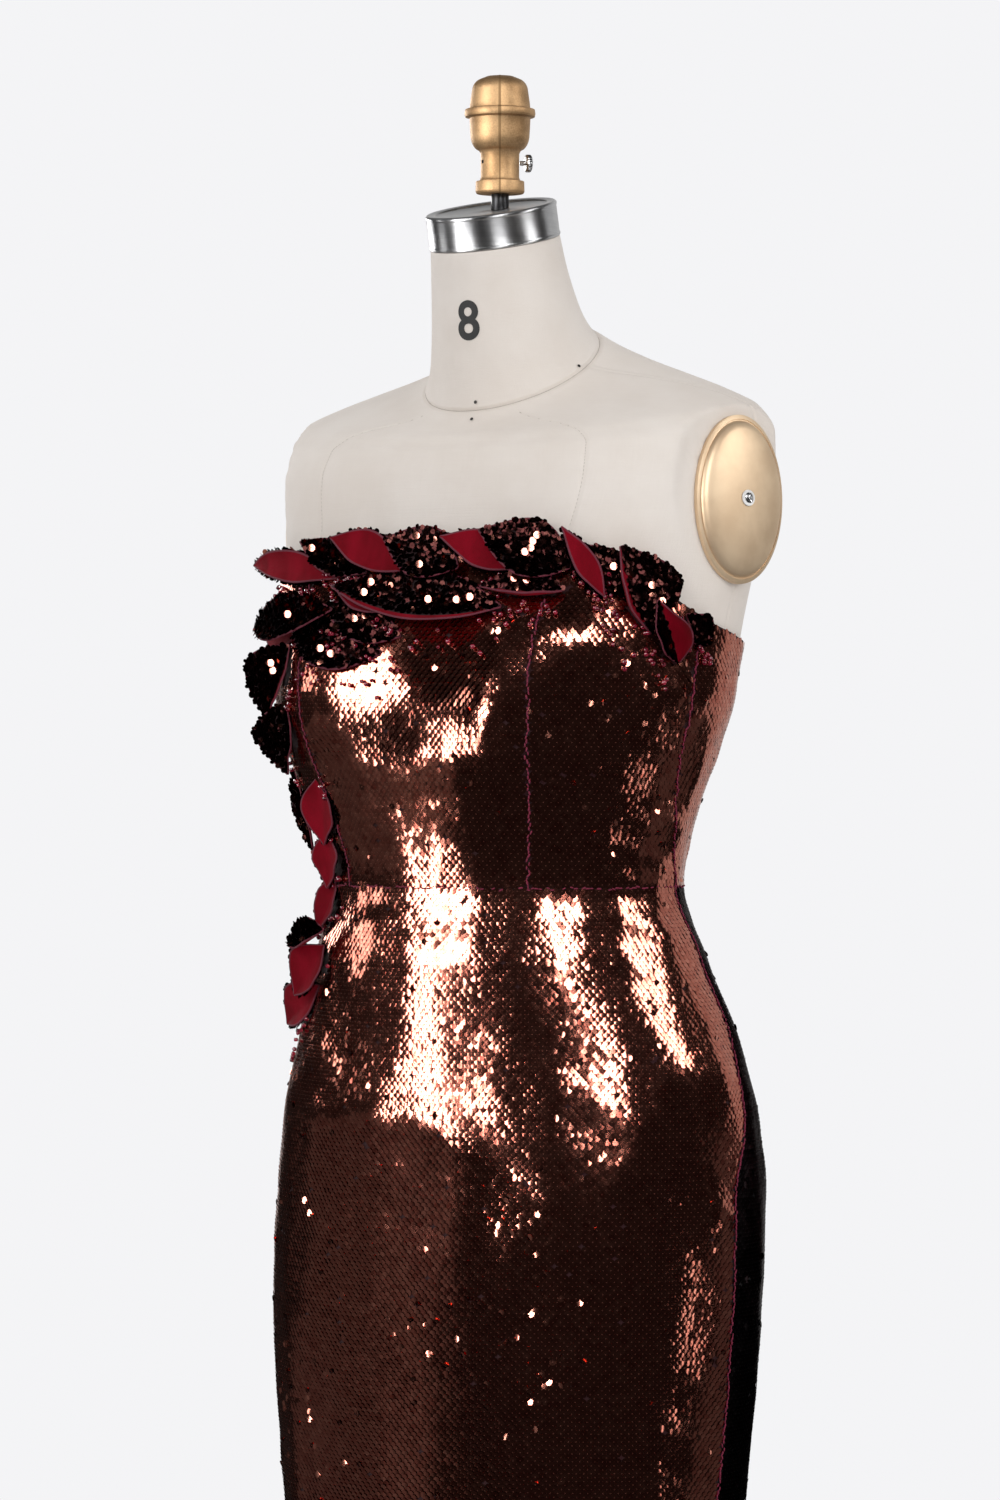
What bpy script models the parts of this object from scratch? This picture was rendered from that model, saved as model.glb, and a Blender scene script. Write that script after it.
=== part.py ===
"""Strapless mermaid evening gown on a limbless dress form.

Metres, +Z up.  The form faces -Y and its left side is +X.  The origin is on the
floor, on the axis of the stand.  Angles round the body are in degrees from the
centre front, positive towards the form's left.
"""

import math
from typing import NamedTuple

import bmesh
import bpy
import numpy as np
from mathutils import Matrix, Vector
from mathutils.bvhtree import BVHTree

# ---------------------------------------------------------------- driving sizes
CLOTH = 0.0018                # wall of a gown panel
EASE = 0.0008                 # air between the form and the gown
SEAM_GAP = 0.0003             # between two pieces at a seam
SEAT_GAP = 0.0003             # between two hard pieces that touch
PETAL_CLOTH = 0.0012          # wall of a leaf petal

WAIST_HEIGHT = 1.060
KNEE_SEAM_HEIGHT = 0.450
HEM_HEIGHT = 0.012
FORM_BOTTOM_HEIGHT = 0.720
ZIP_BOTTOM_HEIGHT = 0.900
ZIP_SEAM_OPENS_HEIGHT = 0.840  # the centre back seam widens from here for the zip
ZIP_SEAM_OPENING = 0.050      # and is open for it this far up
ZIP_WIDTH = 0.004

BUST_APEX_X = 0.083
BUST_APEX_HEIGHT = 1.192
BUST_RISE = 0.015
BUST_SPREAD = 0.052
BUST_TALL = 0.055

FLUTE_COUNT = 12
FLUTE_DEPTH = 0.030           # half the depth of a flute at the hem

FRONT_COLUMNS = 4             # mesh columns from the centre front to the princess seam
SIDE_COLUMNS = 7              # from there to the side seam
BACK_COLUMNS = 9              # from there to the centre back


class Section(NamedTuple):
    """One level of the body.  Depths are measured from the stand's axis."""

    height: float             # on the axis
    half_width: float
    front: float              # forwards, at the centre front
    back: float               # backwards, at the centre back
    widest: float             # how far back the widest point lies
    squareness: float         # 2 is an ellipse
    tilt: float               # degrees, the front lower than the back
    dip: float = 0.0          # how far the level sags at the centre front


# The gown's outer side up to the underarm, then the form's own surface.
SECTIONS = (
    Section(0.012, 0.330, 0.300, 0.322, 0.011, 2.0, 0.0),
    Section(0.090, 0.288, 0.256, 0.279, 0.012, 2.0, 0.0),
    Section(0.165, 0.247, 0.212, 0.236, 0.012, 2.0, 0.0),
    Section(0.235, 0.210, 0.172, 0.196, 0.012, 2.0, 0.0),
    Section(0.300, 0.181, 0.141, 0.163, 0.011, 2.0, 0.0),
    Section(0.360, 0.162, 0.120, 0.139, 0.010, 2.0, 0.0),
    Section(0.410, 0.151, 0.108, 0.124, 0.009, 2.0, 0.0),
    Section(0.450, 0.148, 0.104, 0.118, 0.008, 2.0, 0.0),
    Section(0.510, 0.150, 0.103, 0.121, 0.009, 2.0, 0.0),
    Section(0.580, 0.158, 0.105, 0.129, 0.012, 2.0, 0.0),
    Section(0.6445, 0.167, 0.1065, 0.1365, 0.015, 2.0, 0.0),
    Section(0.697, 0.1725, 0.107, 0.139, 0.016, 2.0, 0.0),
    Section(0.742, 0.1765, 0.1075, 0.142, 0.017, 2.0, 0.0),
    Section(0.820, 0.179, 0.105, 0.148, 0.021, 2.0, 0.0),
    Section(0.853, 0.178, 0.1025, 0.149, 0.023, 2.0, 0.0),
    Section(0.894, 0.174, 0.1005, 0.1485, 0.024, 2.0, 0.0),
    Section(0.955, 0.159, 0.0985, 0.143, 0.022, 2.0, 0.0),
    Section(1.009, 0.139, 0.0995, 0.127, 0.014, 2.0, 0.0),
    Section(1.060, 0.126, 0.0915, 0.107, 0.006, 2.0, 0.0),
    Section(1.117, 0.142, 0.102, 0.1085, 0.003, 2.0, 0.0),
    Section(1.151, 0.1555, 0.1105, 0.112, 0.004, 2.0, 0.0),
    Section(1.192, 0.168, 0.110, 0.119, 0.007, 2.0, 0.0),
    Section(1.233, 0.1715, 0.107, 0.1215, 0.014, 2.1, 0.0),
    Section(1.286, 0.177, 0.091, 0.121, 0.030, 2.2, 0.0),
    Section(1.334, 0.184, 0.076, 0.120, 0.036, 2.3, 1.0),
    Section(1.360, 0.184, 0.068, 0.117, 0.040, 2.2, 3.0, 0.006),
    Section(1.376, 0.172, 0.062, 0.112, 0.041, 2.1, 6.0, 0.012),
    Section(1.383, 0.150, 0.058, 0.106, 0.040, 2.0, 10.0, 0.011),
    Section(1.387, 0.125, 0.054, 0.100, 0.036, 2.0, 15.0, 0.0085),
    Section(1.391, 0.098, 0.050, 0.094, 0.030, 2.0, 20.0, 0.006),
    Section(1.395, 0.076, 0.046, 0.086, 0.022, 2.0, 25.0, 0.003),
    Section(1.401, 0.0615, 0.043, 0.076, 0.015, 2.0, 29.0),
    Section(1.412, 0.0545, 0.042, 0.068, 0.011, 2.0, 29.0),
    Section(1.432, 0.0500, 0.043, 0.059, 0.006, 2.0, 26.0),
    Section(1.462, 0.0465, 0.0455, 0.048, 0.000, 2.0, 20.0),
    Section(1.495, 0.0435, 0.0495, 0.0375, -0.006, 2.0, 13.5),
)
NECK_TOP = SECTIONS[-1]


class SeamPoint(NamedTuple):
    """Where a seam crosses one height."""

    height: float
    angle: float


PRINCESS_SEAM = (
    SeamPoint(0.012, 33.0),
    SeamPoint(1.060, 34.0),
    SeamPoint(1.150, 33.5),
    SeamPoint(1.240, 31.5),
    SeamPoint(1.495, 31.5),
)
SIDE_SEAM = (
    SeamPoint(0.012, 86.0),
    SeamPoint(0.700, 84.5),
    SeamPoint(0.850, 84.5),
    SeamPoint(0.915, 95.0),
    SeamPoint(1.000, 101.0),
    SeamPoint(1.060, 98.0),
    SeamPoint(1.100, 89.0),
    SeamPoint(1.150, 80.0),
    SeamPoint(1.200, 77.0),
    SeamPoint(1.495, 78.0),
)
BACK_GORE_SEAM = (
    SeamPoint(0.012, 139.0),
    SeamPoint(0.450, 139.0),
)


class EdgePoint(NamedTuple):
    """Height of the bodice's top edge at one angle round the body."""

    angle: float
    height: float


TOP_EDGE = (
    EdgePoint(0.0, 1.295),
    EdgePoint(20.0, 1.295),
    EdgePoint(33.0, 1.289),
    EdgePoint(45.0, 1.277),
    EdgePoint(58.0, 1.261),
    EdgePoint(72.0, 1.244),
    EdgePoint(88.0, 1.231),
    EdgePoint(110.0, 1.223),
    EdgePoint(145.0, 1.219),
    EdgePoint(180.0, 1.218),
)

BODICE_ROWS = 7
SKIRT_HEIGHTS = (0.450, 0.530, 0.600, 0.665, 0.720, 0.780, 0.840, 0.890, 0.935, 0.975, 1.015, 1.060)
FLOUNCE_HEIGHTS = (0.012, 0.095, 0.175, 0.250, 0.325, 0.395, 0.450)
FLOUNCE_CENTRE_COLUMNS = 14   # mesh columns of the centre front gore
FLOUNCE_SIDE_COLUMNS = 13     # of a side front gore
FLOUNCE_BACK_COLUMNS = 8      # of each back gore
FORM_FREE_HEIGHT = 1.310      # above the gown the form fills out to the measured surface
FORM_FREE_RISE = 0.030
FORM_CHEST_START_HEIGHT = 1.334
FORM_CHEST_ROWS = 4           # mesh rows from the bodice's top edge to there
FORM_SHOULDER_HEIGHTS = (1.349, 1.360, 1.369, 1.376, 1.3805, 1.384, 1.3875, 1.391, 1.395, 1.401,
                         1.412, 1.432, 1.462, 1.495)
FLUTE_STRENGTHS = (1.00, 0.86, 1.10, 0.92, 1.04, 0.84, 1.08, 0.95, 0.88, 1.12, 0.90, 1.02)

# The cut of the arm, where the oval plate sits.
ARM_PLATE_CENTRE = Vector((0.1720, 0.0230, 1.3170))
ARM_PLATE_HALF_WIDTH = 0.0375
ARM_PLATE_HALF_HEIGHT = 0.0565
ARM_PLATE_RIM = 0.003
ARM_PLATE_CROWN = 0.008
ARM_PLATE_YAW = 18.0          # turned forwards, degrees
ARM_PLATE_LEAN = 4.0          # its top leans in, degrees
ARM_PLATE_ROLL = 6.0          # its long axis leans back, degrees
ARM_CUT_MARGIN = 1.30         # the cut is flat to here, in plate radii
ARM_CUT_BLEND = 0.35          # and fades out over this, in plate radii

NECK_BAND_HEIGHT = 0.0235
NECK_BAND_RADIUS = 0.0446
NECK_PLATE_DISH = 0.0030
ROD_RADIUS = 0.0060
FINIAL_BOTTOM_HEIGHT = 1.5270
THUMB_SCREW_HEIGHT = 1.5480
THUMB_SCREW_ANGLE = 48.0      # from +X towards +Y, degrees
POLE_RADIUS = 0.0175
FOOT_RADIUS = 0.215
FOOT_THICKNESS = 0.014
FOOT_TOP_HEIGHT = 0.045

ZIP_PULL_HINGE = Vector((0.0, 0.0, 1.2040))
ZIP_PULL_LENGTH = 0.026

COLLECTION_NAME = "mermaid_evening_gown"


# ---------------------------------------------------------------- scene helpers
def clear_scene():
    """Remove every object of the scene."""
    for item in list(bpy.data.objects):
        bpy.data.objects.remove(item, do_unlink=True)


def make_material(name, colour, roughness, metallic=0.0):
    """Return a Principled material."""
    material = bpy.data.materials.new(name)
    material.use_nodes = True
    shader = material.node_tree.nodes["Principled BSDF"]
    shader.inputs["Base Color"].default_value = (*colour, 1.0)
    shader.inputs["Roughness"].default_value = roughness
    shader.inputs["Metallic"].default_value = metallic
    material.diffuse_color = (*colour, 1.0)
    return material


FINISHES = {
    "copper_sequin": ((0.115, 0.030, 0.020), 0.25, 0.8),
    "black_sequin": ((0.018, 0.010, 0.011), 0.30, 0.8),
    "petal_sequin": ((0.060, 0.012, 0.012), 0.30, 0.7),
    "crimson_suede": ((0.260, 0.004, 0.014), 0.85, 0.0),
    "linen": ((0.720, 0.670, 0.610), 0.90, 0.0),
    "steel": ((0.560, 0.560, 0.560), 0.30, 1.0),
    "black_steel": ((0.015, 0.015, 0.016), 0.35, 0.6),
    "gold": ((0.560, 0.380, 0.160), 0.38, 0.9),
    "grey_enamel": ((0.160, 0.160, 0.165), 0.45, 0.0),
}


def collect(thing, finish):
    """Put an object in the part's collection, with a material of its own."""
    collection = bpy.data.collections.get(COLLECTION_NAME)
    if collection is None:
        collection = bpy.data.collections.new(COLLECTION_NAME)
        bpy.context.scene.collection.children.link(collection)
    for old in list(thing.users_collection):
        old.objects.unlink(thing)
    collection.objects.link(thing)
    thing.data.materials.clear()
    thing.data.materials.append(make_material(thing.name + "_finish", *FINISHES[finish]))
    return thing


def object_from_bmesh(name, shape, finish, smooth_angle=40.0):
    """Turn a bmesh into a named object, smooth but for its sharp edges."""
    bmesh.ops.recalc_face_normals(shape, faces=shape.faces)
    mesh = bpy.data.meshes.new(name)
    shape.to_mesh(mesh)
    shape.free()
    mesh.shade_smooth()
    mesh.set_sharp_from_angle(angle=math.radians(smooth_angle))
    return collect(bpy.data.objects.new(name, mesh), finish)


# ---------------------------------------------------------------- the body's surface
def curve_through(knots, values, places):
    """Smooth curve through the knots, which never overshoots them."""
    knots = np.asarray(knots, dtype=float)
    values = np.asarray(values, dtype=float)
    places = np.clip(np.asarray(places, dtype=float), knots[0], knots[-1])
    steps = np.diff(knots)
    slopes = np.diff(values) / steps
    tangents = np.empty_like(values)
    tangents[0] = slopes[0]
    tangents[-1] = slopes[-1]
    for index in range(1, len(values) - 1):
        before = slopes[index - 1]
        after = slopes[index]
        if before * after <= 0.0:
            tangents[index] = 0.0
        else:
            weight_before = 2.0 * steps[index] + steps[index - 1]
            weight_after = steps[index] + 2.0 * steps[index - 1]
            tangents[index] = (weight_before + weight_after) / (weight_before / before + weight_after / after)
    cell = np.clip(np.searchsorted(knots, places, side="right") - 1, 0, len(steps) - 1)
    along = (places - knots[cell]) / steps[cell]
    square = along * along
    cube = square * along
    return (
        (2.0 * cube - 3.0 * square + 1.0) * values[cell]
        + (cube - 2.0 * square + along) * steps[cell] * tangents[cell]
        + (3.0 * square - 2.0 * cube) * values[cell + 1]
        + (cube - square) * steps[cell] * tangents[cell + 1]
    )


def section_column(field, height):
    """Read one column of the section table at any height."""
    return curve_through(
        [row.height for row in SECTIONS],
        [getattr(row, field) for row in SECTIONS],
        height,
    )


def seam_angle(seam, height):
    """Angle of a seam at a height."""
    return curve_through([row.height for row in seam], [row.angle for row in seam], height)


def top_edge_height(angle):
    """Height of the bodice's top edge at an angle round the body."""
    return curve_through(
        [row.angle for row in TOP_EDGE],
        [row.height for row in TOP_EDGE],
        np.abs(angle),
    )


def flute_wave(angle):
    """Uneven wave of the flounce, from -1 to about 1."""
    turns = np.asarray(angle, dtype=float) / 360.0 * FLUTE_COUNT + 0.5
    index = np.floor(turns).astype(int)
    share = turns - index
    blend = share * share * (3.0 - 2.0 * share)
    strengths = np.asarray(FLUTE_STRENGTHS)
    strength = strengths[index % FLUTE_COUNT] * (1.0 - blend) + strengths[(index + 1) % FLUTE_COUNT] * blend
    return strength * np.cos(2.0 * math.pi * (turns - 0.5))


def surface_point(angle, height):
    """Point of the outer surface at an angle and a height."""
    angle = np.asarray(angle, dtype=float)
    height = np.asarray(height, dtype=float)
    turn = np.radians(angle)
    half_width = section_column("half_width", height)
    front = section_column("front", height)
    back = section_column("back", height)
    widest = section_column("widest", height)
    power = 2.0 / section_column("squareness", height)
    tilt = np.tan(np.radians(section_column("tilt", height)))
    side = np.sin(turn)
    ahead = np.cos(turn)
    across = half_width * np.sign(side) * np.abs(side) ** power
    depth = np.where(ahead > 0.0, front + widest, back - widest)
    along = widest - depth * np.sign(ahead) * np.abs(ahead) ** power
    bust = np.exp(
        -(((np.abs(across) - BUST_APEX_X) / BUST_SPREAD) ** 2)
        - ((height - BUST_APEX_HEIGHT) / BUST_TALL) ** 2
    )
    along = along - BUST_RISE * bust * np.clip(ahead * 2.5, 0.0, 1.0)
    drop = np.clip((KNEE_SEAM_HEIGHT - height) / (KNEE_SEAM_HEIGHT - HEM_HEIGHT), 0.0, 1.0)
    flute = FLUTE_DEPTH * drop ** 1.25 * flute_wave(angle)
    across = across + flute * side
    along = along - flute * ahead
    sag = section_column("dip", height) * np.clip(ahead, 0.0, 1.0) ** 2
    return np.stack([across, along, height + tilt * along - sag], axis=-1)


def surface_normal(angle, height):
    """Unit normal of the surface, pointing out."""
    turn_step = 0.05
    rise_step = 0.0005
    round_body = surface_point(angle + turn_step, height) - surface_point(angle - turn_step, height)
    up_body = surface_point(angle, height + rise_step) - surface_point(angle, height - rise_step)
    normal = np.cross(round_body, up_body)
    return normal / np.linalg.norm(normal, axis=-1, keepdims=True)


def layer_point(angle, height, out):
    """Point that lies a distance out from the gown's outer surface."""
    angle, height = np.broadcast_arrays(np.asarray(angle, float), np.asarray(height, float))
    return surface_point(angle, height) + surface_normal(angle, height) * np.asarray(out)[..., None]


def seam_offset_angle(angle, height, distance):
    """Angle that moves a point the given distance round the body."""
    step = 0.5
    span = np.linalg.norm(surface_point(angle + step, height) - surface_point(angle - step, height), axis=-1)
    return distance / span * (2.0 * step)


# ---------------------------------------------------------------- cloth walls
def wall_from_grids(outer, inner):
    """Closed wall between two grids of points, rows upwards and columns round."""
    shape = bmesh.new()
    rows, columns = outer.shape[:2]
    skins = []
    for grid in (outer, inner):
        skins.append([[shape.verts.new(Vector(grid[i, j])) for j in range(columns)] for i in range(rows)])
    out, inn = skins
    for i in range(rows - 1):
        for j in range(columns - 1):
            shape.faces.new((out[i][j], out[i][j + 1], out[i + 1][j + 1], out[i + 1][j]))
            shape.faces.new((inn[i][j], inn[i + 1][j], inn[i + 1][j + 1], inn[i][j + 1]))
    for j in range(columns - 1):
        shape.faces.new((out[0][j + 1], out[0][j], inn[0][j], inn[0][j + 1]))
        shape.faces.new((out[-1][j], out[-1][j + 1], inn[-1][j + 1], inn[-1][j]))
    for i in range(rows - 1):
        shape.faces.new((out[i][0], out[i + 1][0], inn[i + 1][0], inn[i][0]))
        shape.faces.new((out[i + 1][-1], out[i][-1], inn[i][-1], inn[i + 1][-1]))
    return shape


def panel(name, finish, edge_angles, columns, heights_at, rows):
    """Gown panel between two edges.

    edge_angles gives the first and last angle at an array of heights, and
    heights_at gives the heights of the rows at one angle.
    """
    share = np.linspace(0.0, 1.0, columns + 1)
    angle = np.zeros((rows + 1, columns + 1))
    height = np.zeros((rows + 1, columns + 1))
    for _ in range(3):
        for j in range(columns + 1):
            height[:, j] = heights_at(angle[-1, j])
        for j in range(columns + 1):
            first, last = edge_angles(height[:, j])
            angle[:, j] = first * (1.0 - share[j]) + last * share[j]
    outer = layer_point(angle, height, np.zeros_like(angle))
    inner = layer_point(angle, height, np.full_like(angle, -CLOTH))
    return object_from_bmesh(name, wall_from_grids(outer, inner), finish)


def zip_half_gap(height):
    """Half the opening at the centre back: the zip's above its lower end."""
    open_half = ZIP_WIDTH / 2.0 + SEAM_GAP
    closed_half = SEAM_GAP / 2.0
    share = np.clip((np.asarray(height) - ZIP_SEAM_OPENS_HEIGHT) / ZIP_SEAM_OPENING, 0.0, 1.0)
    return closed_half + (open_half - closed_half) * share


def edge_angle(kind, height, inward):
    """Angle of a panel's edge, moved inward by half a seam gap."""
    if kind == "princess":
        angle = seam_angle(PRINCESS_SEAM, height)
        half_gap = SEAM_GAP / 2.0
    elif kind == "side":
        angle = seam_angle(SIDE_SEAM, height)
        half_gap = SEAM_GAP / 2.0
    elif kind == "back_gore":
        angle = seam_angle(BACK_GORE_SEAM, height)
        half_gap = SEAM_GAP / 2.0
    else:
        angle = np.full_like(np.asarray(height, float), 180.0)
        half_gap = zip_half_gap(height)
    return angle + inward * seam_offset_angle(angle, height, half_gap)


def bodice_heights(angle):
    """Heights of the bodice's rows at one angle."""
    return np.linspace(WAIST_HEIGHT + SEAM_GAP / 2.0, float(top_edge_height(angle)), BODICE_ROWS + 1)


def skirt_heights(_angle):
    """Heights of the skirt's rows, between the waist seam and the knee seam."""
    heights = np.array(SKIRT_HEIGHTS)
    heights[0] += SEAM_GAP / 2.0
    heights[-1] -= SEAM_GAP / 2.0
    return heights


def flounce_heights(_angle):
    """Heights of the flounce's rows, from the hem to the knee seam."""
    heights = np.array(FLOUNCE_HEIGHTS)
    heights[-1] -= SEAM_GAP / 2.0
    return heights


def mirrored(edges):
    """Edge angles of the same panel on the other side of the body."""
    def flipped(height):
        first, last = edges(height)
        return -last, -first
    return flipped


def centre_edges(kind):
    """Edges of a panel that crosses the centre front."""
    def edges(height):
        angle = edge_angle(kind, height, -1.0)
        return -angle, angle
    return edges


def between(kind_front, kind_back):
    """Edges of a left-hand panel between two seams."""
    def edges(height):
        return edge_angle(kind_front, height, 1.0), edge_angle(kind_back, height, -1.0)
    return edges


def build_bodice():
    """Five bodice panels."""
    panel("bodice_centre_front", "copper_sequin", centre_edges("princess"),
          2 * FRONT_COLUMNS, bodice_heights, BODICE_ROWS)
    side_front = between("princess", "side")
    back = between("side", "centre_back")
    panel("bodice_side_front_left", "copper_sequin", side_front, SIDE_COLUMNS, bodice_heights, BODICE_ROWS)
    panel("bodice_side_front_right", "copper_sequin", mirrored(side_front),
          SIDE_COLUMNS, bodice_heights, BODICE_ROWS)
    panel("bodice_back_left", "copper_sequin", back, BACK_COLUMNS, bodice_heights, BODICE_ROWS)
    panel("bodice_back_right", "copper_sequin", mirrored(back), BACK_COLUMNS, bodice_heights, BODICE_ROWS)


def build_skirt():
    """Skirt front and the two near-black backs."""
    rows = len(SKIRT_HEIGHTS) - 1
    back = between("side", "centre_back")
    panel("skirt_front", "copper_sequin", centre_edges("side"),
          2 * (FRONT_COLUMNS + SIDE_COLUMNS), skirt_heights, rows)
    panel("skirt_back_left", "black_sequin", back, BACK_COLUMNS, skirt_heights, rows)
    panel("skirt_back_right", "black_sequin", mirrored(back), BACK_COLUMNS, skirt_heights, rows)


def build_flounce():
    """Flared flounce below the knee: seven gores, with their flutes."""
    rows = len(FLOUNCE_HEIGHTS) - 1
    panel("flounce_centre_front", "copper_sequin", centre_edges("princess"),
          FLOUNCE_CENTRE_COLUMNS, flounce_heights, rows)
    gores = (
        ("flounce_side_front", "copper_sequin", between("princess", "side"), FLOUNCE_SIDE_COLUMNS),
        ("flounce_side_back", "black_sequin", between("side", "back_gore"), FLOUNCE_BACK_COLUMNS),
        ("flounce_centre_back", "black_sequin", between("back_gore", "centre_back"), FLOUNCE_BACK_COLUMNS),
    )
    for name, finish, edges, columns in gores:
        panel(name + "_left", finish, edges, columns, flounce_heights, rows)
        panel(name + "_right", finish, mirrored(edges), columns, flounce_heights, rows)


# ---------------------------------------------------------------- petals
class Petal(NamedTuple):
    """A leaf petal.  It is sewn down along a line from its root to its tip."""

    root_angle: float         # degrees round the body
    root_height: float
    tip_angle: float
    tip_height: float
    width: float
    held: float               # share of the width below the sewn line
    lean: float               # degrees that the upper part stands off the gown
    curl_high: float          # degrees that the upper part rolls outwards
    curl_low: float           # degrees that the lower part rolls outwards
    tip_rise: float           # how far the tip stands off, more than the root
    finish: str


# In the order in which they lie on each other: the cascade down the right side from its
# lowest leaf up, two leaves on the right flank, then the second row and the row along
# the top edge, both from the form's right to its left.
PETALS = (
    Petal(-45, 0.992, -66, 0.961, 0.032, 0.45, 45, 15, 10, 0.010, "crimson_suede"),
    Petal(-42, 1.019, -52, 0.983, 0.036, 0.45, 40, 15, 10, 0.008, "crimson_suede"),
    Petal(-47, 1.066, -52, 1.026, 0.028, 0.50, 30, 15, 10, 0.005, "crimson_suede"),
    Petal(-36, 1.028, -60, 1.016, 0.026, 0.50, 10, 20, 80, 0.010, "petal_sequin"),
    Petal(-44, 1.097, -47, 1.058, 0.032, 0.50, 25, 15, 10, 0.006, "crimson_suede"),
    Petal(-62, 1.140, -66, 1.082, 0.032, 0.45, 20, 20, 10, 0.008, "petal_sequin"),
    Petal(-37, 1.132, -43, 1.089, 0.034, 0.50, 25, 15, 10, 0.006, "crimson_suede"),
    Petal(-42, 1.184, -49, 1.138, 0.040, 0.42, 50, 20, 15, 0.008, "petal_sequin"),
    Petal(-36, 1.222, -51, 1.174, 0.042, 0.42, 45, 20, 15, 0.008, "petal_sequin"),
    Petal(-86, 1.184, -92, 1.138, 0.032, 0.50, 0, 30, 30, 0.009, "crimson_suede"),
    Petal(-84, 1.238, -94, 1.196, 0.034, 0.50, 0, 30, 30, 0.009, "petal_sequin"),
    Petal(-34, 1.229, -60, 1.225, 0.020, 0.50, 0, 10, 20, 0.006, "crimson_suede"),
    Petal(-7, 1.215, -36, 1.229, 0.038, 0.50, 0, 5, 30, 0.002, "petal_sequin"),
    Petal(-2, 1.226, -22, 1.246, 0.030, 0.50, 0, 5, 35, 0.004, "petal_sequin"),
    Petal(-4, 1.242, -20, 1.258, 0.018, 0.50, 0, 10, 30, 0.003, "crimson_suede"),
    Petal(-18, 1.243, -58, 1.231, 0.034, 0.50, 0, 10, 30, 0.008, "petal_sequin"),
    Petal(23, 1.243, -20, 1.257, 0.040, 0.50, 0, 5, 45, 0.003, "petal_sequin"),
    Petal(36, 1.254, 16, 1.255, 0.026, 0.50, 0, 10, 110, 0.004, "petal_sequin"),
    Petal(-20, 1.266, -63, 1.276, 0.023, 0.35, 5, 45, 20, 0.018, "crimson_suede"),
    Petal(-12, 1.268, -34, 1.289, 0.025, 0.50, 0, 15, 30, 0.007, "petal_sequin"),
    Petal(-2, 1.266, -20, 1.287, 0.027, 0.35, 0, 30, 25, 0.008, "crimson_suede"),
    Petal(10, 1.268, -6, 1.286, 0.038, 0.50, 0, 20, 35, 0.008, "petal_sequin"),
    Petal(22, 1.267, 5, 1.287, 0.026, 0.35, 0, 30, 25, 0.008, "crimson_suede"),
    Petal(36, 1.268, 13, 1.291, 0.043, 0.50, 0, 25, 35, 0.008, "petal_sequin"),
    Petal(54, 1.250, 36, 1.285, 0.028, 0.45, 0, 20, 20, 0.003, "petal_sequin"),
    Petal(46, 1.250, 31, 1.294, 0.023, 0.50, 10, 10, 30, 0.009, "crimson_suede"),
    Petal(61, 1.227, 46, 1.283, 0.050, 0.38, 0, 25, 100, 0.008, "petal_sequin"),
    Petal(70, 1.206, 57, 1.246, 0.046, 0.35, 10, 110, 60, 0.009, "crimson_suede"),
    Petal(82, 1.222, 70, 1.240, 0.024, 0.50, 0, 40, 30, 0.004, "petal_sequin"),
)

PETAL_LENGTH_CELLS = 6
PETAL_WIDTH_CELLS = 4
PETAL_END_SHARE = 0.05        # how wide the leaf is at its two ends
TIP_RISE_POWER = 1.6          # above 1 the leaf bends up towards its tip
CURL_STEPS = 12
EDGE_SAMPLES = 4              # places tested along an edge when a leaf is laid down
LAY_START = 0.030             # how far out a leaf starts on its way in
LAY_TOLERANCE = 0.00002


def petal_width_share(along):
    """Leaf outline: share of the full width at a place from root to tip."""
    return PETAL_END_SHARE + (1.0 - PETAL_END_SHARE) * np.sin(math.pi * along ** 0.9) ** 1.1


def curled_place(distance, lean, curl):
    """Where a strip ends that leans off and rolls outwards: sideways, outwards and its last angle."""
    sideways = 0.0
    outwards = 0.0
    for step in range(CURL_STEPS):
        bend = lean + curl * (step + 0.5) / CURL_STEPS
        sideways += math.cos(bend) * distance / CURL_STEPS
        outwards += math.sin(bend) * distance / CURL_STEPS
    return sideways, outwards, lean + curl


def petal_grid(petal):
    """Middle surface of a petal and its normals, as two grids, and the way it faces."""
    along = np.linspace(0.0, 1.0, PETAL_LENGTH_CELLS + 1)
    angle = petal.root_angle + (petal.tip_angle - petal.root_angle) * along
    height = petal.root_height + (petal.tip_height - petal.root_height) * along
    spine = layer_point(angle, height, petal.tip_rise * along ** TIP_RISE_POWER)
    normal = surface_normal(angle, height)
    facing = normal[PETAL_LENGTH_CELLS // 2].copy()
    tangent = np.gradient(spine, axis=0)
    tangent /= np.linalg.norm(tangent, axis=-1, keepdims=True)
    normal = normal - tangent * np.sum(normal * tangent, axis=-1, keepdims=True)
    normal /= np.linalg.norm(normal, axis=-1, keepdims=True)
    upward = np.cross(tangent, normal)
    if upward[PETAL_LENGTH_CELLS // 2, 2] < 0.0:
        upward = -upward
    points = np.zeros((PETAL_LENGTH_CELLS + 1, PETAL_WIDTH_CELLS + 1, 3))
    normals = np.zeros_like(points)
    for i, place in enumerate(along):
        width = petal.width * petal_width_share(place)
        for j in range(PETAL_WIDTH_CELLS + 1):
            reach = j / PETAL_WIDTH_CELLS - petal.held
            if reach >= 0.0:
                sign = 1.0
                lean = math.radians(petal.lean)
                curl = math.radians(petal.curl_high) * reach / (1.0 - petal.held)
            else:
                sign = -1.0
                lean = 0.0
                curl = math.radians(petal.curl_low) * -reach / petal.held
            sideways, outwards, bend = curled_place(abs(reach) * width, lean, curl)
            points[i, j] = spine[i] + upward[i] * sideways * sign + normal[i] * outwards
            normals[i, j] = normal[i] * math.cos(bend) - upward[i] * math.sin(bend) * sign
    return points, normals, facing


class Cover(NamedTuple):
    """A solid that leaves can lie on: its surface tree and places along its edges."""

    tree: BVHTree
    places: np.ndarray


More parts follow.
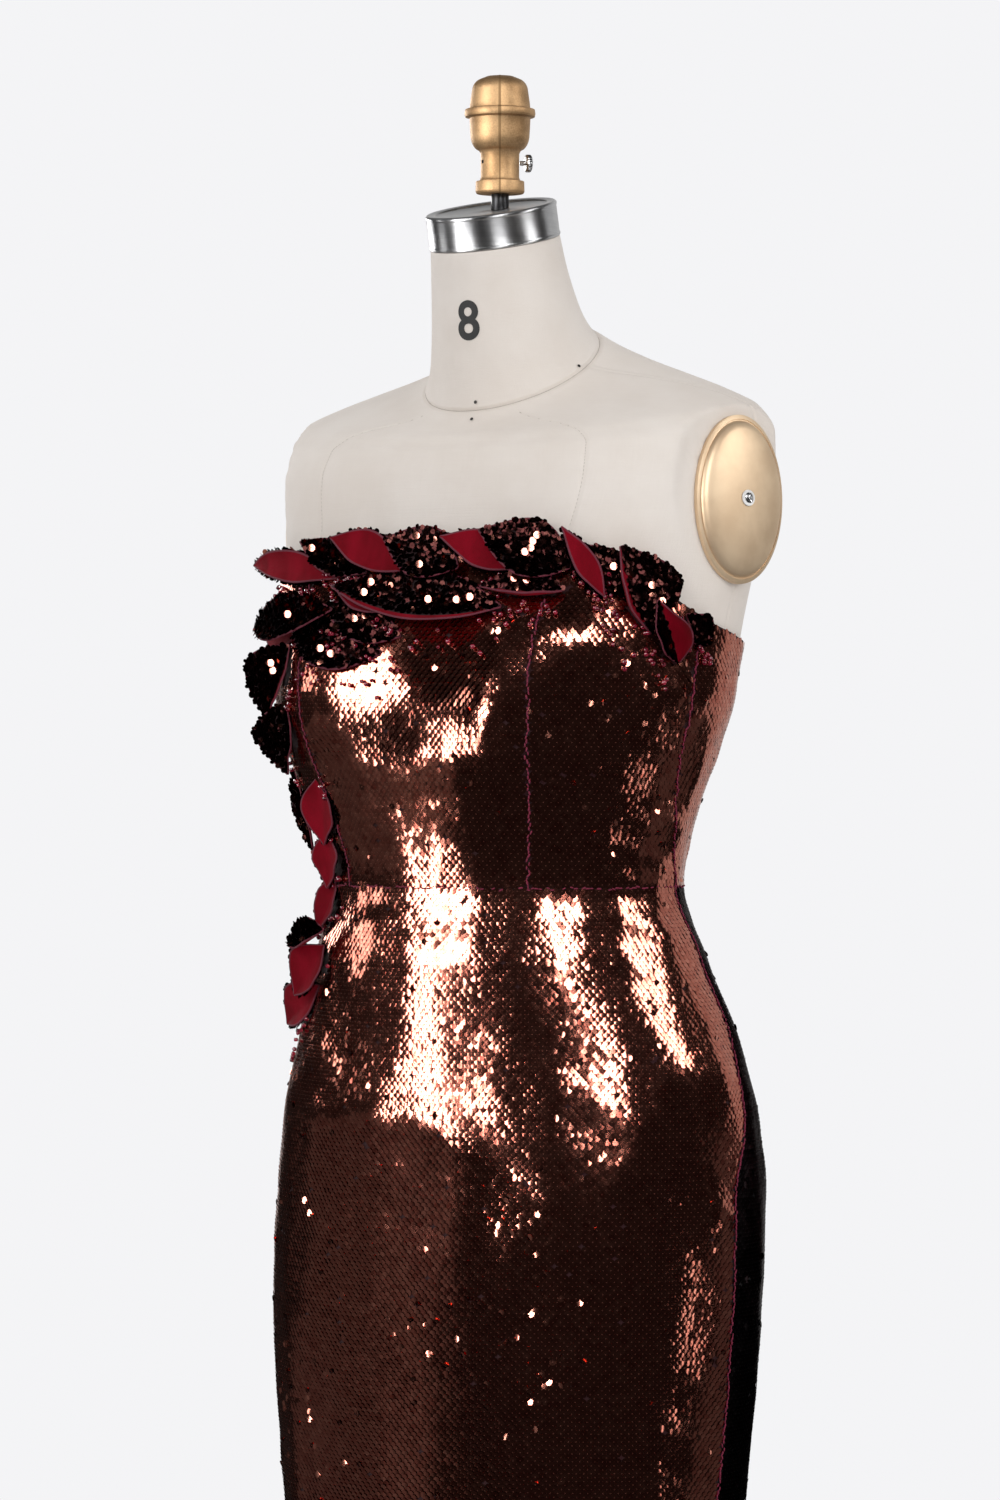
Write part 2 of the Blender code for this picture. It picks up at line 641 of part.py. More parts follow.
def cover_of(shape):
    """Surface tree and edge places of a bmesh."""
    places = []
    for edge in shape.edges:
        first, last = (np.array(vert.co) for vert in edge.verts)
        for share in np.arange(EDGE_SAMPLES) / EDGE_SAMPLES:
            places.append(first + (last - first) * share)
    return Cover(BVHTree.FromBMesh(shape), np.array(places))


def cover_of_node(name):
    """The same for a finished object."""
    shape = bmesh.new()
    shape.from_mesh(bpy.data.objects[name].data)
    cover = cover_of(shape)
    shape.free()
    return cover


def nearest(tree, places, limit):
    """Smallest distance of any place to a surface, up to a limit."""
    best = limit
    for place in places:
        found = tree.find_nearest(Vector(place), best)
        if found[0] is not None:
            best = min(best, found[3])
    return best


def lay_down(leaf, facing, covers):
    """How far out a leaf lies: it comes in against the way it faces until it meets a cover."""
    reach = np.linalg.norm(leaf.places - leaf.places.mean(axis=0), axis=1).max() + LAY_START
    close = []
    for cover in covers:
        away = np.linalg.norm(cover.places - leaf.places.mean(axis=0), axis=1)
        if (away < reach + LAY_START).any():
            close.append((cover.tree, cover.places[away < reach + LAY_START]))
    out = LAY_START
    gap = LAY_START
    while gap > LAY_TOLERANCE:
        shift = facing * out
        room = LAY_START
        for tree, places in close:
            room = nearest(tree, leaf.places + shift, room)
            room = nearest(leaf.tree, places - shift, room)
        gap = room - SEAM_GAP
        out -= gap
    return out


def build_petals():
    """Leaf petals along the top edge and down the form's right side."""
    covers = [cover_of_node(name) for name in (
        "bodice_centre_front", "bodice_side_front_left", "bodice_side_front_right",
        "bodice_back_right", "skirt_front", "form_body")]
    for number, petal in enumerate(PETALS, start=1):
        points, normals, facing = petal_grid(petal)
        outer = points + normals * PETAL_CLOTH / 2.0
        inner = points - normals * PETAL_CLOTH / 2.0
        shape = wall_from_grids(outer, inner)
        out = lay_down(cover_of(shape), facing, covers)
        bmesh.ops.translate(shape, verts=shape.verts, vec=Vector(facing * out))
        covers.append(cover_of(shape))
        object_from_bmesh(f"petal_{number:02d}", shape, petal.finish, smooth_angle=60.0)


# ---------------------------------------------------------------- the form
def arm_plane(side):
    """Centre, outward normal, width and height directions of one arm's cut."""
    centre = Vector((ARM_PLATE_CENTRE.x * side, ARM_PLATE_CENTRE.y, ARM_PLATE_CENTRE.z))
    yaw = math.radians(ARM_PLATE_YAW)
    lean = math.radians(ARM_PLATE_LEAN)
    normal = Vector((math.cos(yaw) * side, -math.sin(yaw), math.sin(lean))).normalized()
    tall = Vector((0.0, math.sin(math.radians(ARM_PLATE_ROLL)), 1.0))
    tall = (tall - normal * tall.dot(normal)).normalized()
    wide = tall.cross(normal).normalized()
    return centre, normal, wide, tall


def form_levels(angle):
    """Heights of the form's rings at one angle: the gown's own rows, then the chest and neck."""
    skirt = [height for height in SKIRT_HEIGHTS[:-1] if height >= FORM_BOTTOM_HEIGHT]
    bodice = np.linspace(WAIST_HEIGHT, float(top_edge_height(angle)), BODICE_ROWS + 1)
    chest = np.linspace(bodice[-1], FORM_CHEST_START_HEIGHT, FORM_CHEST_ROWS + 1)
    return np.concatenate([skirt, bodice, chest[1:], FORM_SHOULDER_HEIGHTS])


def half_ring_angles(princess, side):
    """Angles of the mesh columns over one half, between the seams."""
    front = np.linspace(0.0, princess, FRONT_COLUMNS + 1)
    flank = np.linspace(princess, side, SIDE_COLUMNS + 1)
    rear = np.linspace(side, 180.0, BACK_COLUMNS + 1)
    return np.concatenate([front[:-1], flank[:-1], rear])


def cut_arms(points):
    """Flatten the surface under each arm plate onto the plate's plane."""
    for side in (-1.0, 1.0):
        centre, normal, wide, tall = arm_plane(side)
        away = points - np.array(centre)
        past = np.clip(away @ np.array(normal), 0.0, None)
        across = away @ np.array(wide) / ARM_PLATE_HALF_WIDTH
        along = away @ np.array(tall) / ARM_PLATE_HALF_HEIGHT
        beyond = np.clip((np.hypot(across, along) - ARM_CUT_MARGIN) / ARM_CUT_BLEND, 0.0, 1.0)
        flat = 1.0 - beyond * beyond * (3.0 - 2.0 * beyond)
        points = points - (past * flat)[..., None] * np.array(normal)
    return points


def form_point(angle, height):
    """Point of the form's cover: under the gown below, the measured surface above."""
    free = np.clip((height - FORM_FREE_HEIGHT) / FORM_FREE_RISE, 0.0, 1.0)
    return cut_arms(layer_point(angle, height, -(CLOTH + EASE) * (1.0 - free)))


def build_form_body():
    """Covered torso, one closed solid from below the hips to the neck."""
    guess = half_ring_angles(32.0, 89.0)
    levels = np.stack([form_levels(angle) for angle in guess], axis=1)
    angles = np.zeros_like(levels)
    for _ in range(3):
        for i in range(levels.shape[0]):
            for j in range(levels.shape[1]):
                ring = half_ring_angles(
                    float(seam_angle(PRINCESS_SEAM, levels[i, j])),
                    float(seam_angle(SIDE_SEAM, levels[i, j])),
                )
                angles[i, j] = ring[j]
        edge_row = levels.shape[0] - len(FORM_SHOULDER_HEIGHTS) - FORM_CHEST_ROWS - 1
        levels = np.stack([form_levels(angle) for angle in angles[edge_row]], axis=1)
    around = np.concatenate([angles, -angles[:, -2:0:-1]], axis=1)
    heights = np.concatenate([levels, levels[:, -2:0:-1]], axis=1)
    rings = form_point(around, heights)
    shape = bmesh.new()
    loops = [[shape.verts.new(Vector(point)) for point in ring] for ring in rings]
    count = len(loops[0])
    for lower, upper in zip(loops, loops[1:]):
        for j in range(count):
            k = (j + 1) % count
            shape.faces.new((lower[j], lower[k], upper[k], upper[j]))
    shape.faces.new(loops[0][::-1])
    shape.faces.new(loops[-1])
    return object_from_bmesh("form_body", shape, "linen")


def turned(name, profile, finish, steps=24):
    """Turned piece: a profile of (radius, height) points, top to bottom, spun about Z."""
    mesh = bpy.data.meshes.new(name)
    mesh.from_pydata([(radius, 0.0, height) for radius, height in profile],
                     [(i, i + 1) for i in range(len(profile) - 1)], [])
    piece = bpy.data.objects.new(name, mesh)
    collect(piece, finish)
    screw = piece.modifiers.new("turn", "SCREW")
    screw.steps = steps
    screw.render_steps = steps
    screw.use_merge_vertices = True
    screw.merge_threshold = 0.00001
    screw.use_smooth_shade = True
    return piece


def arc_profile(centre, radii, start, end, count):
    """Points of an elliptic arc in the (radius, height) plane, angles in degrees."""
    points = []
    for i in range(count + 1):
        turn = math.radians(start + (end - start) * i / count)
        points.append((centre[0] + radii[0] * math.cos(turn), centre[1] + radii[1] * math.sin(turn)))
    return points


def neck_frame():
    """Where the neck's cut lies: a point on its axis and its tilt."""
    slope = math.tan(math.radians(NECK_TOP.tilt))
    middle = (NECK_TOP.back - NECK_TOP.front) / 2.0
    centre = Vector((0.0, middle, NECK_TOP.height + slope * middle))
    return centre, Matrix.Rotation(math.radians(NECK_TOP.tilt), 4, "X")


def build_neck_band():
    """Brushed steel band and dished plate on the neck, tilted forwards."""
    centre, tilt = neck_frame()
    top = NECK_BAND_HEIGHT
    edge = 0.0012
    profile = [
        (0.0, top - NECK_PLATE_DISH),
        (0.018, top - NECK_PLATE_DISH),
        (NECK_BAND_RADIUS - 0.006, top - 0.0006),
        (NECK_BAND_RADIUS - edge, top),
        (NECK_BAND_RADIUS, top - edge),
        (NECK_BAND_RADIUS, edge / 2.0),
        (NECK_BAND_RADIUS - edge / 2.0, 0.0),
        (0.0, 0.0),
    ]
    band = turned("form_neck_band", profile, "steel", steps=32)
    band.matrix_world = Matrix.Translation(centre + tilt @ Vector((0.0, 0.0, SEAT_GAP))) @ tilt
    return band


def build_rod():
    """Black rod between the neck plate and the finial, its foot cut to the plate's slope."""
    centre, tilt = neck_frame()
    seat = centre + tilt @ Vector((0.0, 0.0, NECK_BAND_HEIGHT - NECK_PLATE_DISH + 2.0 * SEAT_GAP))
    slope = math.tan(math.radians(NECK_TOP.tilt))
    bottom = seat.z - slope * seat.y
    top = FINIAL_BOTTOM_HEIGHT - SEAT_GAP
    bpy.ops.mesh.primitive_cylinder_add(vertices=20, radius=ROD_RADIUS, depth=top - bottom)
    rod = bpy.context.object
    rod.name = "form_rod"
    rod.data.transform(Matrix.Translation((0.0, 0.0, (top + bottom) / 2.0)))
    for vertex in rod.data.vertices:
        if vertex.co.z < (top + bottom) / 2.0:
            vertex.co.z += slope * vertex.co.y
    return collect(rod, "black_steel")


def build_finial():
    """Gold cast finial: cap, flange, cup, neck and foot ring."""
    foot = FINIAL_BOTTOM_HEIGHT
    profile = [(0.0, foot + 0.0800), (0.0090, foot + 0.0792)]
    profile += arc_profile((0.0110, foot + 0.0690), (0.0080, 0.0088), 70.0, 8.0, 3)
    profile += [
        (0.0203, foot + 0.0605),
        (0.0205, foot + 0.0575),
        (0.0236, foot + 0.0568),
        (0.0240, foot + 0.0540),
        (0.0236, foot + 0.0518),
        (0.0206, foot + 0.0510),
        (0.0203, foot + 0.0440),
    ]
    profile += arc_profile((0.0130, foot + 0.0400), (0.0070, 0.0110), -10.0, -80.0, 3)
    profile += [
        (0.0131, foot + 0.0270),
        (0.0130, foot + 0.0110),
        (0.0138, foot + 0.0088),
        (0.0164, foot + 0.0082),
        (0.0166, foot + 0.0014),
        (0.0158, foot),
        (0.0, foot),
    ]
    return turned("form_finial", profile, "gold", steps=20)


def build_thumb_screw():
    """Steel thumb screw in the finial's neck; it turns about its own axis."""
    turn = math.radians(THUMB_SCREW_ANGLE)
    direction = Vector((math.cos(turn), math.sin(turn), 0.0))
    start = 0.0131 + 2.0 * SEAT_GAP
    profile = [
        (0.0, 0.0080),
        (0.0052, 0.0080),
        (0.0060, 0.0073),
        (0.0060, 0.0047),
        (0.0052, 0.0040),
        (0.0017, 0.0036),
        (0.0017, 0.0),
        (0.0, 0.0),
    ]
    screw = turned("finial_thumb_screw", profile, "steel", steps=14)
    aim = Vector((0.0, 0.0, 1.0)).rotation_difference(direction).to_matrix().to_4x4()
    place = Vector((0.0, 0.0, THUMB_SCREW_HEIGHT)) + direction * start
    screw.matrix_world = Matrix.Translation(place) @ aim
    return screw


def build_arm_plates():
    """Convex gold ovals on the arm cuts, each with its centre screw."""
    columns = 26
    for side, word in ((1.0, "left"), (-1.0, "right")):
        centre, normal, wide, tall = arm_plane(side)
        rows = ((1.0, 0.0), (1.0, ARM_PLATE_RIM), (0.965, ARM_PLATE_RIM + 0.0010),
                (0.80, ARM_PLATE_RIM + ARM_PLATE_CROWN * 0.48),
                (0.55, ARM_PLATE_RIM + ARM_PLATE_CROWN * 0.78),
                (0.28, ARM_PLATE_RIM + ARM_PLATE_CROWN * 0.96))
        shape = bmesh.new()
        loops = []
        for scale, out in rows:
            loop = []
            for j in range(columns):
                turn = 2.0 * math.pi * j / columns
                place = (centre + wide * (ARM_PLATE_HALF_WIDTH * scale * math.cos(turn))
                         + tall * (ARM_PLATE_HALF_HEIGHT * scale * math.sin(turn))
                         + normal * (out + SEAT_GAP))
                loop.append(shape.verts.new(place))
            loops.append(loop)
        for lower, upper in zip(loops, loops[1:]):
            for j in range(columns):
                k = (j + 1) % columns
                shape.faces.new((lower[j], lower[k], upper[k], upper[j]))
        shape.faces.new(loops[0][::-1])
        shape.faces.new(loops[-1])
        object_from_bmesh("arm_plate_" + word, shape, "gold", smooth_angle=50.0)
        head_seat = ARM_PLATE_RIM + ARM_PLATE_CROWN * 0.96 + 2.0 * SEAT_GAP
        screw_profile = [(0.0, 0.0022), (0.0028, 0.0020), (0.0036, 0.0010), (0.0052, 0.0008), (0.0054, 0.0), (0.0, 0.0)]
        screw = turned("arm_plate_screw_" + word, screw_profile, "steel", steps=16)
        aim = Vector((0.0, 0.0, 1.0)).rotation_difference(normal).to_matrix().to_4x4()
        screw.matrix_world = Matrix.Translation(centre + normal * head_seat) @ aim


def build_stand():
    """Pole with its top flange, and the round cast foot."""
    top = FORM_BOTTOM_HEIGHT - SEAT_GAP
    bottom = FOOT_TOP_HEIGHT + SEAT_GAP
    pole_profile = [
        (0.0, top),
        (0.048, top),
        (0.048, top - 0.006),
        (0.024, top - 0.010),
        (0.024, top - 0.045),
        (POLE_RADIUS, top - 0.050),
        (POLE_RADIUS, bottom),
        (0.0, bottom),
    ]
    turned("stand_pole", pole_profile, "grey_enamel", steps=20)
    foot_profile = [
        (0.0, FOOT_TOP_HEIGHT),
        (0.030, FOOT_TOP_HEIGHT),
        (0.034, FOOT_TOP_HEIGHT - 0.004),
        (0.036, FOOT_THICKNESS + 0.012),
        (0.060, FOOT_THICKNESS + 0.004),
        (FOOT_RADIUS - 0.008, FOOT_THICKNESS),
        (FOOT_RADIUS, FOOT_THICKNESS - 0.006),
        (FOOT_RADIUS, 0.0),
        (0.0, 0.0),
    ]
    turned("stand_foot", foot_profile, "grey_enamel", steps=32)


# ---------------------------------------------------------------- the zip
def back_depth(height, out):
    """Distance behind the axis of the centre back, moved out."""
    return float(layer_point(np.array(180.0), np.array(height), np.array(out))[1])


def build_zip_chain():
    """Chain of the concealed zip, a narrow strip in the centre back seam."""
    rows = sorted(
        [h for h in SKIRT_HEIGHTS[:-1] if h > ZIP_BOTTOM_HEIGHT + 0.001]
        + list(bodice_heights(180.0))
        + [ZIP_BOTTOM_HEIGHT + SEAM_GAP]
    )
    heights = np.array(rows)
    outer = np.zeros((len(rows), 2, 3))
    inner = np.zeros((len(rows), 2, 3))
    for i, height in enumerate(heights):
        shift = float(seam_offset_angle(np.array(180.0), np.array(height), ZIP_WIDTH / 2.0))
        for j, sign in enumerate((-1.0, 1.0)):
            angle = np.array(180.0 + sign * shift)
            outer[i, j] = layer_point(angle, np.array(height), np.array(-0.0002))
            inner[i, j] = layer_point(angle, np.array(height), np.array(-CLOTH))
    return object_from_bmesh("zip_chain", wall_from_grids(outer, inner), "black_sequin")


def add_box(shape, centre, size, rotation=None):
    """Add a box to a bmesh."""
    matrix = Matrix.Translation(centre)
    if rotation is not None:
        matrix = matrix @ rotation
    matrix = matrix @ Matrix.Diagonal((*size, 1.0))
    bmesh.ops.create_cube(shape, size=1.0, matrix=matrix)


def zip_hinge():
    """Axis of the pull tab, just behind the slider."""
    height = ZIP_PULL_HINGE.z
    return Vector((0.0, back_depth(height, 0.0042), height))


def build_zip_slider():
    """Slider: a plate on the chain with two ears and the pin that carries the tab."""
    hinge = zip_hinge()
    height = hinge.z
    low = back_depth(height - 0.005, 0.0)
    high = back_depth(height + 0.005, 0.0)
    lean = Matrix.Rotation(math.atan2(low - high, 0.010), 4, "X")
    middle = Vector((0.0, back_depth(height, 0.0), height))
    plate_thickness = 0.0014
    out = lean.to_3x3() @ Vector((0.0, 1.0, 0.0))
    bpy.ops.mesh.primitive_cube_add(size=1.0)
    plate = bpy.context.object
    plate.name = "zip_slider"
    plate.data.transform(Matrix.Translation(middle + out * (plate_thickness / 2.0 + 2.0 * SEAM_GAP))
                         @ lean @ Matrix.Diagonal((0.0064, plate_thickness, 0.0105, 1.0)))
    collect(plate, "black_steel")
    reach = (hinge.y - middle.y) + 0.0009
    for sign in (-1.0, 1.0):
        ear = bmesh.new()
        add_box(ear, Vector((sign * 0.0024, middle.y + plate_thickness + reach / 2.0 - 0.0004, height)),
                (0.0010, reach - 0.0006, 0.0026))
        join_to(plate, ear)
    pin = bmesh.new()
    bmesh.ops.create_cone(pin, cap_ends=True, segments=12, radius1=0.0005, radius2=0.0005, depth=0.0050,
                          matrix=Matrix.Translation(hinge) @ Matrix.Rotation(math.pi / 2.0, 4, "Y"))
    join_to(plate, pin)
    return plate


def join_to(thing, shape):
    """Unite a bmesh body with an object by a Boolean, applied."""
    combine(thing, shape, "UNION")


def cut_from(thing, shape):
    """Cut a bmesh body out of an object by a Boolean, applied."""
    combine(thing, shape, "DIFFERENCE")


def combine(thing, shape, operation):
    """Apply one Boolean to an object and drop the cutter."""
    mesh = bpy.data.meshes.new("tool")
    shape.to_mesh(mesh)
    shape.free()
    tool = bpy.data.objects.new("tool", mesh)
    bpy.context.scene.collection.objects.link(tool)
    modifier = thing.modifiers.new("combine", "BOOLEAN")
    modifier.operation = operation
    modifier.object = tool
    bpy.context.view_layer.update()
    evaluated = thing.evaluated_get(bpy.context.evaluated_depsgraph_get())
    result = bpy.data.meshes.new_from_object(evaluated)
    thing.modifiers.remove(modifier)
    old = thing.data
    thing.data = result
    bpy.data.meshes.remove(old)
    bpy.data.objects.remove(tool, do_unlink=True)


def build_zip_pull():
    """Pull tab: a tapered plate with an eye round the slider's pin."""
    hinge = zip_hinge()
    thickness = 0.0012
    outline = [
        (-0.0014, 0.0016), (0.0014, 0.0016), (0.0015, -0.0060), (0.0030, -0.0110),
        (0.0032, -ZIP_PULL_LENGTH + 0.003), (0.0020, -ZIP_PULL_LENGTH),
        (-0.0020, -ZIP_PULL_LENGTH), (-0.0032, -ZIP_PULL_LENGTH + 0.003),
        (-0.0030, -0.0110), (-0.0015, -0.0060),
    ]
    shape = bmesh.new()
    loops = []
    for depth in (-thickness / 2.0, thickness / 2.0):
        loops.append([shape.verts.new((x, depth, z)) for x, z in outline])
    count = len(outline)
    for j in range(count):
        k = (j + 1) % count
        shape.faces.new((loops[0][j], loops[0][k], loops[1][k], loops[1][j]))
    shape.faces.new(loops[0][::-1])
    shape.faces.new(loops[1])
    pull = object_from_bmesh("zip_pull", shape, "black_steel")
    barrel = bmesh.new()
    sideways = Matrix.Rotation(math.pi / 2.0, 4, "Y")
    bmesh.ops.create_cone(barrel, cap_ends=True, segments=16, radius1=0.0018, radius2=0.0018, depth=0.0032,
                          matrix=sideways)
    join_to(pull, barrel)
    eye = bmesh.new()
    bmesh.ops.create_cone(eye, cap_ends=True, segments=16, radius1=0.0009, radius2=0.0009, depth=0.0060,
                          matrix=sideways)
    cut_from(pull, eye)
    pull.location = hinge
    return pull


def main():
    """Build the whole part."""
    clear_scene()
    build_form_body()
    build_neck_band()
    build_rod()
    build_finial()
    build_thumb_screw()
    build_arm_plates()
    build_stand()
    build_bodice()
    build_skirt()
    build_flounce()
    build_zip_chain()
    build_zip_slider()
    build_zip_pull()
    build_petals()


main()
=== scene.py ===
"""Looks of a strapless sequinned mermaid gown on a limbless dress form.

Metres, +Z up, in the frame's own coordinates: the form faces -Y and its left side is +X.
Angles round the body are in degrees from the centre front, positive towards the form's left.
"""

import logging
import math
from dataclasses import dataclass, field
from enum import Enum
from typing import Any, Callable, NamedTuple, Sequence

import bmesh
import bpy
import numpy as np
from mathutils import Matrix, Vector
from mathutils.bvhtree import BVHTree


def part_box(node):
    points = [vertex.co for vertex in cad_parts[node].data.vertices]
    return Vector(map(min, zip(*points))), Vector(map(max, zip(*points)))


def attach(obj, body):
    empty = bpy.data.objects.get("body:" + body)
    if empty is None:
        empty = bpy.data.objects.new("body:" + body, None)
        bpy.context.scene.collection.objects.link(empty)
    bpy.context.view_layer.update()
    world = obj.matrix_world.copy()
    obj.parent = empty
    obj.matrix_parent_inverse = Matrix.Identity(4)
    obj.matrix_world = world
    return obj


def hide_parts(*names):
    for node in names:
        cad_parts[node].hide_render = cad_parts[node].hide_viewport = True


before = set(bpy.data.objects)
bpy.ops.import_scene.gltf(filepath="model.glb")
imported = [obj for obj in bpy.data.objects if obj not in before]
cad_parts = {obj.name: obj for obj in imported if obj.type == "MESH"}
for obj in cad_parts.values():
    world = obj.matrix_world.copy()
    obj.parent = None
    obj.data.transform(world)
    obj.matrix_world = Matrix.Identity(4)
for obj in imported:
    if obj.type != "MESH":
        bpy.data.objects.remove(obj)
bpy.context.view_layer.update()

GOWN_BODY = "gown_and_form"
THUMB_SCREW_BODY = "thumb_screw"
BAKE_MAP = "OFBake"
DISC_MAP = "disc"
CLOTH_MAP = "cloth"
TONE = "tone"

log = logging.getLogger("gown")
Colour = tuple[float, float, float]
Model = tuple[np.ndarray, np.ndarray | list[list[int]]]      # points and faces of a small piece
UP = np.array((0.0, 0.0, 1.0))


# ---- the body's surface
class Section(NamedTuple):
    """One level of the body. Depths are measured from the stand's axis."""

    height: float
    half_width: float
    front: float
    back: float
    widest: float
    squareness: float = 2.0
    tilt: float = 0.0
    dip: float = 0.0


SECTIONS = tuple(Section(*row) for row in (
    (0.012, 0.33, 0.3, 0.322, 0.011), (0.09, 0.288, 0.256, 0.279, 0.012),
    (0.165, 0.247, 0.212, 0.236, 0.012), (0.235, 0.21, 0.172, 0.196, 0.012),
    (0.3, 0.181, 0.141, 0.163, 0.011), (0.36, 0.162, 0.12, 0.139, 0.01), (0.41, 0.151, 0.108, 0.124, 0.009),
    (0.45, 0.148, 0.104, 0.118, 0.008), (0.51, 0.15, 0.103, 0.121, 0.009),
    (0.58, 0.158, 0.105, 0.129, 0.012), (0.6445, 0.167, 0.1065, 0.1365, 0.015),
    (0.697, 0.1725, 0.107, 0.139, 0.016), (0.742, 0.1765, 0.1075, 0.142, 0.017),
    (0.82, 0.179, 0.105, 0.148, 0.021), (0.853, 0.178, 0.1025, 0.149, 0.023),
    (0.894, 0.174, 0.1005, 0.1485, 0.024), (0.955, 0.159, 0.0985, 0.143, 0.022),
    (1.009, 0.139, 0.0995, 0.127, 0.014), (1.06, 0.126, 0.0915, 0.107, 0.006),
    (1.117, 0.142, 0.102, 0.1085, 0.003), (1.151, 0.1555, 0.1105, 0.112, 0.004),
    (1.192, 0.168, 0.11, 0.119, 0.007), (1.233, 0.1715, 0.107, 0.1215, 0.014, 2.1),
    (1.286, 0.177, 0.091, 0.121, 0.03, 2.2), (1.334, 0.184, 0.076, 0.12, 0.036, 2.3, 1),
    (1.36, 0.184, 0.068, 0.117, 0.04, 2.2, 3, 0.006), (1.376, 0.172, 0.062, 0.112, 0.041, 2.1, 6, 0.012),
    (1.383, 0.15, 0.058, 0.106, 0.04, 2, 10, 0.011), (1.387, 0.125, 0.054, 0.1, 0.036, 2, 15, 0.0085),
    (1.391, 0.098, 0.05, 0.094, 0.03, 2, 20, 0.006), (1.395, 0.076, 0.046, 0.086, 0.022, 2, 25, 0.003),
    (1.401, 0.0615, 0.043, 0.076, 0.015, 2, 29), (1.412, 0.0545, 0.042, 0.068, 0.011, 2, 29),
    (1.432, 0.05, 0.043, 0.059, 0.006, 2, 26), (1.462, 0.0465, 0.0455, 0.048, 0, 2, 20),
    (1.495, 0.0435, 0.0495, 0.0375, -0.006, 2, 13.5),
))


class Seam(Enum):
    """The gown's upright seams."""

    PRINCESS = "princess"
    SIDE = "side"
    BACK_GORE = "back_gore"
    CENTRE_BACK = "centre_back"


class SeamPoint(NamedTuple):
    """Where an upright seam crosses one height."""

    height: float
    angle: float


SEAM_LINES = {seam: tuple(SeamPoint(*row) for row in rows) for seam, rows in {
    Seam.PRINCESS: ((0.012, 33), (1.06, 34), (1.15, 33.5), (1.24, 31.5), (1.495, 31.5)),
    Seam.SIDE: ((0.012, 86), (0.7, 84.5), (0.85, 84.5), (0.915, 95), (1, 101), (1.06, 98), (1.1, 89),
                (1.15, 80), (1.2, 77), (1.495, 78)),
    Seam.BACK_GORE: ((0.012, 139), (0.45, 139)),
    Seam.CENTRE_BACK: ((0.012, 180), (1.495, 180)),
}.items()}


class EdgePoint(NamedTuple):
    """Height of the bodice's top edge at one angle round the body."""

    angle: float
    height: float


TOP_EDGE = tuple(EdgePoint(*row) for row in (
    (0, 1.295), (20, 1.295), (33, 1.289), (45, 1.277), (58, 1.261), (72, 1.244), (88, 1.231), (110, 1.223),
    (145, 1.219), (180, 1.218),
))


class Crease(NamedTuple):
    """A soft fold of the stretched gown, from one place to another."""

    angle_from: float
    height_from: float
    angle_to: float
    height_to: float
    rise: float               # outwards; a groove is below zero
    breadth: float


# Drag lines at the waist and under the arms, folds over the hips and the seat, and the
# long slack folds between the knees, placed all round.
CREASES = tuple(Crease(*row) for row in (
    (24, 1.192, 25.5, 1.148, -0.001, 0.008), (9, 1.176, 15, 1.118, 0.0008, 0.011),
    (-12, 1.17, -20, 1.105, 0.0009, 0.013), (-33, 1.15, -24, 1.082, -0.0008, 0.01),
    (48, 1.14, 41, 1.08, 0.001, 0.012), (62, 1.196, 84, 1.172, 0.0012, 0.01),
    (58, 1.17, 88, 1.135, -0.0009, 0.01), (66, 1.112, 98, 1.098, 0.0011, 0.009),
    (60, 1.078, 101, 1.067, 0.0014, 0.008), (-58, 1.094, -99, 1.08, 0.0012, 0.009),
    (-70, 1.19, -88, 1.16, 0.001, 0.01), (112, 1.15, 150, 1.12, 0.0013, 0.011),
    (118, 1.085, 168, 1.074, 0.0015, 0.009), (-110, 1.14, -146, 1.108, 0.0012, 0.01),
    (-124, 1.09, -172, 1.078, 0.0014, 0.01), (50, 1.046, 66, 1.04, 0.0008, 0.008),
    (66, 1.04, 102, 1.022, 0.0015, 0.01), (50, 1.008, 88, 0.985, -0.001, 0.012),
    (-8, 1.042, -34, 1.03, 0.001, 0.009), (-52, 1.036, -98, 1.018, 0.0014, 0.01),
    (120, 1.04, 172, 1.03, 0.0016, 0.009), (-118, 1.035, -174, 1.022, 0.0015, 0.01),
    (5, 0.998, -14, 0.905, 0.0009, 0.016), (33, 0.985, 38, 0.872, 0.0007, 0.013),
    (66, 0.884, 80, 0.842, 0.0024, 0.011), (60, 0.862, 76, 0.826, -0.001, 0.01),
    (-36, 0.948, -62, 0.905, 0.0013, 0.014), (-20, 0.86, -40, 0.76, 0.0011, 0.018),
    (14, 0.868, 6, 0.742, 0.001, 0.017), (40, 0.82, 50, 0.64, 0.0014, 0.018),
    (128, 0.92, 160, 0.88, 0.0016, 0.013), (112, 0.87, 138, 0.8, 0.0014, 0.014),
    (-126, 0.915, -166, 0.872, 0.0015, 0.013), (-108, 0.85, -130, 0.77, 0.0013, 0.015),
    (150, 0.79, 158, 0.56, 0.0016, 0.018), (-146, 0.76, -152, 0.52, 0.0018, 0.019),
    (58, 0.7, 66, 0.48, 0.002, 0.02), (22, 0.7, 28, 0.5, -0.001, 0.018), (-6, 0.68, -2, 0.47, 0.0016, 0.02),
    (-44, 0.72, -40, 0.48, 0.0018, 0.019), (-74, 0.69, -78, 0.5, 0.0013, 0.017),
    (84, 0.62, 110, 0.56, 0.0016, 0.013), (-18, 0.56, 16, 0.535, 0.0014, 0.013),
    (-60, 0.56, -92, 0.52, 0.0015, 0.012),
))


class Undulation(NamedTuple):
    """One slow wave of the cloth. Its wave lengths are along the round and up the body."""

    round_length: float
    up_length: float
    rise: float
    start: float


UNDULATIONS = tuple(Undulation(*row) for row in (
    (0.061, 0.24, 0.00018, 0.7), (-0.047, 0.13, 0.00015, 2.1), (0.16, 0.052, 0.00016, 4),
    (-0.09, -0.038, 0.0001, 5.3), (0.033, 0.41, 0.00008, 1.4),
))


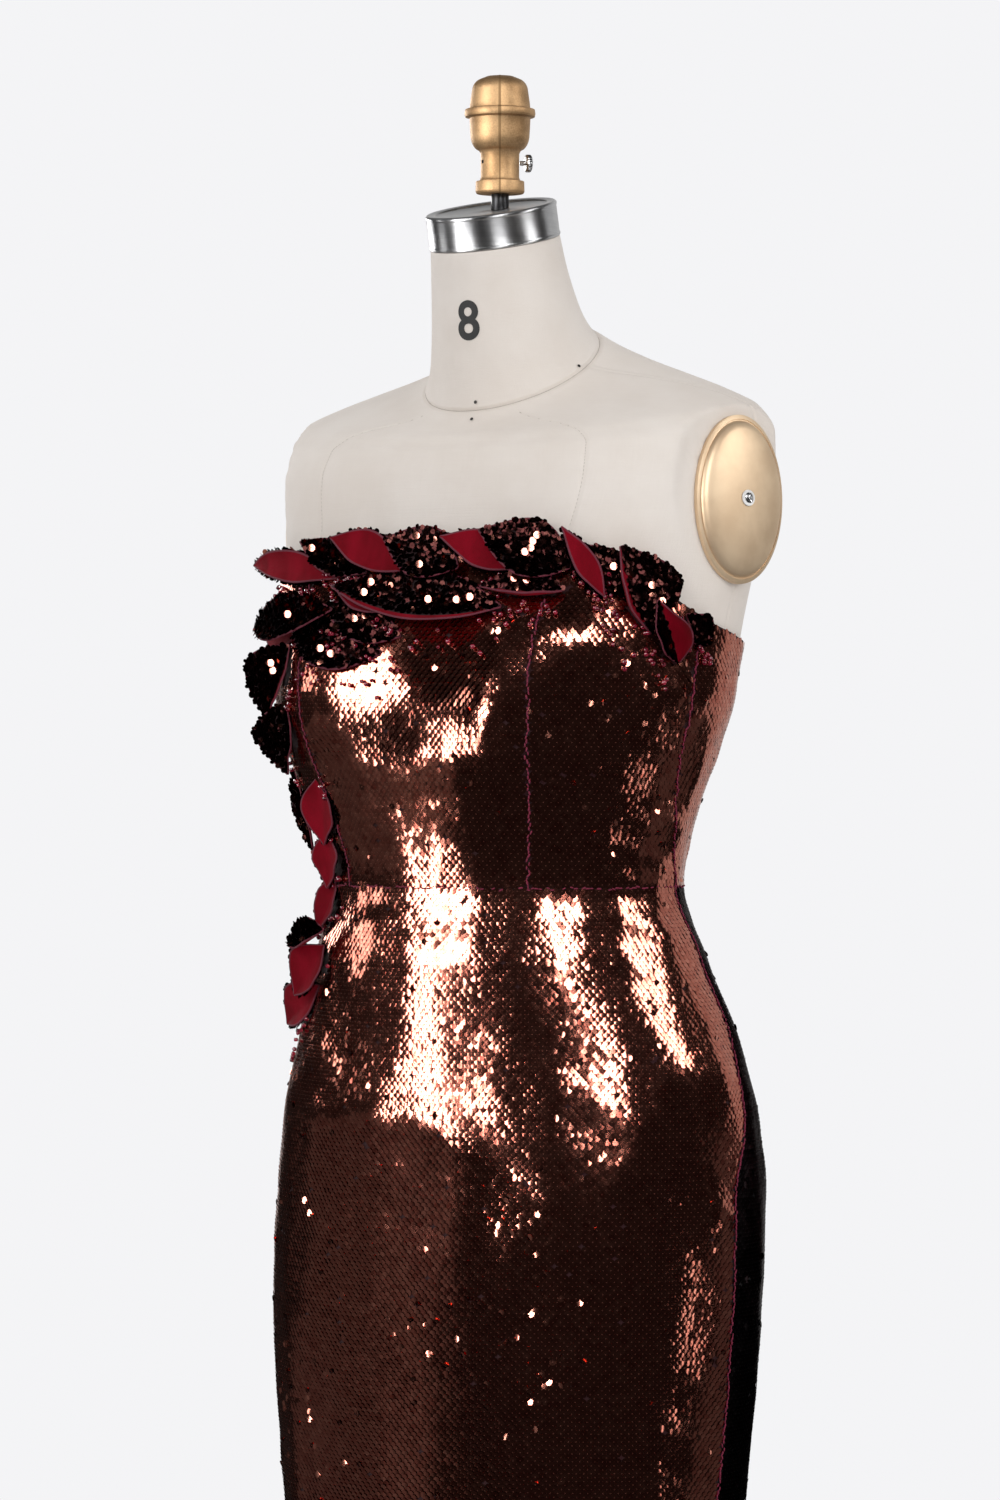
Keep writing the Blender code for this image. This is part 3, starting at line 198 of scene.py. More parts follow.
@dataclass(frozen=True)
class GownSurface:
    """The body's measured surface, and the cloth and cover that lie on it."""

    bust_apex_x: float = 0.083
    bust_apex_height: float = 1.192
    bust_rise: float = 0.015
    bust_spread: float = 0.052
    bust_tall: float = 0.055
    knee_height: float = 0.45
    hem_height: float = 0.012
    flute_count: int = 12
    flute_depth: float = 0.03
    flute_strengths: tuple[float, ...] = (1.0, 0.86, 1.1, 0.92, 1.04, 0.84, 1.08, 0.95, 0.88, 1.12, 0.9, 1.02)
    metres_per_degree: float = 0.0029     # round the hips, for measuring creases
    deepest_groove: float = 0.001        # the form lies close behind the cloth
    turn_step: float = 0.25               # degrees, for measuring slopes
    rise_step: float = 0.0008

    @staticmethod
    def curve(knots: Sequence[float], values: Sequence[float], places: np.ndarray) -> np.ndarray:
        """Read a smooth curve that never overshoots its knots.

        Args:
            knots: Where the values are given, rising.
            values: The values there.
            places: Where to read the curve.

        Returns:
            The curve's value at each place.
        """
        knots = np.asarray(knots, dtype=float)
        values = np.asarray(values, dtype=float)
        places = np.clip(np.asarray(places, dtype=float), knots[0], knots[-1])
        steps = np.diff(knots)
        slopes = np.diff(values) / steps
        tangents = np.zeros_like(values)
        tangents[0], tangents[-1] = slopes[0], slopes[-1]
        for index in range(1, len(values) - 1):
            before, after = slopes[index - 1], slopes[index]
            if before * after > 0.0:
                first = 2.0 * steps[index] + steps[index - 1]
                second = steps[index] + 2.0 * steps[index - 1]
                tangents[index] = (first + second) / (first / before + second / after)
        cell = np.clip(np.searchsorted(knots, places, side="right") - 1, 0, len(steps) - 1)
        along = (places - knots[cell]) / steps[cell]
        square = along * along
        cube = square * along
        return (
            (2.0 * cube - 3.0 * square + 1.0) * values[cell]
            + (cube - 2.0 * square + along) * steps[cell] * tangents[cell]
            + (3.0 * square - 2.0 * cube) * values[cell + 1]
            + (cube - square) * steps[cell] * tangents[cell + 1]
        )

    def column(self, name: str, height: np.ndarray) -> np.ndarray:
        """Read one column of the section table at any height."""
        return self.curve([row.height for row in SECTIONS], [getattr(row, name) for row in SECTIONS], height)

    def seam_angle(self, seam: Seam, height: np.ndarray) -> np.ndarray:
        """Angle of an upright seam at a height."""
        line = SEAM_LINES[seam]
        return self.curve([row.height for row in line], [row.angle for row in line], height)

    def top_edge(self, angle: np.ndarray) -> np.ndarray:
        """Height of the bodice's top edge at an angle."""
        return self.curve([row.angle for row in TOP_EDGE], [row.height for row in TOP_EDGE], np.abs(angle))

    def flute_wave(self, angle: np.ndarray) -> np.ndarray:
        """Uneven wave of the flounce, from -1 to about 1."""
        turns = np.asarray(angle, dtype=float) / 360.0 * self.flute_count + 0.5
        index = np.floor(turns).astype(int)
        share = turns - index
        blend = share * share * (3.0 - 2.0 * share)
        strengths = np.asarray(self.flute_strengths)
        first = strengths[index % self.flute_count]
        second = strengths[(index + 1) % self.flute_count]
        return (first * (1.0 - blend) + second * blend) * np.cos(math.tau * (turns - 0.5))

    def point(self, angle: np.ndarray, height: np.ndarray) -> np.ndarray:
        """Point of the smooth body.

        Args:
            angle: Degrees round the body.
            height: Height on the stand's axis.

        Returns:
            The points, with a last axis of three.
        """
        angle, height = np.broadcast_arrays(np.asarray(angle, dtype=float), np.asarray(height, dtype=float))
        turn = np.radians(angle)
        widest = self.column("widest", height)
        power = 2.0 / self.column("squareness", height)
        tilt = np.tan(np.radians(self.column("tilt", height)))
        side = np.sin(turn)
        ahead = np.cos(turn)
        across = self.column("half_width", height) * np.sign(side) * np.abs(side) ** power
        depth = np.where(ahead > 0.0, self.column("front", height) + widest,
                         self.column("back", height) - widest)
        along = widest - depth * np.sign(ahead) * np.abs(ahead) ** power
        bust = np.exp(
            -(((np.abs(across) - self.bust_apex_x) / self.bust_spread) ** 2)
            - ((height - self.bust_apex_height) / self.bust_tall) ** 2
        )
        along = along - self.bust_rise * bust * np.clip(ahead * 2.5, 0.0, 1.0)
        drop = np.clip((self.knee_height - height) / (self.knee_height - self.hem_height), 0.0, 1.0)
        flute = self.flute_depth * drop ** 1.25 * self.flute_wave(angle)
        across = across + flute * side
        along = along - flute * ahead
        sag = self.column("dip", height) * np.clip(ahead, 0.0, 1.0) ** 2
        return np.stack([across, along, height + tilt * along - sag], axis=-1)

    def normal_of(self, place: Callable[[np.ndarray, np.ndarray], np.ndarray], angle: np.ndarray,
                  height: np.ndarray) -> np.ndarray:
        """Outward normal of any surface given by angle and height.

        Args:
            place: Function that gives the surface's points.
            angle: Degrees round the body.
            height: Height on the stand's axis.

        Returns:
            Unit normals.
        """
        round_body = place(angle + self.turn_step, height) - place(angle - self.turn_step, height)
        up_body = place(angle, height + self.rise_step) - place(angle, height - self.rise_step)
        normal = np.cross(round_body, up_body)
        return normal / np.linalg.norm(normal, axis=-1, keepdims=True)

    def normal(self, angle: np.ndarray, height: np.ndarray) -> np.ndarray:
        """Outward normal of the smooth body."""
        return self.normal_of(self.point, angle, height)

    def relief(self, angle: np.ndarray, height: np.ndarray) -> np.ndarray:
        """How far the cloth stands off the smooth body, from its creases and slow waves."""
        across = np.asarray(angle, dtype=float) * self.metres_per_degree
        rise = np.zeros(np.broadcast(across, height).shape)
        for wave in UNDULATIONS:
            phase = across / wave.round_length + height / wave.up_length
            rise += wave.rise * np.sin(math.tau * phase + wave.start)
        for crease in CREASES:
            start = np.array((crease.angle_from * self.metres_per_degree, crease.height_from))
            run = np.array((crease.angle_to * self.metres_per_degree, crease.height_to)) - start
            away_x = across - start[0]
            away_y = height - start[1]
            share = np.clip((away_x * run[0] + away_y * run[1]) / (run @ run), 0.0, 1.0)
            distance = np.hypot(away_x - share * run[0], away_y - share * run[1])
            swell = 0.55 + 0.45 * np.sin(math.pi * share)
            rise += crease.rise * swell * np.exp(-((distance / crease.breadth) ** 2))
        return np.maximum(rise, -self.deepest_groove)

    def cloth(self, angle: np.ndarray, height: np.ndarray) -> np.ndarray:
        """Point of the gown's outer face, with its creases."""
        angle, height = np.broadcast_arrays(np.asarray(angle, dtype=float), np.asarray(height, dtype=float))
        return self.point(angle, height) + self.normal(angle, height) * self.relief(angle, height)[..., None]

    def laid(self, angle: np.ndarray, height: np.ndarray, out: float) -> tuple[np.ndarray, np.ndarray]:
        """Points a distance out from the gown's outer face, and the normals there."""
        normal = self.normal_of(self.cloth, angle, height)
        return self.cloth(angle, height) + normal * out, normal


SURFACE = GownSurface()


# ---- materials
class Signal:
    """A socket of a material that takes part in Python expressions."""

    def __init__(self, tree: bpy.types.NodeTree, socket: bpy.types.NodeSocket) -> None:
        """Wrap one output socket."""
        self.tree = tree
        self.socket = socket

    def _maths(self, operation: str, *values: "Signal | float") -> "Signal":
        """Add one Math node.

        Args:
            operation: The node's operation.
            values: Its inputs, signals or numbers.

        Returns:
            The node's result.
        """
        node = self.tree.nodes.new("ShaderNodeMath")
        node.operation = operation
        for socket, value in zip(node.inputs, values):
            if isinstance(value, Signal):
                self.tree.links.new(value.socket, socket)
            else:
                socket.default_value = value
        return Signal(self.tree, node.outputs[0])

    def __add__(self, other: "Signal | float") -> "Signal":
        """Sum of two values."""
        return self._maths("ADD", self, other)

    def __sub__(self, other: "Signal | float") -> "Signal":
        """Difference of two values."""
        return self._maths("SUBTRACT", self, other)

    def __rsub__(self, other: float) -> "Signal":
        """Difference from a number in front."""
        return self._maths("SUBTRACT", other, self)

    def __mul__(self, other: "Signal | float") -> "Signal":
        """Product of two values."""
        return self._maths("MULTIPLY", self, other)

    __radd__, __rmul__ = __add__, __mul__

    def sine(self) -> "Signal":
        """Sine of the value."""
        return self._maths("SINE", self)


class Paintbox:
    """Node tree of one material, round its Principled shader."""

    def __init__(self, name: str) -> None:
        """Start a material with only its shader.

        Args:
            name: The material's name.
        """
        self.material = bpy.data.materials.new(name)
        self.material.use_nodes = True
        self.tree = self.material.node_tree
        self.shader = self.tree.nodes["Principled BSDF"]

    def node(self, kind: str, settings: dict[str, Any] | None = None,
             inputs: dict[str | int, Any] | None = None, output: str | int = 0) -> Signal:
        """Add a node.

        Args:
            kind: The node's type.
            settings: Its properties, set first.
            inputs: Socket values or signals by name or number.
            output: The output socket that is wanted.

        Returns:
            That output.
        """
        made = self.tree.nodes.new(kind)
        for key, value in (settings or {}).items():
            setattr(made, key, value)
        for key, value in (inputs or {}).items():
            self.plug(made.inputs[key], value)
        return Signal(self.tree, made.outputs[output])

    def plug(self, socket: bpy.types.NodeSocket, value: Any) -> None:
        """Link a signal to a socket, or set the socket's own value."""
        if isinstance(value, Signal):
            self.tree.links.new(value.socket, socket)
        else:
            socket.default_value = value

    def dress(self, **sockets: Any) -> bpy.types.Material:
        """Set the shader's sockets.

        Args:
            sockets: Values or signals by socket name, with _ for a space.

        Returns:
            The finished material.
        """
        for key, value in sockets.items():
            colour = (*value, 1.0) if isinstance(value, tuple) else value
            self.plug(self.shader.inputs[key.replace("_", " ")], colour)
        return self.material

    def object_place(self) -> Signal:
        """Coordinates of the piece itself."""
        return self.node("ShaderNodeTexCoord", output="Object")

    def map_place(self, name: str) -> Signal:
        """Coordinates of one of the piece's own UV maps."""
        return self.node("ShaderNodeUVMap", {"uv_map": name})

    def tone(self) -> Signal:
        """The piece's own tone attribute."""
        return self.node("ShaderNodeAttribute", {"attribute_name": TONE}, output="Fac")

    def turned_place(self, place: Signal, scale: Colour, turn: Colour = (0.0, 0.0, 0.0)) -> Signal:
        """Coordinates scaled and turned by a Mapping node."""
        return self.node("ShaderNodeMapping", {"vector_type": "POINT"},
                         {"Vector": place, "Rotation": turn, "Scale": scale})

    def noise(self, place: Signal, scale: float, detail: float = 3.0, roughness: float = 0.55) -> Signal:
        """Noise from 0 to 1."""
        return self.node("ShaderNodeTexNoise", None,
                         {"Vector": place, "Scale": scale, "Detail": detail, "Roughness": roughness}, "Fac")

    def mix(self, factor: Signal | float, first: Signal | Colour, second: Signal | Colour) -> Signal:
        """Blend of two colours."""
        picks = [value if isinstance(value, Signal) else (*value, 1.0) for value in (first, second)]
        return self.node("ShaderNodeMix", {"data_type": "RGBA"}, {0: factor, 6: picks[0], 7: picks[1]}, 2)

    def ease(self, value: Signal, low: float, high: float, to_low: float = 0.0,
             to_high: float = 1.0) -> Signal:
        """Smooth step of a value between two edges."""
        return self.node("ShaderNodeMapRange", {"interpolation_type": "SMOOTHSTEP"},
                         {"Value": value, "From Min": low, "From Max": high, "To Min": to_low,
                          "To Max": to_high})

    def split(self, place: Signal, axis: str) -> Signal:
        """One part, X, Y or Z, of a vector."""
        return self.node("ShaderNodeSeparateXYZ", None, {"Vector": place}, axis)

    def bump(self, height: Signal, distance: float, strength: float = 1.0) -> Signal:
        """Normal from a height signal."""
        return self.node("ShaderNodeBump", None,
                         {"Height": height, "Distance": distance, "Strength": strength}, "Normal")


@dataclass(frozen=True)
class SequinFinish:
    """Foil sequin with its sewing thread at the centre."""

    name: str
    deep: Colour
    bright: Colour
    thread: Colour
    roughness: float = 0.09
    thread_share: float = 0.1
    edge: Colour = (1.0, 0.9, 0.85)      # how far the foil brightens at a glancing angle

    def build(self) -> bpy.types.Material:
        """Make the material."""
        box = Paintbox(self.name)
        centred = box.node("ShaderNodeVectorMath", {"operation": "SUBTRACT"},
                           {0: box.map_place(DISC_MAP), 1: (0.5, 0.5, 0.0)})
        radius = box.node("ShaderNodeVectorMath", {"operation": "LENGTH"}, {0: centred}, "Value") * 2.0
        dot = box.ease(radius, self.thread_share, self.thread_share + 0.07, 1.0, 0.0)
        foil = box.mix(box.tone(), self.deep, self.bright)
        scuff = box.noise(box.object_place(), 900.0, 2.0)
        return box.dress(
            Base_Color=box.mix(dot, foil, self.thread),
            Metallic=1.0 - dot,
            Specular_IOR_Level=0.06,
            Roughness=self.roughness + 0.07 * scuff + dot * 0.45,
            Specular_Tint=self.edge,
        )


@dataclass(frozen=True)
class KnitFinish:
    """Fine knitted ground cloth under the sequins."""

    name: str
    dark: Colour
    light: Colour
    stitch: float = 0.0011
    sheen: float = 0.02

    def build(self) -> bpy.types.Material:
        """Make the material."""
        box = Paintbox(self.name)
        place = box.map_place(CLOTH_MAP)
        across = (box.split(place, "X") * (math.tau / self.stitch)).sine()
        along = (box.split(place, "Y") * (math.tau / self.stitch)).sine()
        loop = (across * along) * 0.5 + 0.5
        patch = box.noise(box.object_place(), 60.0)
        return box.dress(
            Base_Color=box.mix(loop * 0.6 + patch * 0.4, self.dark, self.light),
            Roughness=0.78 + 0.12 * patch,
            Specular_IOR_Level=0.2,
            Sheen_Weight=self.sheen,
            Normal=box.bump(loop, 0.0003, 0.6),
        )


@dataclass(frozen=True)
class SuedeFinish:
    """Short-napped suede side of a leaf."""

    name: str
    deep: Colour
    light: Colour
    sheen: float = 0.01

    def build(self) -> bpy.types.Material:
        """Make the material."""
        box = Paintbox(self.name)
        place = box.object_place()
        nap = box.noise(place, 2600.0, 2.0)
        stroke = box.noise(box.turned_place(place, (60.0, 60.0, 25.0)), 1.0, 3.0)
        return box.dress(
            Base_Color=box.mix(box.ease(stroke * 0.7 + nap * 0.3, 0.32, 0.68), self.deep, self.light),
            Roughness=0.86 + 0.1 * nap,
            Specular_IOR_Level=0.05,
            Sheen_Weight=self.sheen,
            Normal=box.bump(nap + stroke * 1.5, 0.00025, 0.55),
        )


@dataclass(frozen=True)
class ThreadFinish:
    """Twisted sewing thread, also where it covers a raw edge."""

    name: str
    dark: Colour
    light: Colour
    pitch: float = 0.0011

    def build(self) -> bpy.types.Material:
        """Make the material."""
        box = Paintbox(self.name)
        place = box.object_place()
        slant = box.split(place, "X") + box.split(place, "Y") * 0.6 + box.split(place, "Z")
        twist = (slant * (math.tau / self.pitch)).sine() * 0.5 + 0.5
        fuzz = box.noise(place, 1400.0, 2.0)
        return box.dress(
            Base_Color=box.mix(twist * 0.6 + fuzz * 0.4, self.dark, self.light),
            Roughness=0.66 + 0.2 * fuzz,
            Specular_IOR_Level=0.25,
            Normal=box.bump(twist + fuzz * 0.5, 0.0003, 0.6),
        )


@dataclass(frozen=True)
class BeadFinish:
    """Small glass bead."""

    name: str
    deep: Colour
    bright: Colour

    def build(self) -> bpy.types.Material:
        """Make the material."""
        box = Paintbox(self.name)
        swirl = box.noise(box.object_place(), 700.0, 1.0)
        return box.dress(
            Base_Color=box.mix(box.tone() * 0.7 + swirl * 0.3, self.deep, self.bright),
            Roughness=0.08 + 0.08 * swirl,
            Coat_Weight=1.0,
            Coat_Roughness=0.05,
        )


@dataclass(frozen=True)
class LinenFinish:
    """Off-white woven cover, pulled tight, with slubs and a little handling dirt."""

    name: str
    warm: Colour
    pale: Colour
    thread_pitch: float = 0.00075

    def build(self) -> bpy.types.Material:
        """Make the material."""
        box = Paintbox(self.name)
        weave = box.map_place(CLOTH_MAP)
        place = box.object_place()
        turns = math.tau / self.thread_pitch
        warp = (box.split(weave, "X") * turns).sine()
        weft = (box.split(weave, "Y") * turns).sine()
        cross = (warp * weft) * 0.5 + 0.5
        slub_up = box.noise(box.turned_place(weave, (900.0, 60.0, 1.0)), 1.0, 2.0)
        slub_across = box.noise(box.turned_place(weave, (60.0, 900.0, 1.0)), 1.0, 2.0)
        cloud = box.noise(place, 14.0, 4.0)
        shade = box.ease(cloud, 0.3, 0.75) * 0.55 + slub_up * 0.2 + slub_across * 0.2 + cross * 0.08
        return box.dress(
            Base_Color=box.mix(shade, self.warm, self.pale),
            Roughness=0.84 + 0.1 * slub_up,
            Sheen_Weight=0.12,
            Normal=box.bump(cross * 0.6 + slub_up * 0.9 + slub_across * 0.9 + cloud * 2.0, 0.00022, 0.5),
        )


@dataclass(frozen=True)
class MetalFinish:
    """Cast, brushed or blacked metal."""

    name: str
    dark: Colour
    light: Colour
    roughness: float
    metallic: float = 1.0
    grain: Colour = (60.0, 60.0, 60.0)     # a large value makes fine brush lines across that axis
    turn: Colour = (0.0, 0.0, 0.0)
    relief: float = 0.00008
    spread: float = 0.16
    brushed_round: float = 0.0              # how far brushing round the axis draws highlights upright

    def build(self) -> bpy.types.Material:
        """Make the material."""
        box = Paintbox(self.name)
        place = box.object_place()
        brush = box.noise(box.turned_place(place, self.grain, self.turn), 1.0, 4.0)
        cloud = box.noise(place, 45.0, 3.0)
        wear = box.ease(cloud * 0.6 + brush * 0.4, 0.34, 0.66)
        return box.dress(
            Base_Color=box.mix(wear, self.dark, self.light),
            Metallic=self.metallic,
            Roughness=self.roughness + self.spread * (brush - 0.5) + 0.05 * cloud,
            Anisotropic=self.brushed_round,
            Anisotropic_Rotation=0.25 if self.brushed_round else 0.0,
            Normal=box.bump(brush, self.relief, 0.6),
        )


@dataclass(frozen=True)
class EnamelFinish:
    """Sprayed enamel with a fine orange peel."""

    name: str
    dark: Colour
    light: Colour
    roughness: float = 0.36

    def build(self) -> bpy.types.Material:
        """Make the material."""
        box = Paintbox(self.name)
        place = box.object_place()
        peel = box.noise(place, 520.0, 2.0)
        dust = box.noise(place, 9.0, 4.0)
        return box.dress(
            Base_Color=box.mix(box.ease(dust, 0.35, 0.7), self.dark, self.light),
            Roughness=self.roughness + 0.14 * dust,
            Coat_Weight=0.25,
            Normal=box.bump(peel, 0.00012, 0.4),
        )


@dataclass(frozen=True)
class FloorFinish:
    """Plain pale studio floor."""

    name: str
    tone_low: Colour
    tone_high: Colour

    def build(self) -> bpy.types.Material:
        """Make the material."""
        box = Paintbox(self.name)
        cloud = box.noise(box.object_place(), 1.6, 3.0)
        return box.dress(Base_Color=box.mix(cloud, self.tone_low, self.tone_high), Roughness=0.72)


class Wardrobe:
    """Every finish of the object, made once."""

    def __init__(self) -> None:
        """Build all the materials."""
        self.copper = SequinFinish("copper_sequin_foil", (0.37, 0.09, 0.062), (0.72, 0.28, 0.2),
                                   (0.008, 0.003, 0.003)).build()
        self.night = SequinFinish("near_black_sequin_foil", (0.012, 0.009, 0.01), (0.06, 0.048, 0.05),
                                  (0.006, 0.004, 0.005), roughness=0.22, edge=(0.3, 0.28, 0.28)).build()
        # The leaf foil is near-black; its bright end is given only to sequins that stand up, as painted
        # glints.
        self.leaf_foil = SequinFinish("leaf_sequin_foil", (0.014, 0.004, 0.004), (0.5, 0.19, 0.14),
                                      (0.006, 0.002, 0.003), roughness=0.13, edge=(0.16, 0.08, 0.07)).build()
        self.ground = KnitFinish("burgundy_ground_knit", (0.016, 0.0035, 0.0045), (0.05, 0.01, 0.012)).build()
        self.night_ground = KnitFinish("black_ground_knit", (0.004, 0.003, 0.0035),
                                       (0.013, 0.01, 0.011)).build()
        self.lining = KnitFinish("lining_tricot", (0.03, 0.006, 0.009), (0.055, 0.012, 0.016), 0.0008,
                                 0.4).build()
        self.suede = SuedeFinish("crimson_leaf_suede", (0.13, 0.0006, 0.005), (0.21, 0.0018, 0.0105)).build()
        self.leaf_ground = KnitFinish("leaf_ground_knit", (0.01, 0.002, 0.003), (0.03, 0.005, 0.007)).build()
        self.overlock = ThreadFinish("rose_edge_thread", (0.09, 0.008, 0.017), (0.2, 0.028, 0.052)).build()
        self.thread = ThreadFinish("burgundy_seam_thread", (0.085, 0.006, 0.018), (0.3, 0.024, 0.07)).build()
        self.bead = BeadFinish("dark_red_glass_bead", (0.05, 0.002, 0.006), (0.36, 0.022, 0.05)).build()
        self.linen = LinenFinish("off_white_linen", (0.655, 0.585, 0.52), (0.755, 0.7, 0.645)).build()
        self.linen_seam = ThreadFinish("linen_seam_thread", (0.34, 0.29, 0.25), (0.62, 0.56, 0.5),
                                       0.0009).build()
        self.gold = MetalFinish("satin_gold_lacquer", (0.66, 0.48, 0.31), (0.76, 0.58, 0.39), 0.44,
                                metallic=0.66,
                                grain=(40.0, 40.0, 40.0), spread=0.05, relief=0.00002).build()
        self.cast_gold = MetalFinish("cast_gold", (0.35, 0.205, 0.095), (0.6, 0.385, 0.2), 0.5, metallic=0.84,
                                     grain=(900.0, 900.0, 900.0), relief=0.00016).build()
        self.cast_line = MetalFinish("cast_gold_joint", (0.2, 0.115, 0.05), (0.34, 0.21, 0.1), 0.6,
                                     metallic=0.8).build()
        self.steel = MetalFinish("brushed_steel", (0.5, 0.5, 0.51), (0.7, 0.7, 0.7), 0.34,
                                 grain=(8.0, 8.0, 2600.0), turn=(math.radians(-13.5), 0.0, 0.0),
                                 relief=0.00006, brushed_round=0.92).build()
        # Lighter steel for the band's upward faces: partly their own plain finish without brush lines, partly
        # painted light that brightens the dish.
        self.plate_steel_painted_light = MetalFinish("plain_steel_painted_light", (0.74, 0.74, 0.75), (0.84, 0.84, 0.84), 0.34,
                                       grain=(300.0, 300.0, 300.0), relief=0.00001).build()
        self.screw_steel = MetalFinish("turned_steel", (0.4, 0.4, 0.41), (0.7, 0.7, 0.7), 0.26,
                                       grain=(900.0, 900.0, 900.0)).build()
        self.black_steel = MetalFinish("black_oxide", (0.01, 0.01, 0.011), (0.03, 0.03, 0.032), 0.3,
                                       metallic=0.7, grain=(40.0, 40.0, 700.0)).build()
        self.enamel = EnamelFinish("grey_enamel", (0.13, 0.13, 0.135), (0.19, 0.19, 0.196)).build()
        self.ink = MetalFinish("printed_black", (0.006, 0.006, 0.006), (0.022, 0.02, 0.02), 0.75,
                               metallic=0.0, grain=(900.0, 900.0, 900.0)).build()
        # Painted shade: a near-black colour for the inside of the pin holes and the finial's screw hole,
        # standing in for the shade inside them.
        self.hole_painted_shade = MetalFinish("painted_hole_shade", (0.01, 0.008, 0.007), (0.035, 0.03, 0.026), 0.7,
                                    metallic=0.0).build()
        self.zip_tape = KnitFinish("zip_tape", (0.006, 0.005, 0.006), (0.02, 0.016, 0.018), 0.0008,
                                   0.1).build()
        self.washer = MetalFinish("white_washer", (0.62, 0.61, 0.59), (0.82, 0.81, 0.79), 0.5,
                                  metallic=0.0).build()


# ---- the bench
class Bench:
    """Object and edit mode operations on the piece that is being shaped."""

    @staticmethod
    def clear() -> None:
        """Deselect everything."""
        if bpy.context.object is not None and bpy.context.object.mode != "OBJECT":
            bpy.ops.object.mode_set(mode="OBJECT")
        bpy.ops.object.select_all(action="DESELECT")

    @classmethod
    def take(cls, piece: bpy.types.Object) -> bpy.types.Object:
        """Select one object alone and make it active."""
        cls.clear()
        piece.select_set(True)
        bpy.context.view_layer.objects.active = piece
        return piece

    @staticmethod
    def edit(mode: str = "VERT", choice: str = "") -> None:
        """Enter edit mode, in one selection mode, and perhaps select or deselect everything."""
        bpy.ops.object.mode_set(mode="EDIT")
        bpy.ops.mesh.select_mode(type=mode)
        if choice:
            bpy.ops.mesh.select_all(action=choice)

    @staticmethod
    def done() -> bpy.types.Object:
        """Leave edit mode."""
        bpy.ops.object.mode_set(mode="OBJECT")
        return bpy.context.object

    @staticmethod
    def pick(kind: str, test: Callable[[Vector], bool]) -> int:
        """Select elements of the piece in edit mode by their place.

        Args:
            kind: "verts", "edges" or "faces".
            test: Whether an element with this centre is wanted.

        Returns:
            How many were selected.
        """
        mesh = bpy.context.object.data
        bpy.ops.mesh.select_mode(type={"verts": "VERT", "edges": "EDGE", "faces": "FACE"}[kind])
        bpy.ops.mesh.select_all(action="DESELECT")
        shape = bmesh.from_edit_mesh(mesh)
        count = 0
        for element in getattr(shape, kind):
            if kind == "verts":
                centre = element.co
            elif kind == "edges":
                centre = (element.verts[0].co + element.verts[1].co) / 2.0
            else:
                centre = element.calc_center_median()
            if test(centre):
                element.select_set(True)
                count += 1
        shape.select_flush_mode()
        bmesh.update_edit_mesh(mesh)
        return count

    @staticmethod
    def extrude(across: float, along: float, up: float) -> None:
        """Extrude the selection by a step."""
        bpy.ops.mesh.extrude_region_move(TRANSFORM_OT_translate={"value": (across, along, up)})

    @staticmethod
    def scale(across: float, along: float, up: float) -> None:
        """Scale the selection about its middle."""
        bpy.ops.transform.resize(value=(across, along, up))

    @classmethod
    def release(cls) -> Model:
        """Leave edit mode, and turn the piece into points and faces for copying."""
        mesh = cls.done().data
        points = np.array([vertex.co for vertex in mesh.vertices])
        faces = [list(face.vertices) for face in mesh.polygons]
        bpy.data.meshes.remove(mesh)
        return points, faces

    @staticmethod
    def shade(degrees: float) -> None:
        """Shade the active piece smooth, but for edges sharper than an angle."""
        bpy.ops.object.shade_smooth_by_angle(angle=math.radians(degrees))

    @staticmethod
    def weld(distance: float = 0.000005) -> None:
        """Merge doubles and point every face outwards, in edit mode."""
        bpy.ops.mesh.select_all(action="SELECT")
        bpy.ops.mesh.remove_doubles(threshold=distance)
        bpy.ops.mesh.normals_make_consistent(inside=False)

    @classmethod
    def settle(cls, piece: bpy.types.Object, name: str, place: Matrix | None = None) -> bpy.types.Object:
        """Name a piece and put its place into its mesh.

        Args:
            piece: The object.
            name: Its new name.
            place: Where its mesh goes, after its own transform.

        Returns:
            The object, at the origin.
        """
        cls.clear()
        matrix = piece.matrix_world.copy()
        if place is not None:
            matrix = place @ matrix
        piece.data.transform(matrix)
        piece.matrix_world = Matrix.Identity(4)
        piece.name = name
        piece.data.name = name
        return piece

    @classmethod
    def soften(cls, piece: bpy.types.Object, width: float, segments: int = 2, angle: float = 32.0) -> None:
        """Round a piece's sharp edges with an applied Bevel, and shade it."""
        cls.take(piece)
        bevel = piece.modifiers.new("soften", "BEVEL")
        bevel.width = width
        bevel.segments = segments
        bevel.limit_method = "ANGLE"
        bevel.angle_limit = math.radians(angle)
        bpy.ops.object.modifier_apply(modifier=bevel.name)
        cls.shade(angle)

    @classmethod
    def turn(cls, profile: Sequence[tuple[float, float]], steps: int = 64) -> bpy.types.Object:
        """Turn a profile about Z, as on a lathe.

        Args:
            profile: Points of (radius, height), from the bottom axis point to the top one.
            steps: Sides of the turned piece.

        Returns:
            A closed piece, not yet named.
        """
        cls.clear()
        bpy.ops.mesh.primitive_plane_add(size=0.001, location=(0.0, 0.0, 0.0))
        cls.edit("VERT", "SELECT")
        bpy.ops.mesh.merge(type="CENTER")
        bpy.ops.mesh.select_all(action="SELECT")
        bpy.ops.transform.translate(value=(profile[0][0], 0.0, profile[0][1]))
        for before, after in zip(profile, profile[1:]):
            cls.extrude(after[0] - before[0], 0.0, after[1] - before[1])
        bpy.ops.mesh.select_all(action="SELECT")
        bpy.ops.mesh.spin(steps=steps, angle=math.tau, center=(0.0, 0.0, 0.0), axis=(0.0, 0.0, 1.0))
        cls.weld()
        return cls.done()


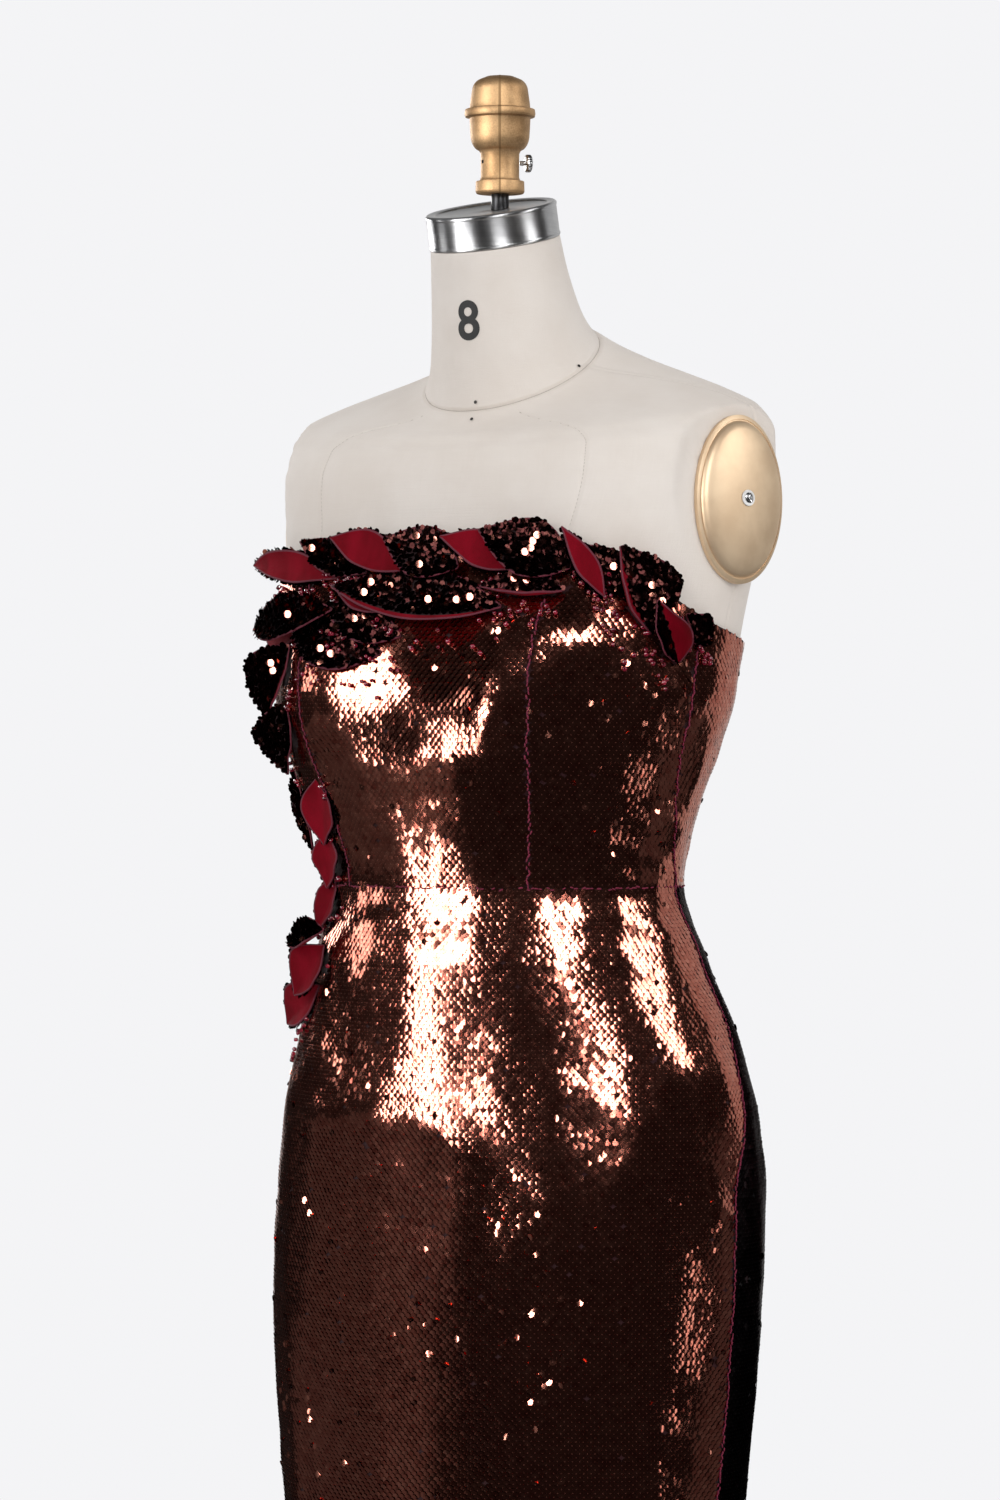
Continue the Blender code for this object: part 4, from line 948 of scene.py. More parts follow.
def arc(centre: tuple[float, float], radii: tuple[float, float], start: float, end: float,
        count: int) -> list[tuple[float, float]]:
    """Points of an elliptic arc in a profile.

    Args:
        centre: Radius and height of the arc's centre.
        radii: Its two radii.
        start: First angle, degrees.
        end: Last angle.
        count: Steps between them.

    Returns:
        The points.
    """
    turns = [math.radians(start + (end - start) * i / count) for i in range(count + 1)]
    return [(centre[0] + radii[0] * math.cos(t), centre[1] + radii[1] * math.sin(t)) for t in turns]


def finish_piece(piece: bpy.types.Object, slot: str, *materials: bpy.types.Material,
                 replaces: Sequence[str] = (), body: str = GOWN_BODY) -> bpy.types.Object:
    """Give a piece its materials and body.

    Args:
        piece: The object.
        slot: The record's material slot; not used.
        materials: Its materials.
        replaces: CAD nodes that it stands for.
        body: The CAD body that it rides on.

    Returns:
        The object.
    """
    slots = np.zeros(len(piece.data.polygons), dtype=np.int32)
    piece.data.polygons.foreach_get("material_index", slots)
    piece.data.materials.clear()
    for material in materials:
        piece.data.materials.append(material)
    piece.data.polygons.foreach_set("material_index", np.minimum(slots, len(materials) - 1))
    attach(piece, body)
    if replaces:
        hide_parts(*replaces)
    log.info("%s: %d faces on %s", piece.name, len(piece.data.polygons), body)
    return piece


def mesh_object(name: str, points: np.ndarray, faces: np.ndarray, smooth: bool = True) -> bpy.types.Object:
    """Make an object from arrays.

    Args:
        name: The object's name.
        points: Vertices, one row each.
        faces: Corner numbers, all faces with as many corners.
        smooth: Whether it is shaded smooth.

    Returns:
        The linked object.
    """
    mesh = bpy.data.meshes.new(name)
    sides = faces.shape[1]
    mesh.vertices.add(len(points))
    mesh.vertices.foreach_set("co", np.ascontiguousarray(points, dtype=np.float32).ravel())
    mesh.loops.add(faces.size)
    mesh.loops.foreach_set("vertex_index", np.ascontiguousarray(faces, dtype=np.int32).ravel())
    mesh.polygons.add(len(faces))
    mesh.polygons.foreach_set("loop_start", np.arange(0, faces.size, sides, dtype=np.int32))
    mesh.update(calc_edges=True)
    mesh.validate()
    if smooth:
        mesh.shade_smooth()
    thing = bpy.data.objects.new(name, mesh)
    bpy.context.scene.collection.objects.link(thing)
    return thing


def wall(name: str, outer: np.ndarray, inner: np.ndarray, place_map: np.ndarray) -> bpy.types.Object:
    """Closed wall of cloth between two grids.

    The outer face takes slot 0, the inner one slot 1 and the cut edge slot 2.

    Args:
        name: The object's name.
        outer: Outer points, rows upwards and columns round.
        inner: Inner points.
        place_map: Two cloth coordinates in metres for each grid point.

    Returns:
        The object.
    """
    rows, columns = outer.shape[:2]
    number = np.arange(rows * columns).reshape(rows, columns)
    other = number + rows * columns
    skin = np.stack([number[:-1, :-1], number[:-1, 1:], number[1:, 1:], number[1:, :-1]], axis=-1)
    back = np.stack([other[:-1, :-1], other[1:, :-1], other[1:, 1:], other[:-1, 1:]], axis=-1)
    skin, back = skin.reshape(-1, 4), back.reshape(-1, 4)
    rim = np.concatenate([
        np.stack([number[0, 1:], number[0, :-1], other[0, :-1], other[0, 1:]], axis=-1),
        np.stack([number[-1, :-1], number[-1, 1:], other[-1, 1:], other[-1, :-1]], axis=-1),
        np.stack([number[:-1, 0], number[1:, 0], other[1:, 0], other[:-1, 0]], axis=-1),
        np.stack([number[1:, -1], number[:-1, -1], other[:-1, -1], other[1:, -1]], axis=-1),
    ])
    faces = np.concatenate([skin, back, rim])
    points = np.concatenate([outer.reshape(-1, 3), inner.reshape(-1, 3)])
    piece = mesh_object(name, points, faces)
    slots = np.repeat(np.array([0, 1, 2], dtype=np.int32), [len(skin), len(back), len(rim)])
    piece.data.polygons.foreach_set("material_index", slots)
    layer = piece.data.uv_layers.new(name=CLOTH_MAP)
    flat = np.concatenate([place_map.reshape(-1, 2)] * 2)
    layer.data.foreach_set("uv", flat[faces.ravel()].astype(np.float32).ravel())
    return piece


# ---- the gown's panels
class Side(Enum):
    """Which side of the body a panel covers."""

    LEFT = 1
    RIGHT = -1
    ACROSS = 0


class Tier(Enum):
    """The three levels of the gown."""

    BODICE = "bodice"
    SKIRT = "skirt"
    FLOUNCE = "flounce"


@dataclass(frozen=True)
class Panel:
    """One cut piece of the gown, and the rectangle and area that it was cut to."""

    name: str
    tier: Tier
    side: Side
    front_seam: Seam | None
    back_seam: Seam
    cut_width: float
    cut_length: float
    cut_area: float
    dark: bool = False


PANELS = tuple(
    Panel(name + word, tier, side, front, back, *cut)
    for name, tier, front, back, *cut in (
        ("bodice_centre_front", Tier.BODICE, None, Seam.PRINCESS, 0.215, 0.25, 0.044),
        ("bodice_side_front", Tier.BODICE, Seam.PRINCESS, Seam.SIDE, 0.175, 0.235, 0.027),
        ("bodice_back", Tier.BODICE, Seam.SIDE, Seam.CENTRE_BACK, 0.26, 0.185, 0.037),
        ("skirt_front", Tier.SKIRT, None, Seam.SIDE, 0.5, 0.625, 0.262),
        ("skirt_back", Tier.SKIRT, Seam.SIDE, Seam.CENTRE_BACK, 0.285, 0.625, 0.146, True),
        ("flounce_centre_front", Tier.FLOUNCE, None, Seam.PRINCESS, 0.43, 0.48, 0.125),
        ("flounce_side_front", Tier.FLOUNCE, Seam.PRINCESS, Seam.SIDE, 0.36, 0.48, 0.102),
        ("flounce_side_back", Tier.FLOUNCE, Seam.SIDE, Seam.BACK_GORE, 0.34, 0.48, 0.097, True),
        ("flounce_centre_back", Tier.FLOUNCE, Seam.BACK_GORE, Seam.CENTRE_BACK, 0.27, 0.48, 0.078, True),
    )
    for word, side in ([("", Side.ACROSS)] if front is None
                       else [("_left", Side.LEFT), ("_right", Side.RIGHT)])
)


@dataclass
class GownPanels:
    """Ground cloth of the gown: each panel a thin creased wall on its solid's form."""

    wardrobe: Wardrobe
    waist_height: float = 1.06
    knee_height: float = 0.45
    hem_height: float = 0.012
    cloth: float = 0.0012
    seam_gap: float = 0.0003
    cell: float = 0.008
    zip_bottom: float = 0.84
    zip_opening: float = 0.05
    zip_half_width: float = 0.0023

    def heights(self, tier: Tier) -> tuple[float, float | None]:
        """Lower and upper height of a tier; the bodice ends at its top edge."""
        return {
            Tier.BODICE: (self.waist_height + self.seam_gap / 2.0, None),
            Tier.SKIRT: (self.knee_height + self.seam_gap / 2.0, self.waist_height - self.seam_gap / 2.0),
            Tier.FLOUNCE: (self.hem_height, self.knee_height - self.seam_gap / 2.0),
        }[tier]

    def zip_half_gap(self, height: np.ndarray) -> np.ndarray:
        """Half of the centre back seam's opening."""
        share = np.clip((height - self.zip_bottom) / self.zip_opening, 0.0, 1.0)
        return self.seam_gap / 2.0 + (self.zip_half_width - self.seam_gap / 2.0) * share

    def edge(self, seam: Seam, height: np.ndarray, inward: float, extra: float = 0.0) -> np.ndarray:
        """Angle of a panel's edge at a seam.

        Args:
            seam: The seam.
            height: Heights along it.
            inward: +1 or -1, the way into the panel.
            extra: More metres to keep clear of the seam.

        Returns:
            The angles.
        """
        angle = SURFACE.seam_angle(seam, height)
        gap = self.seam_gap / 2.0 if seam is not Seam.CENTRE_BACK else self.zip_half_gap(height)
        span = np.linalg.norm(SURFACE.point(angle + 0.5, height) - SURFACE.point(angle - 0.5, height),
                              axis=-1)
        return angle + inward * (gap + extra) / span

    def edges(self, panel: Panel, height: np.ndarray, extra: float = 0.0) -> tuple[np.ndarray, np.ndarray]:
        """First and last angle of a panel at each height."""
        last = self.edge(panel.back_seam, height, -1.0, extra)
        if panel.side is Side.ACROSS:
            return -last, last
        first = self.edge(panel.front_seam, height, 1.0, extra)
        if panel.side is Side.RIGHT:
            return -last, -first
        return first, last

    def grid(self, panel: Panel) -> tuple[np.ndarray, np.ndarray]:
        """Angles and heights of a panel's grid.

        Args:
            panel: The panel.

        Returns:
            Two arrays, rows upwards and columns round.
        """
        columns = int(panel.cut_width / self.cell) + 2
        rows = int(panel.cut_length / self.cell) + 2
        low, high = self.heights(panel.tier)
        share = np.linspace(0.0, 1.0, columns)
        up = np.linspace(0.0, 1.0, rows)[:, None]
        first, last = self.edges(panel, np.full(1, low))
        angle = np.broadcast_to(first[0] * (1.0 - share) + last[0] * share, (rows, columns)).copy()
        for _ in range(3):
            top = np.full(columns, high) if high is not None else SURFACE.top_edge(angle[-1])
            height = low + (top[None, :] - low) * up
            first, last = self.edges(panel, height)
            angle = first * (1.0 - share) + last * share
        return angle, height

    def build(self) -> list[bpy.types.Object]:
        """Make and dress every panel's ground cloth."""
        made = []
        for panel in PANELS:
            angle, height = self.grid(panel)
            outer, normal = SURFACE.laid(angle, height, 0.0)
            inner = outer - normal * self.cloth
            place = np.stack([angle * SURFACE.metres_per_degree, height], axis=-1)
            piece = wall(panel.name + "_ground", outer, inner, place)
            ground = self.wardrobe.night_ground if panel.dark else self.wardrobe.ground
            slot = "black_sequin" if panel.dark else "copper_sequin"
            finish_piece(piece, slot, ground, self.wardrobe.lining, ground, replaces=[panel.name])
            made.append(piece)
        return made


# ---- sequins
class DiscShape(Enum):
    """Outline of a modelled sequin."""

    EIGHT_SIDED = 8
    SIX_SIDED = 6


@dataclass
class SequinDisc:
    """One cupped sequin, modelled once and then copied."""

    shape: DiscShape = DiscShape.EIGHT_SIDED
    cup: float = 0.06

    def build(self) -> Model:
        """Model the disc in the plane of X and Y, facing +Z.

        Returns:
            Its points and its four-cornered faces.
        """
        Bench.clear()
        eight = self.shape is DiscShape.EIGHT_SIDED
        turn = math.radians(22.5 if eight else 30.0)
        half_wide = math.sin(turn) if eight else math.cos(turn) / 2.0
        half_tall = math.cos(turn) if eight else 1.0
        bpy.ops.mesh.primitive_plane_add(size=2.0, location=(0.0 if eight else half_wide, 0.0, 0.0))
        Bench.edit("EDGE", "SELECT")
        Bench.scale(half_wide, half_tall, 1.0)
        middle = bpy.context.object.location.x
        if eight:
            for way in (-1.0, 1.0):
                Bench.pick("edges", lambda c, w=way: c.x * w > half_wide * 0.9)
                Bench.extrude(way * (half_tall - half_wide), 0.0, -self.cup)
                Bench.scale(1.0, half_wide / half_tall, 1.0)
        else:
            Bench.pick("edges", lambda c: c.x > half_wide * 0.9)
            Bench.scale(1.0, 0.5, 1.0)
            bpy.ops.transform.translate(value=(0.0, 0.0, -self.cup))
            Bench.pick("edges", lambda c: c.x < -half_wide * 0.9)
            Bench.extrude(-2.0 * half_wide, 0.0, -self.cup)
            Bench.scale(1.0, 0.5, 1.0)
        Bench.weld()
        points, faces = Bench.release()
        points[:, 0] += middle
        faces = np.array(faces)
        first = faces[0]
        lean = np.cross(points[first[1]] - points[first[0]], points[first[2]] - points[first[0]])[2]
        if lean < 0.0:
            faces = faces[:, ::-1]
        return points, faces


def spread_copies(name: str, model: Model, centres: np.ndarray, axes: np.ndarray,
                  tones: np.ndarray, sizes: np.ndarray | float = 1.0,
                  smooth: bool = False) -> bpy.types.Object:
    """Join many copies of one small model.

    Args:
        name: The object's name.
        model: Points and faces of the model.
        centres: Where each copy goes.
        axes: For each copy its X, Y and Z directions, as rows.
        tones: Tone of each copy, 0 to 1.
        sizes: Size of each copy.
        smooth: Whether the copies are shaded smooth.

    Returns:
        The joined object, with its bake map, disc map and tone.
    """
    points, faces = model[0], np.asarray(model[1])
    count = len(centres)
    sizes = np.broadcast_to(np.asarray(sizes, dtype=float), (count,))
    placed = np.einsum("pk,nkc->npc", points, axes) * sizes[:, None, None] + centres[:, None, :]
    first = (np.arange(count) * len(points))[:, None, None]
    corners = (faces[None, :, :] + first).reshape(-1, faces.shape[1])
    piece = mesh_object(name, placed.reshape(-1, 3), corners, smooth=smooth)
    mesh = piece.data
    reach = np.abs(points[:, :2]).max()
    local = points[:, :2] / reach * 0.5 + 0.5
    cells = int(math.ceil(math.sqrt(count)))
    cell_x = (np.arange(count) % cells)[:, None]
    cell_y = (np.arange(count) // cells)[:, None]
    corner_local = local[faces.ravel()]
    bake = np.stack([(cell_x + 0.08 + 0.84 * corner_local[None, :, 0]) / cells,
                     (cell_y + 0.08 + 0.84 * corner_local[None, :, 1]) / cells], axis=-1)
    mesh.uv_layers.new(name=BAKE_MAP).data.foreach_set("uv", bake.astype(np.float32).ravel())
    disc = np.broadcast_to(corner_local[None], (count, *corner_local.shape))
    mesh.uv_layers.new(name=DISC_MAP).data.foreach_set("uv", disc.astype(np.float32).ravel())
    layer = mesh.attributes.new(name=TONE, type="FLOAT", domain="FACE")
    layer.data.foreach_set("value", np.repeat(tones, len(faces)).astype(np.float32))
    return piece


def tilted_axes(normal: np.ndarray, up: np.ndarray, lean: np.ndarray | float = 0.0,
                roll: np.ndarray | float = 0.0, spin: np.ndarray | float = 0.0) -> np.ndarray:
    """Axes of small pieces that lie on a surface.

    Args:
        normal: Surface normals.
        up: Roughly upward directions.
        lean: Radians that the face turns upwards.
        roll: Radians that it turns sideways.
        spin: Radians about its own normal.

    Returns:
        For each piece its across, up and out directions, as rows.
    """
    up = up - normal * np.sum(up * normal, axis=-1, keepdims=True)
    up /= np.linalg.norm(up, axis=-1, keepdims=True)
    across = np.cross(up, normal)
    lean, roll, spin = (np.broadcast_to(value, len(normal))[:, None] for value in (lean, roll, spin))
    out = normal * np.cos(lean) + up * np.sin(lean)
    high = up * np.cos(lean) - normal * np.sin(lean)
    out_rolled = out * np.cos(roll) + across * np.sin(roll)
    side = across * np.cos(roll) - out * np.sin(roll)
    return np.stack([side * np.cos(spin) + high * np.sin(spin),
                     high * np.cos(spin) - side * np.sin(spin), out_rolled], axis=1)


class NapEdge(NamedTuple):
    """Height at one angle below which the sequins hang the other way, and how far."""

    angle: float
    height: float
    lean: float               # degrees


NAP_EDGES = tuple(NapEdge(*row) for row in (
    (-180, 0.9, -2), (-100, 0.9, -3), (-60, 0.9, -17), (0, 0.908, -18.5), (15, 0.892, -16), (30, 0.85, -11),
    (44, 0.856, -9), (66, 0.94, -14), (95, 0.93, -14), (180, 0.9, -2),
))


class NapPatch(NamedTuple):
    """A place where handling has turned the sequins."""

    angle: float
    height: float
    angle_reach: float
    height_reach: float
    lean: float               # degrees upwards
    roll: float               # degrees towards the form's left
    loose: float = 0.0        # share of sequins that stand at random


NAP_PATCHES = tuple(NapPatch(*row) for row in (
    (8, 1.208, 13, 0.03, 14, 0), (-5, 1.163, 10, 0.022, 0, -13), (18.5, 1.176, 4.5, 0.028, 0, -10),
    (26.5, 1.186, 4.5, 0.03, 0, 9), (22.3, 1.193, 3, 0.028, 13, 0), (11, 1.187, 8, 0.017, 0, -10),
    (-25, 1.156, 10, 0.014, -12, 0), (29, 1.13, 8, 0.05, 0, 6), (-22, 1.24, 26, 0.024, 11, 0),
    (43, 1.2, 12, 0.024, -12, 0, 0.02), (41, 1.239, 13, 0.018, 9, 0, 0.02),
    (57, 1.19, 8, 0.034, 0, -3, 0.15), (36, 1.222, 4, 0.008, -4, 0, 0.2), (72, 1.19, 12, 0.05, 0, 0, 0.12),
    (22, 1.095, 6, 0.04, -4, 6), (62, 1.095, 8, 0.035, 0, 0, 0.14), (24, 0.845, 8, 0.03, 4, -5, 0.14),
    (12, 0.77, 16, 0.03, 0, 0, 0.05), (31, 0.76, 7, 0.05, 3, 0, 0.12), (73, 0.85, 7, 0.018, 12, 0, 0.1),
    (-60, 1.12, 14, 0.04, 3, 4, 0.08), (140, 1.12, 18, 0.05, 3, -4, 0.06),
    (-135, 1.15, 16, 0.04, -4, 3, 0.06), (-40, 0.7, 20, 0.06, 4, 3, 0.05), (60, 0.6, 18, 0.06, 4, -3, 0.05),
))


@dataclass
class SequinRows:
    """Rows of sequins over the panels, each lying half on the row below, like scales."""

    wardrobe: Wardrobe
    panels: GownPanels
    pitch: float = 0.0049
    row_pitch: float = 0.0026
    radius: float = 0.0025
    lean: float = 4.6                 # degrees, lower edge out
    lean_spread: float = 1.5
    roll_spread: float = 1.8
    loose_share: float = 0.014
    loose_spread: float = 15.0
    edge_blend: float = 0.03
    missing_share: float = 0.006
    wander_lean: float = 1.2
    spin_spread: float = 9.0
    tone: float = 0.42
    tone_spread: float = 0.14
    # Painted glint: extra tone for the sequins that stand at random.
    loose_painted_glint: float = 0.3
    out: float = 0.0009
    seam_clear: float = 0.0012
    shadow_reach: float = 0.006
    seed: int = 4

    def row_angles(self, heights: np.ndarray) -> list[np.ndarray]:
        """Angles of the sequins of every row over the left half, at an even spacing round the body.

        Args:
            heights: Height of each row.

        Returns:
            For each row its angles from 0 to 180.
        """
        turns = np.linspace(0.0, 180.0, 541)
        ring = SURFACE.point(turns[None, :], heights[:, None])
        steps = np.linalg.norm(np.diff(ring, axis=1), axis=-1)
        length = np.concatenate([np.zeros((len(heights), 1)), np.cumsum(steps, axis=1)], axis=1)
        rows = []
        for index, run in enumerate(length):
            first = 0.0 if index % 2 == 0 else self.pitch / 2.0
            places = np.arange(first, run[-1], self.pitch)
            rows.append(np.interp(places, run, turns))
        return rows

    def places(self, tier: Tier) -> tuple[np.ndarray, np.ndarray]:
        """Angle and height of every sequin of a tier, all round."""
        low, high = self.panels.heights(tier)
        top = high if high is not None else max(point.height for point in TOP_EDGE)
        heights = np.arange(low + 0.0024, top - 0.0012, self.row_pitch)
        angles, levels = [], []
        for row, height in zip(self.row_angles(heights), heights):
            both = np.concatenate([-row[::-1][:-1] if row[0] == 0.0 else -row[::-1], row])
            angles.append(both)
            levels.append(np.full(len(both), height))
        angle, level = np.concatenate(angles), np.concatenate(levels)
        if tier is Tier.BODICE:
            keep = level < SURFACE.top_edge(angle) - 0.0012
            angle, level = angle[keep], level[keep]
        return angle, level

    def wander(self, angle: np.ndarray, height: np.ndarray) -> np.ndarray:
        """Patchy tilt of the sequins, from -1 to about 1, where the pile was brushed."""
        across = angle * SURFACE.metres_per_degree
        return (0.5 * np.sin(math.tau * (across / 0.041 + height / 0.093) + 0.4)
                + 0.3 * np.sin(math.tau * (across / 0.019 - height / 0.027) + 2.0)
                + 0.3 * np.sin(math.tau * (across / 0.027 + height / 0.019) + 4.1))

    def nap(self, angle: np.ndarray, height: np.ndarray) -> tuple[np.ndarray, np.ndarray, np.ndarray]:
        """How the sequins lie at a place.

        Args:
            angle: Degrees round the body.
            height: Height on the stand's axis.

        Returns:
            Lean and roll in degrees, and the share that stands at random.
        """
        knots = [row.angle for row in NAP_EDGES]
        edge = np.interp(angle, knots, [row.height for row in NAP_EDGES])
        drop = np.interp(angle, knots, [row.lean for row in NAP_EDGES])
        below = np.clip((edge - height) / self.edge_blend + 0.5, 0.0, 1.0)
        lean = self.lean + drop * below * below * (3.0 - 2.0 * below)
        roll = np.zeros_like(lean)
        loose = np.full_like(lean, self.loose_share)
        for patch in NAP_PATCHES:
            apart = (((angle - patch.angle) / patch.angle_reach) ** 2
                     + ((height - patch.height) / patch.height_reach) ** 2)
            near = np.exp(-apart * apart)
            lean += patch.lean * near
            roll += patch.roll * near
            loose += patch.loose * near
        return lean, roll, loose

    def build(self, covers: Sequence[BVHTree]) -> None:
        """Sew the sequins on every panel, leaving out those that a leaf covers.

        Args:
            covers: Surface trees of the leaves.
        """
        eight = SequinDisc(DiscShape.EIGHT_SIDED).build()
        six = SequinDisc(DiscShape.SIX_SIDED).build()
        chance = np.random.default_rng(self.seed)
        for tier in Tier:
            angle, height = self.places(tier)
            for panel in PANELS:
                if panel.tier is not tier:
                    continue
                first, last = self.panels.edges(panel, height, self.seam_clear)
                inside = (angle > first) & (angle < last)
                self.sew(panel, angle[inside], height[inside], six if tier is Tier.FLOUNCE else eight, covers,
                         chance)

    def sew(self, panel: Panel, angle: np.ndarray, height: np.ndarray, disc: Model,
            covers: Sequence[BVHTree], chance: np.random.Generator) -> None:
        """Sew one panel's sequins.

        Args:
            panel: The panel.
            angle: Angle of each sequin.
            height: Height of each.
            disc: The modelled sequin.
            covers: Surface trees of the leaves.
            chance: The random draws.
        """
        kept = chance.random(len(angle)) > self.missing_share
        angle, height = angle[kept], height[kept]
        count = len(angle)
        centre, normal = SURFACE.laid(angle, height, self.out)
        nap_lean, nap_roll, loose_share = self.nap(angle, height)
        loose = chance.random(count) < loose_share
        wander = self.wander(angle, height)
        lean = np.radians(nap_lean + wander * self.wander_lean + chance.normal(0.0, 1.0, count)
                          * np.where(loose, self.loose_spread, self.lean_spread))
        roll = np.radians(nap_roll + chance.normal(0.0, 1.0, count)
                          * np.where(loose, self.loose_spread, self.roll_spread))
        spin = np.radians(chance.normal(0.0, self.spin_spread, count))
        # Sequins that stand at random get a lighter foil, a painted glint.
        tone = np.clip(self.tone + chance.normal(0.0, self.tone_spread, count)
                       + np.where(loose, self.loose_painted_glint, 0.0), 0.0, 1.0)
        if covers:
            clear = np.array([not hidden(place, way, covers, self.shadow_reach)
                              for place, way in zip(centre, normal)])
            centre, normal, lean, roll, spin, tone = (
                value[clear] for value in (centre, normal, lean, roll, spin, tone))
        axes = tilted_axes(normal, UP, lean, roll, spin)
        points, faces = disc
        piece = spread_copies(panel.name + "_sequins", (points * self.radius, faces), centre, axes, tone)
        material = self.wardrobe.night if panel.dark else self.wardrobe.copper
        finish_piece(piece, "black_sequin" if panel.dark else "copper_sequin", material)


def hidden(place: np.ndarray, way: np.ndarray, covers: Sequence[BVHTree], reach: float) -> bool:
    """Whether a leaf lies close over a place.

    Args:
        place: The place.
        way: The way out from the cloth.
        covers: Surface trees of the leaves.
        reach: How far out to look.

    Returns:
        True where one is met.
    """
    start = Vector(place - way * 0.0006)
    return any(tree.ray_cast(start, Vector(way), reach)[0] is not None for tree in covers)


# ---- leaves
class Face(Enum):
    """Which side of a leaf is turned outwards."""

    SEQUIN = "petal_sequin"
    SUEDE = "crimson_suede"


class Leaf(NamedTuple):
    """A leaf petal, sewn down along a line from its root to its tip."""

    root_angle: float
    root_height: float
    tip_angle: float
    tip_height: float
    width: float
    held: float               # share of the width below the sewn line
    lean: float               # degrees that the upper part stands off
    curl_high: float          # degrees that the upper part rolls outwards
    curl_low: float           # degrees that the lower part rolls outwards
    tip_rise: float
    face: Face
    turned: float = 0.0       # share of the width along the lower edge that shows the other face

    def at(self, along: np.ndarray) -> tuple[np.ndarray, np.ndarray]:
        """Angle and height on the sewn line, from the root, 0, to the tip, 1."""
        return (self.root_angle + (self.tip_angle - self.root_angle) * along,
                self.root_height + (self.tip_height - self.root_height) * along)

    def run(self) -> tuple[float, float]:
        """How far the sewn line goes round the body and upwards, in metres."""
        return ((self.tip_angle - self.root_angle) * SURFACE.metres_per_degree,
                self.tip_height - self.root_height)


LEAVES = tuple(Leaf(*row) for row in (
    (-45, 0.992, -66, 0.961, 0.032, 0.45, 45, 15, 10, 0.01, Face.SUEDE),
    (-42, 1.019, -52, 0.983, 0.036, 0.45, 40, 15, 10, 0.008, Face.SUEDE),
    (-47, 1.066, -52, 1.026, 0.028, 0.5, 30, 15, 10, 0.005, Face.SUEDE),
    (-36, 1.028, -60, 1.016, 0.026, 0.5, 10, 20, 80, 0.01, Face.SEQUIN),
    (-44, 1.097, -47, 1.058, 0.032, 0.5, 25, 15, 10, 0.006, Face.SUEDE),
    (-62, 1.14, -66, 1.082, 0.032, 0.45, 20, 20, 10, 0.008, Face.SEQUIN, 0.12),
    (-37, 1.132, -43, 1.089, 0.034, 0.5, 25, 15, 10, 0.006, Face.SUEDE),
    (-42, 1.184, -49, 1.138, 0.04, 0.42, 50, 20, 15, 0.008, Face.SEQUIN),
    (-36, 1.222, -51, 1.174, 0.042, 0.42, 45, 20, 15, 0.008, Face.SEQUIN, 0.1),
    (-86, 1.184, -92, 1.138, 0.032, 0.5, 0, 30, 30, 0.009, Face.SUEDE),
    (-84, 1.238, -94, 1.196, 0.034, 0.5, 0, 30, 30, 0.009, Face.SEQUIN),
    (-34, 1.229, -60, 1.225, 0.02, 0.5, 0, 10, 20, 0.006, Face.SUEDE),
    (-7, 1.215, -36, 1.229, 0.038, 0.5, 0, 5, 30, 0.002, Face.SEQUIN),
    (-2, 1.226, -22, 1.246, 0.03, 0.5, 0, 5, 35, 0.004, Face.SEQUIN),
    (-4, 1.242, -20, 1.258, 0.018, 0.5, 0, 10, 30, 0.003, Face.SUEDE),
    (-18, 1.243, -58, 1.231, 0.034, 0.5, 0, 10, 30, 0.008, Face.SEQUIN),
    (23, 1.243, -20, 1.257, 0.04, 0.5, 0, 5, 45, 0.003, Face.SEQUIN, 0.15),
    (36, 1.254, 16, 1.255, 0.026, 0.5, 0, 10, 110, 0.004, Face.SEQUIN, 0.4),
    (-20, 1.266, -63, 1.276, 0.023, 0.35, 5, 45, 20, 0.018, Face.SUEDE),
    (-12, 1.268, -34, 1.289, 0.025, 0.5, 0, 15, 30, 0.007, Face.SEQUIN),
    (-2, 1.266, -20, 1.287, 0.027, 0.35, 0, 30, 25, 0.008, Face.SUEDE),
    (10, 1.268, -6, 1.286, 0.038, 0.5, 0, 20, 35, 0.008, Face.SEQUIN),
    (22, 1.267, 5, 1.287, 0.026, 0.35, 0, 30, 25, 0.008, Face.SUEDE),
    (36, 1.268, 13, 1.291, 0.043, 0.5, 0, 25, 35, 0.008, Face.SEQUIN),
    (54, 1.25, 36, 1.285, 0.028, 0.45, 0, 20, 20, 0.003, Face.SEQUIN),
    (46, 1.25, 31, 1.294, 0.016, 0.5, 10, 10, 30, 0.009, Face.SUEDE),
    (61, 1.227, 46, 1.283, 0.05, 0.38, 0, 25, 100, 0.008, Face.SEQUIN, 0.27),
    (70, 1.208, 59, 1.248, 0.036, 0.35, 10, 110, 60, 0.009, Face.SUEDE, 0.42),
    (82, 1.222, 70, 1.24, 0.024, 0.5, 0, 40, 30, 0.004, Face.SEQUIN),
))


class StandingDisc(NamedTuple):
    """A larger single sequin that stands up on a leaf, given the full bright foil as a painted highlight."""

    leaf: int
    along: float
    share: float


STANDING_DISCS = tuple(StandingDisc(*row) for row in (
    (9, 0.3, 0.6), (9, 0.37, 0.5), (13, 0.4, 0.3), (13, 0.52, 0.36), (14, 0.55, 0.5), (14, 0.44, 0.66),
    (16, 0.35, 0.5), (17, 0.74, 0.72), (17, 0.76, 0.4), (17, 0.41, 0.45), (17, 0.25, 0.5), (17, 0.18, 0.62),
    (18, 0.6, 0.75), (18, 0.45, 0.7), (20, 0.3, 0.6), (20, 0.75, 0.5), (22, 0.45, 0.24), (22, 0.62, 0.78),
    (24, 0.45, 0.76), (24, 0.47, 0.64), (24, 0.46, 0.52), (24, 0.49, 0.42), (25, 0.5, 0.6), (27, 0.5, 0.6),
    (27, 0.3, 0.7),
))


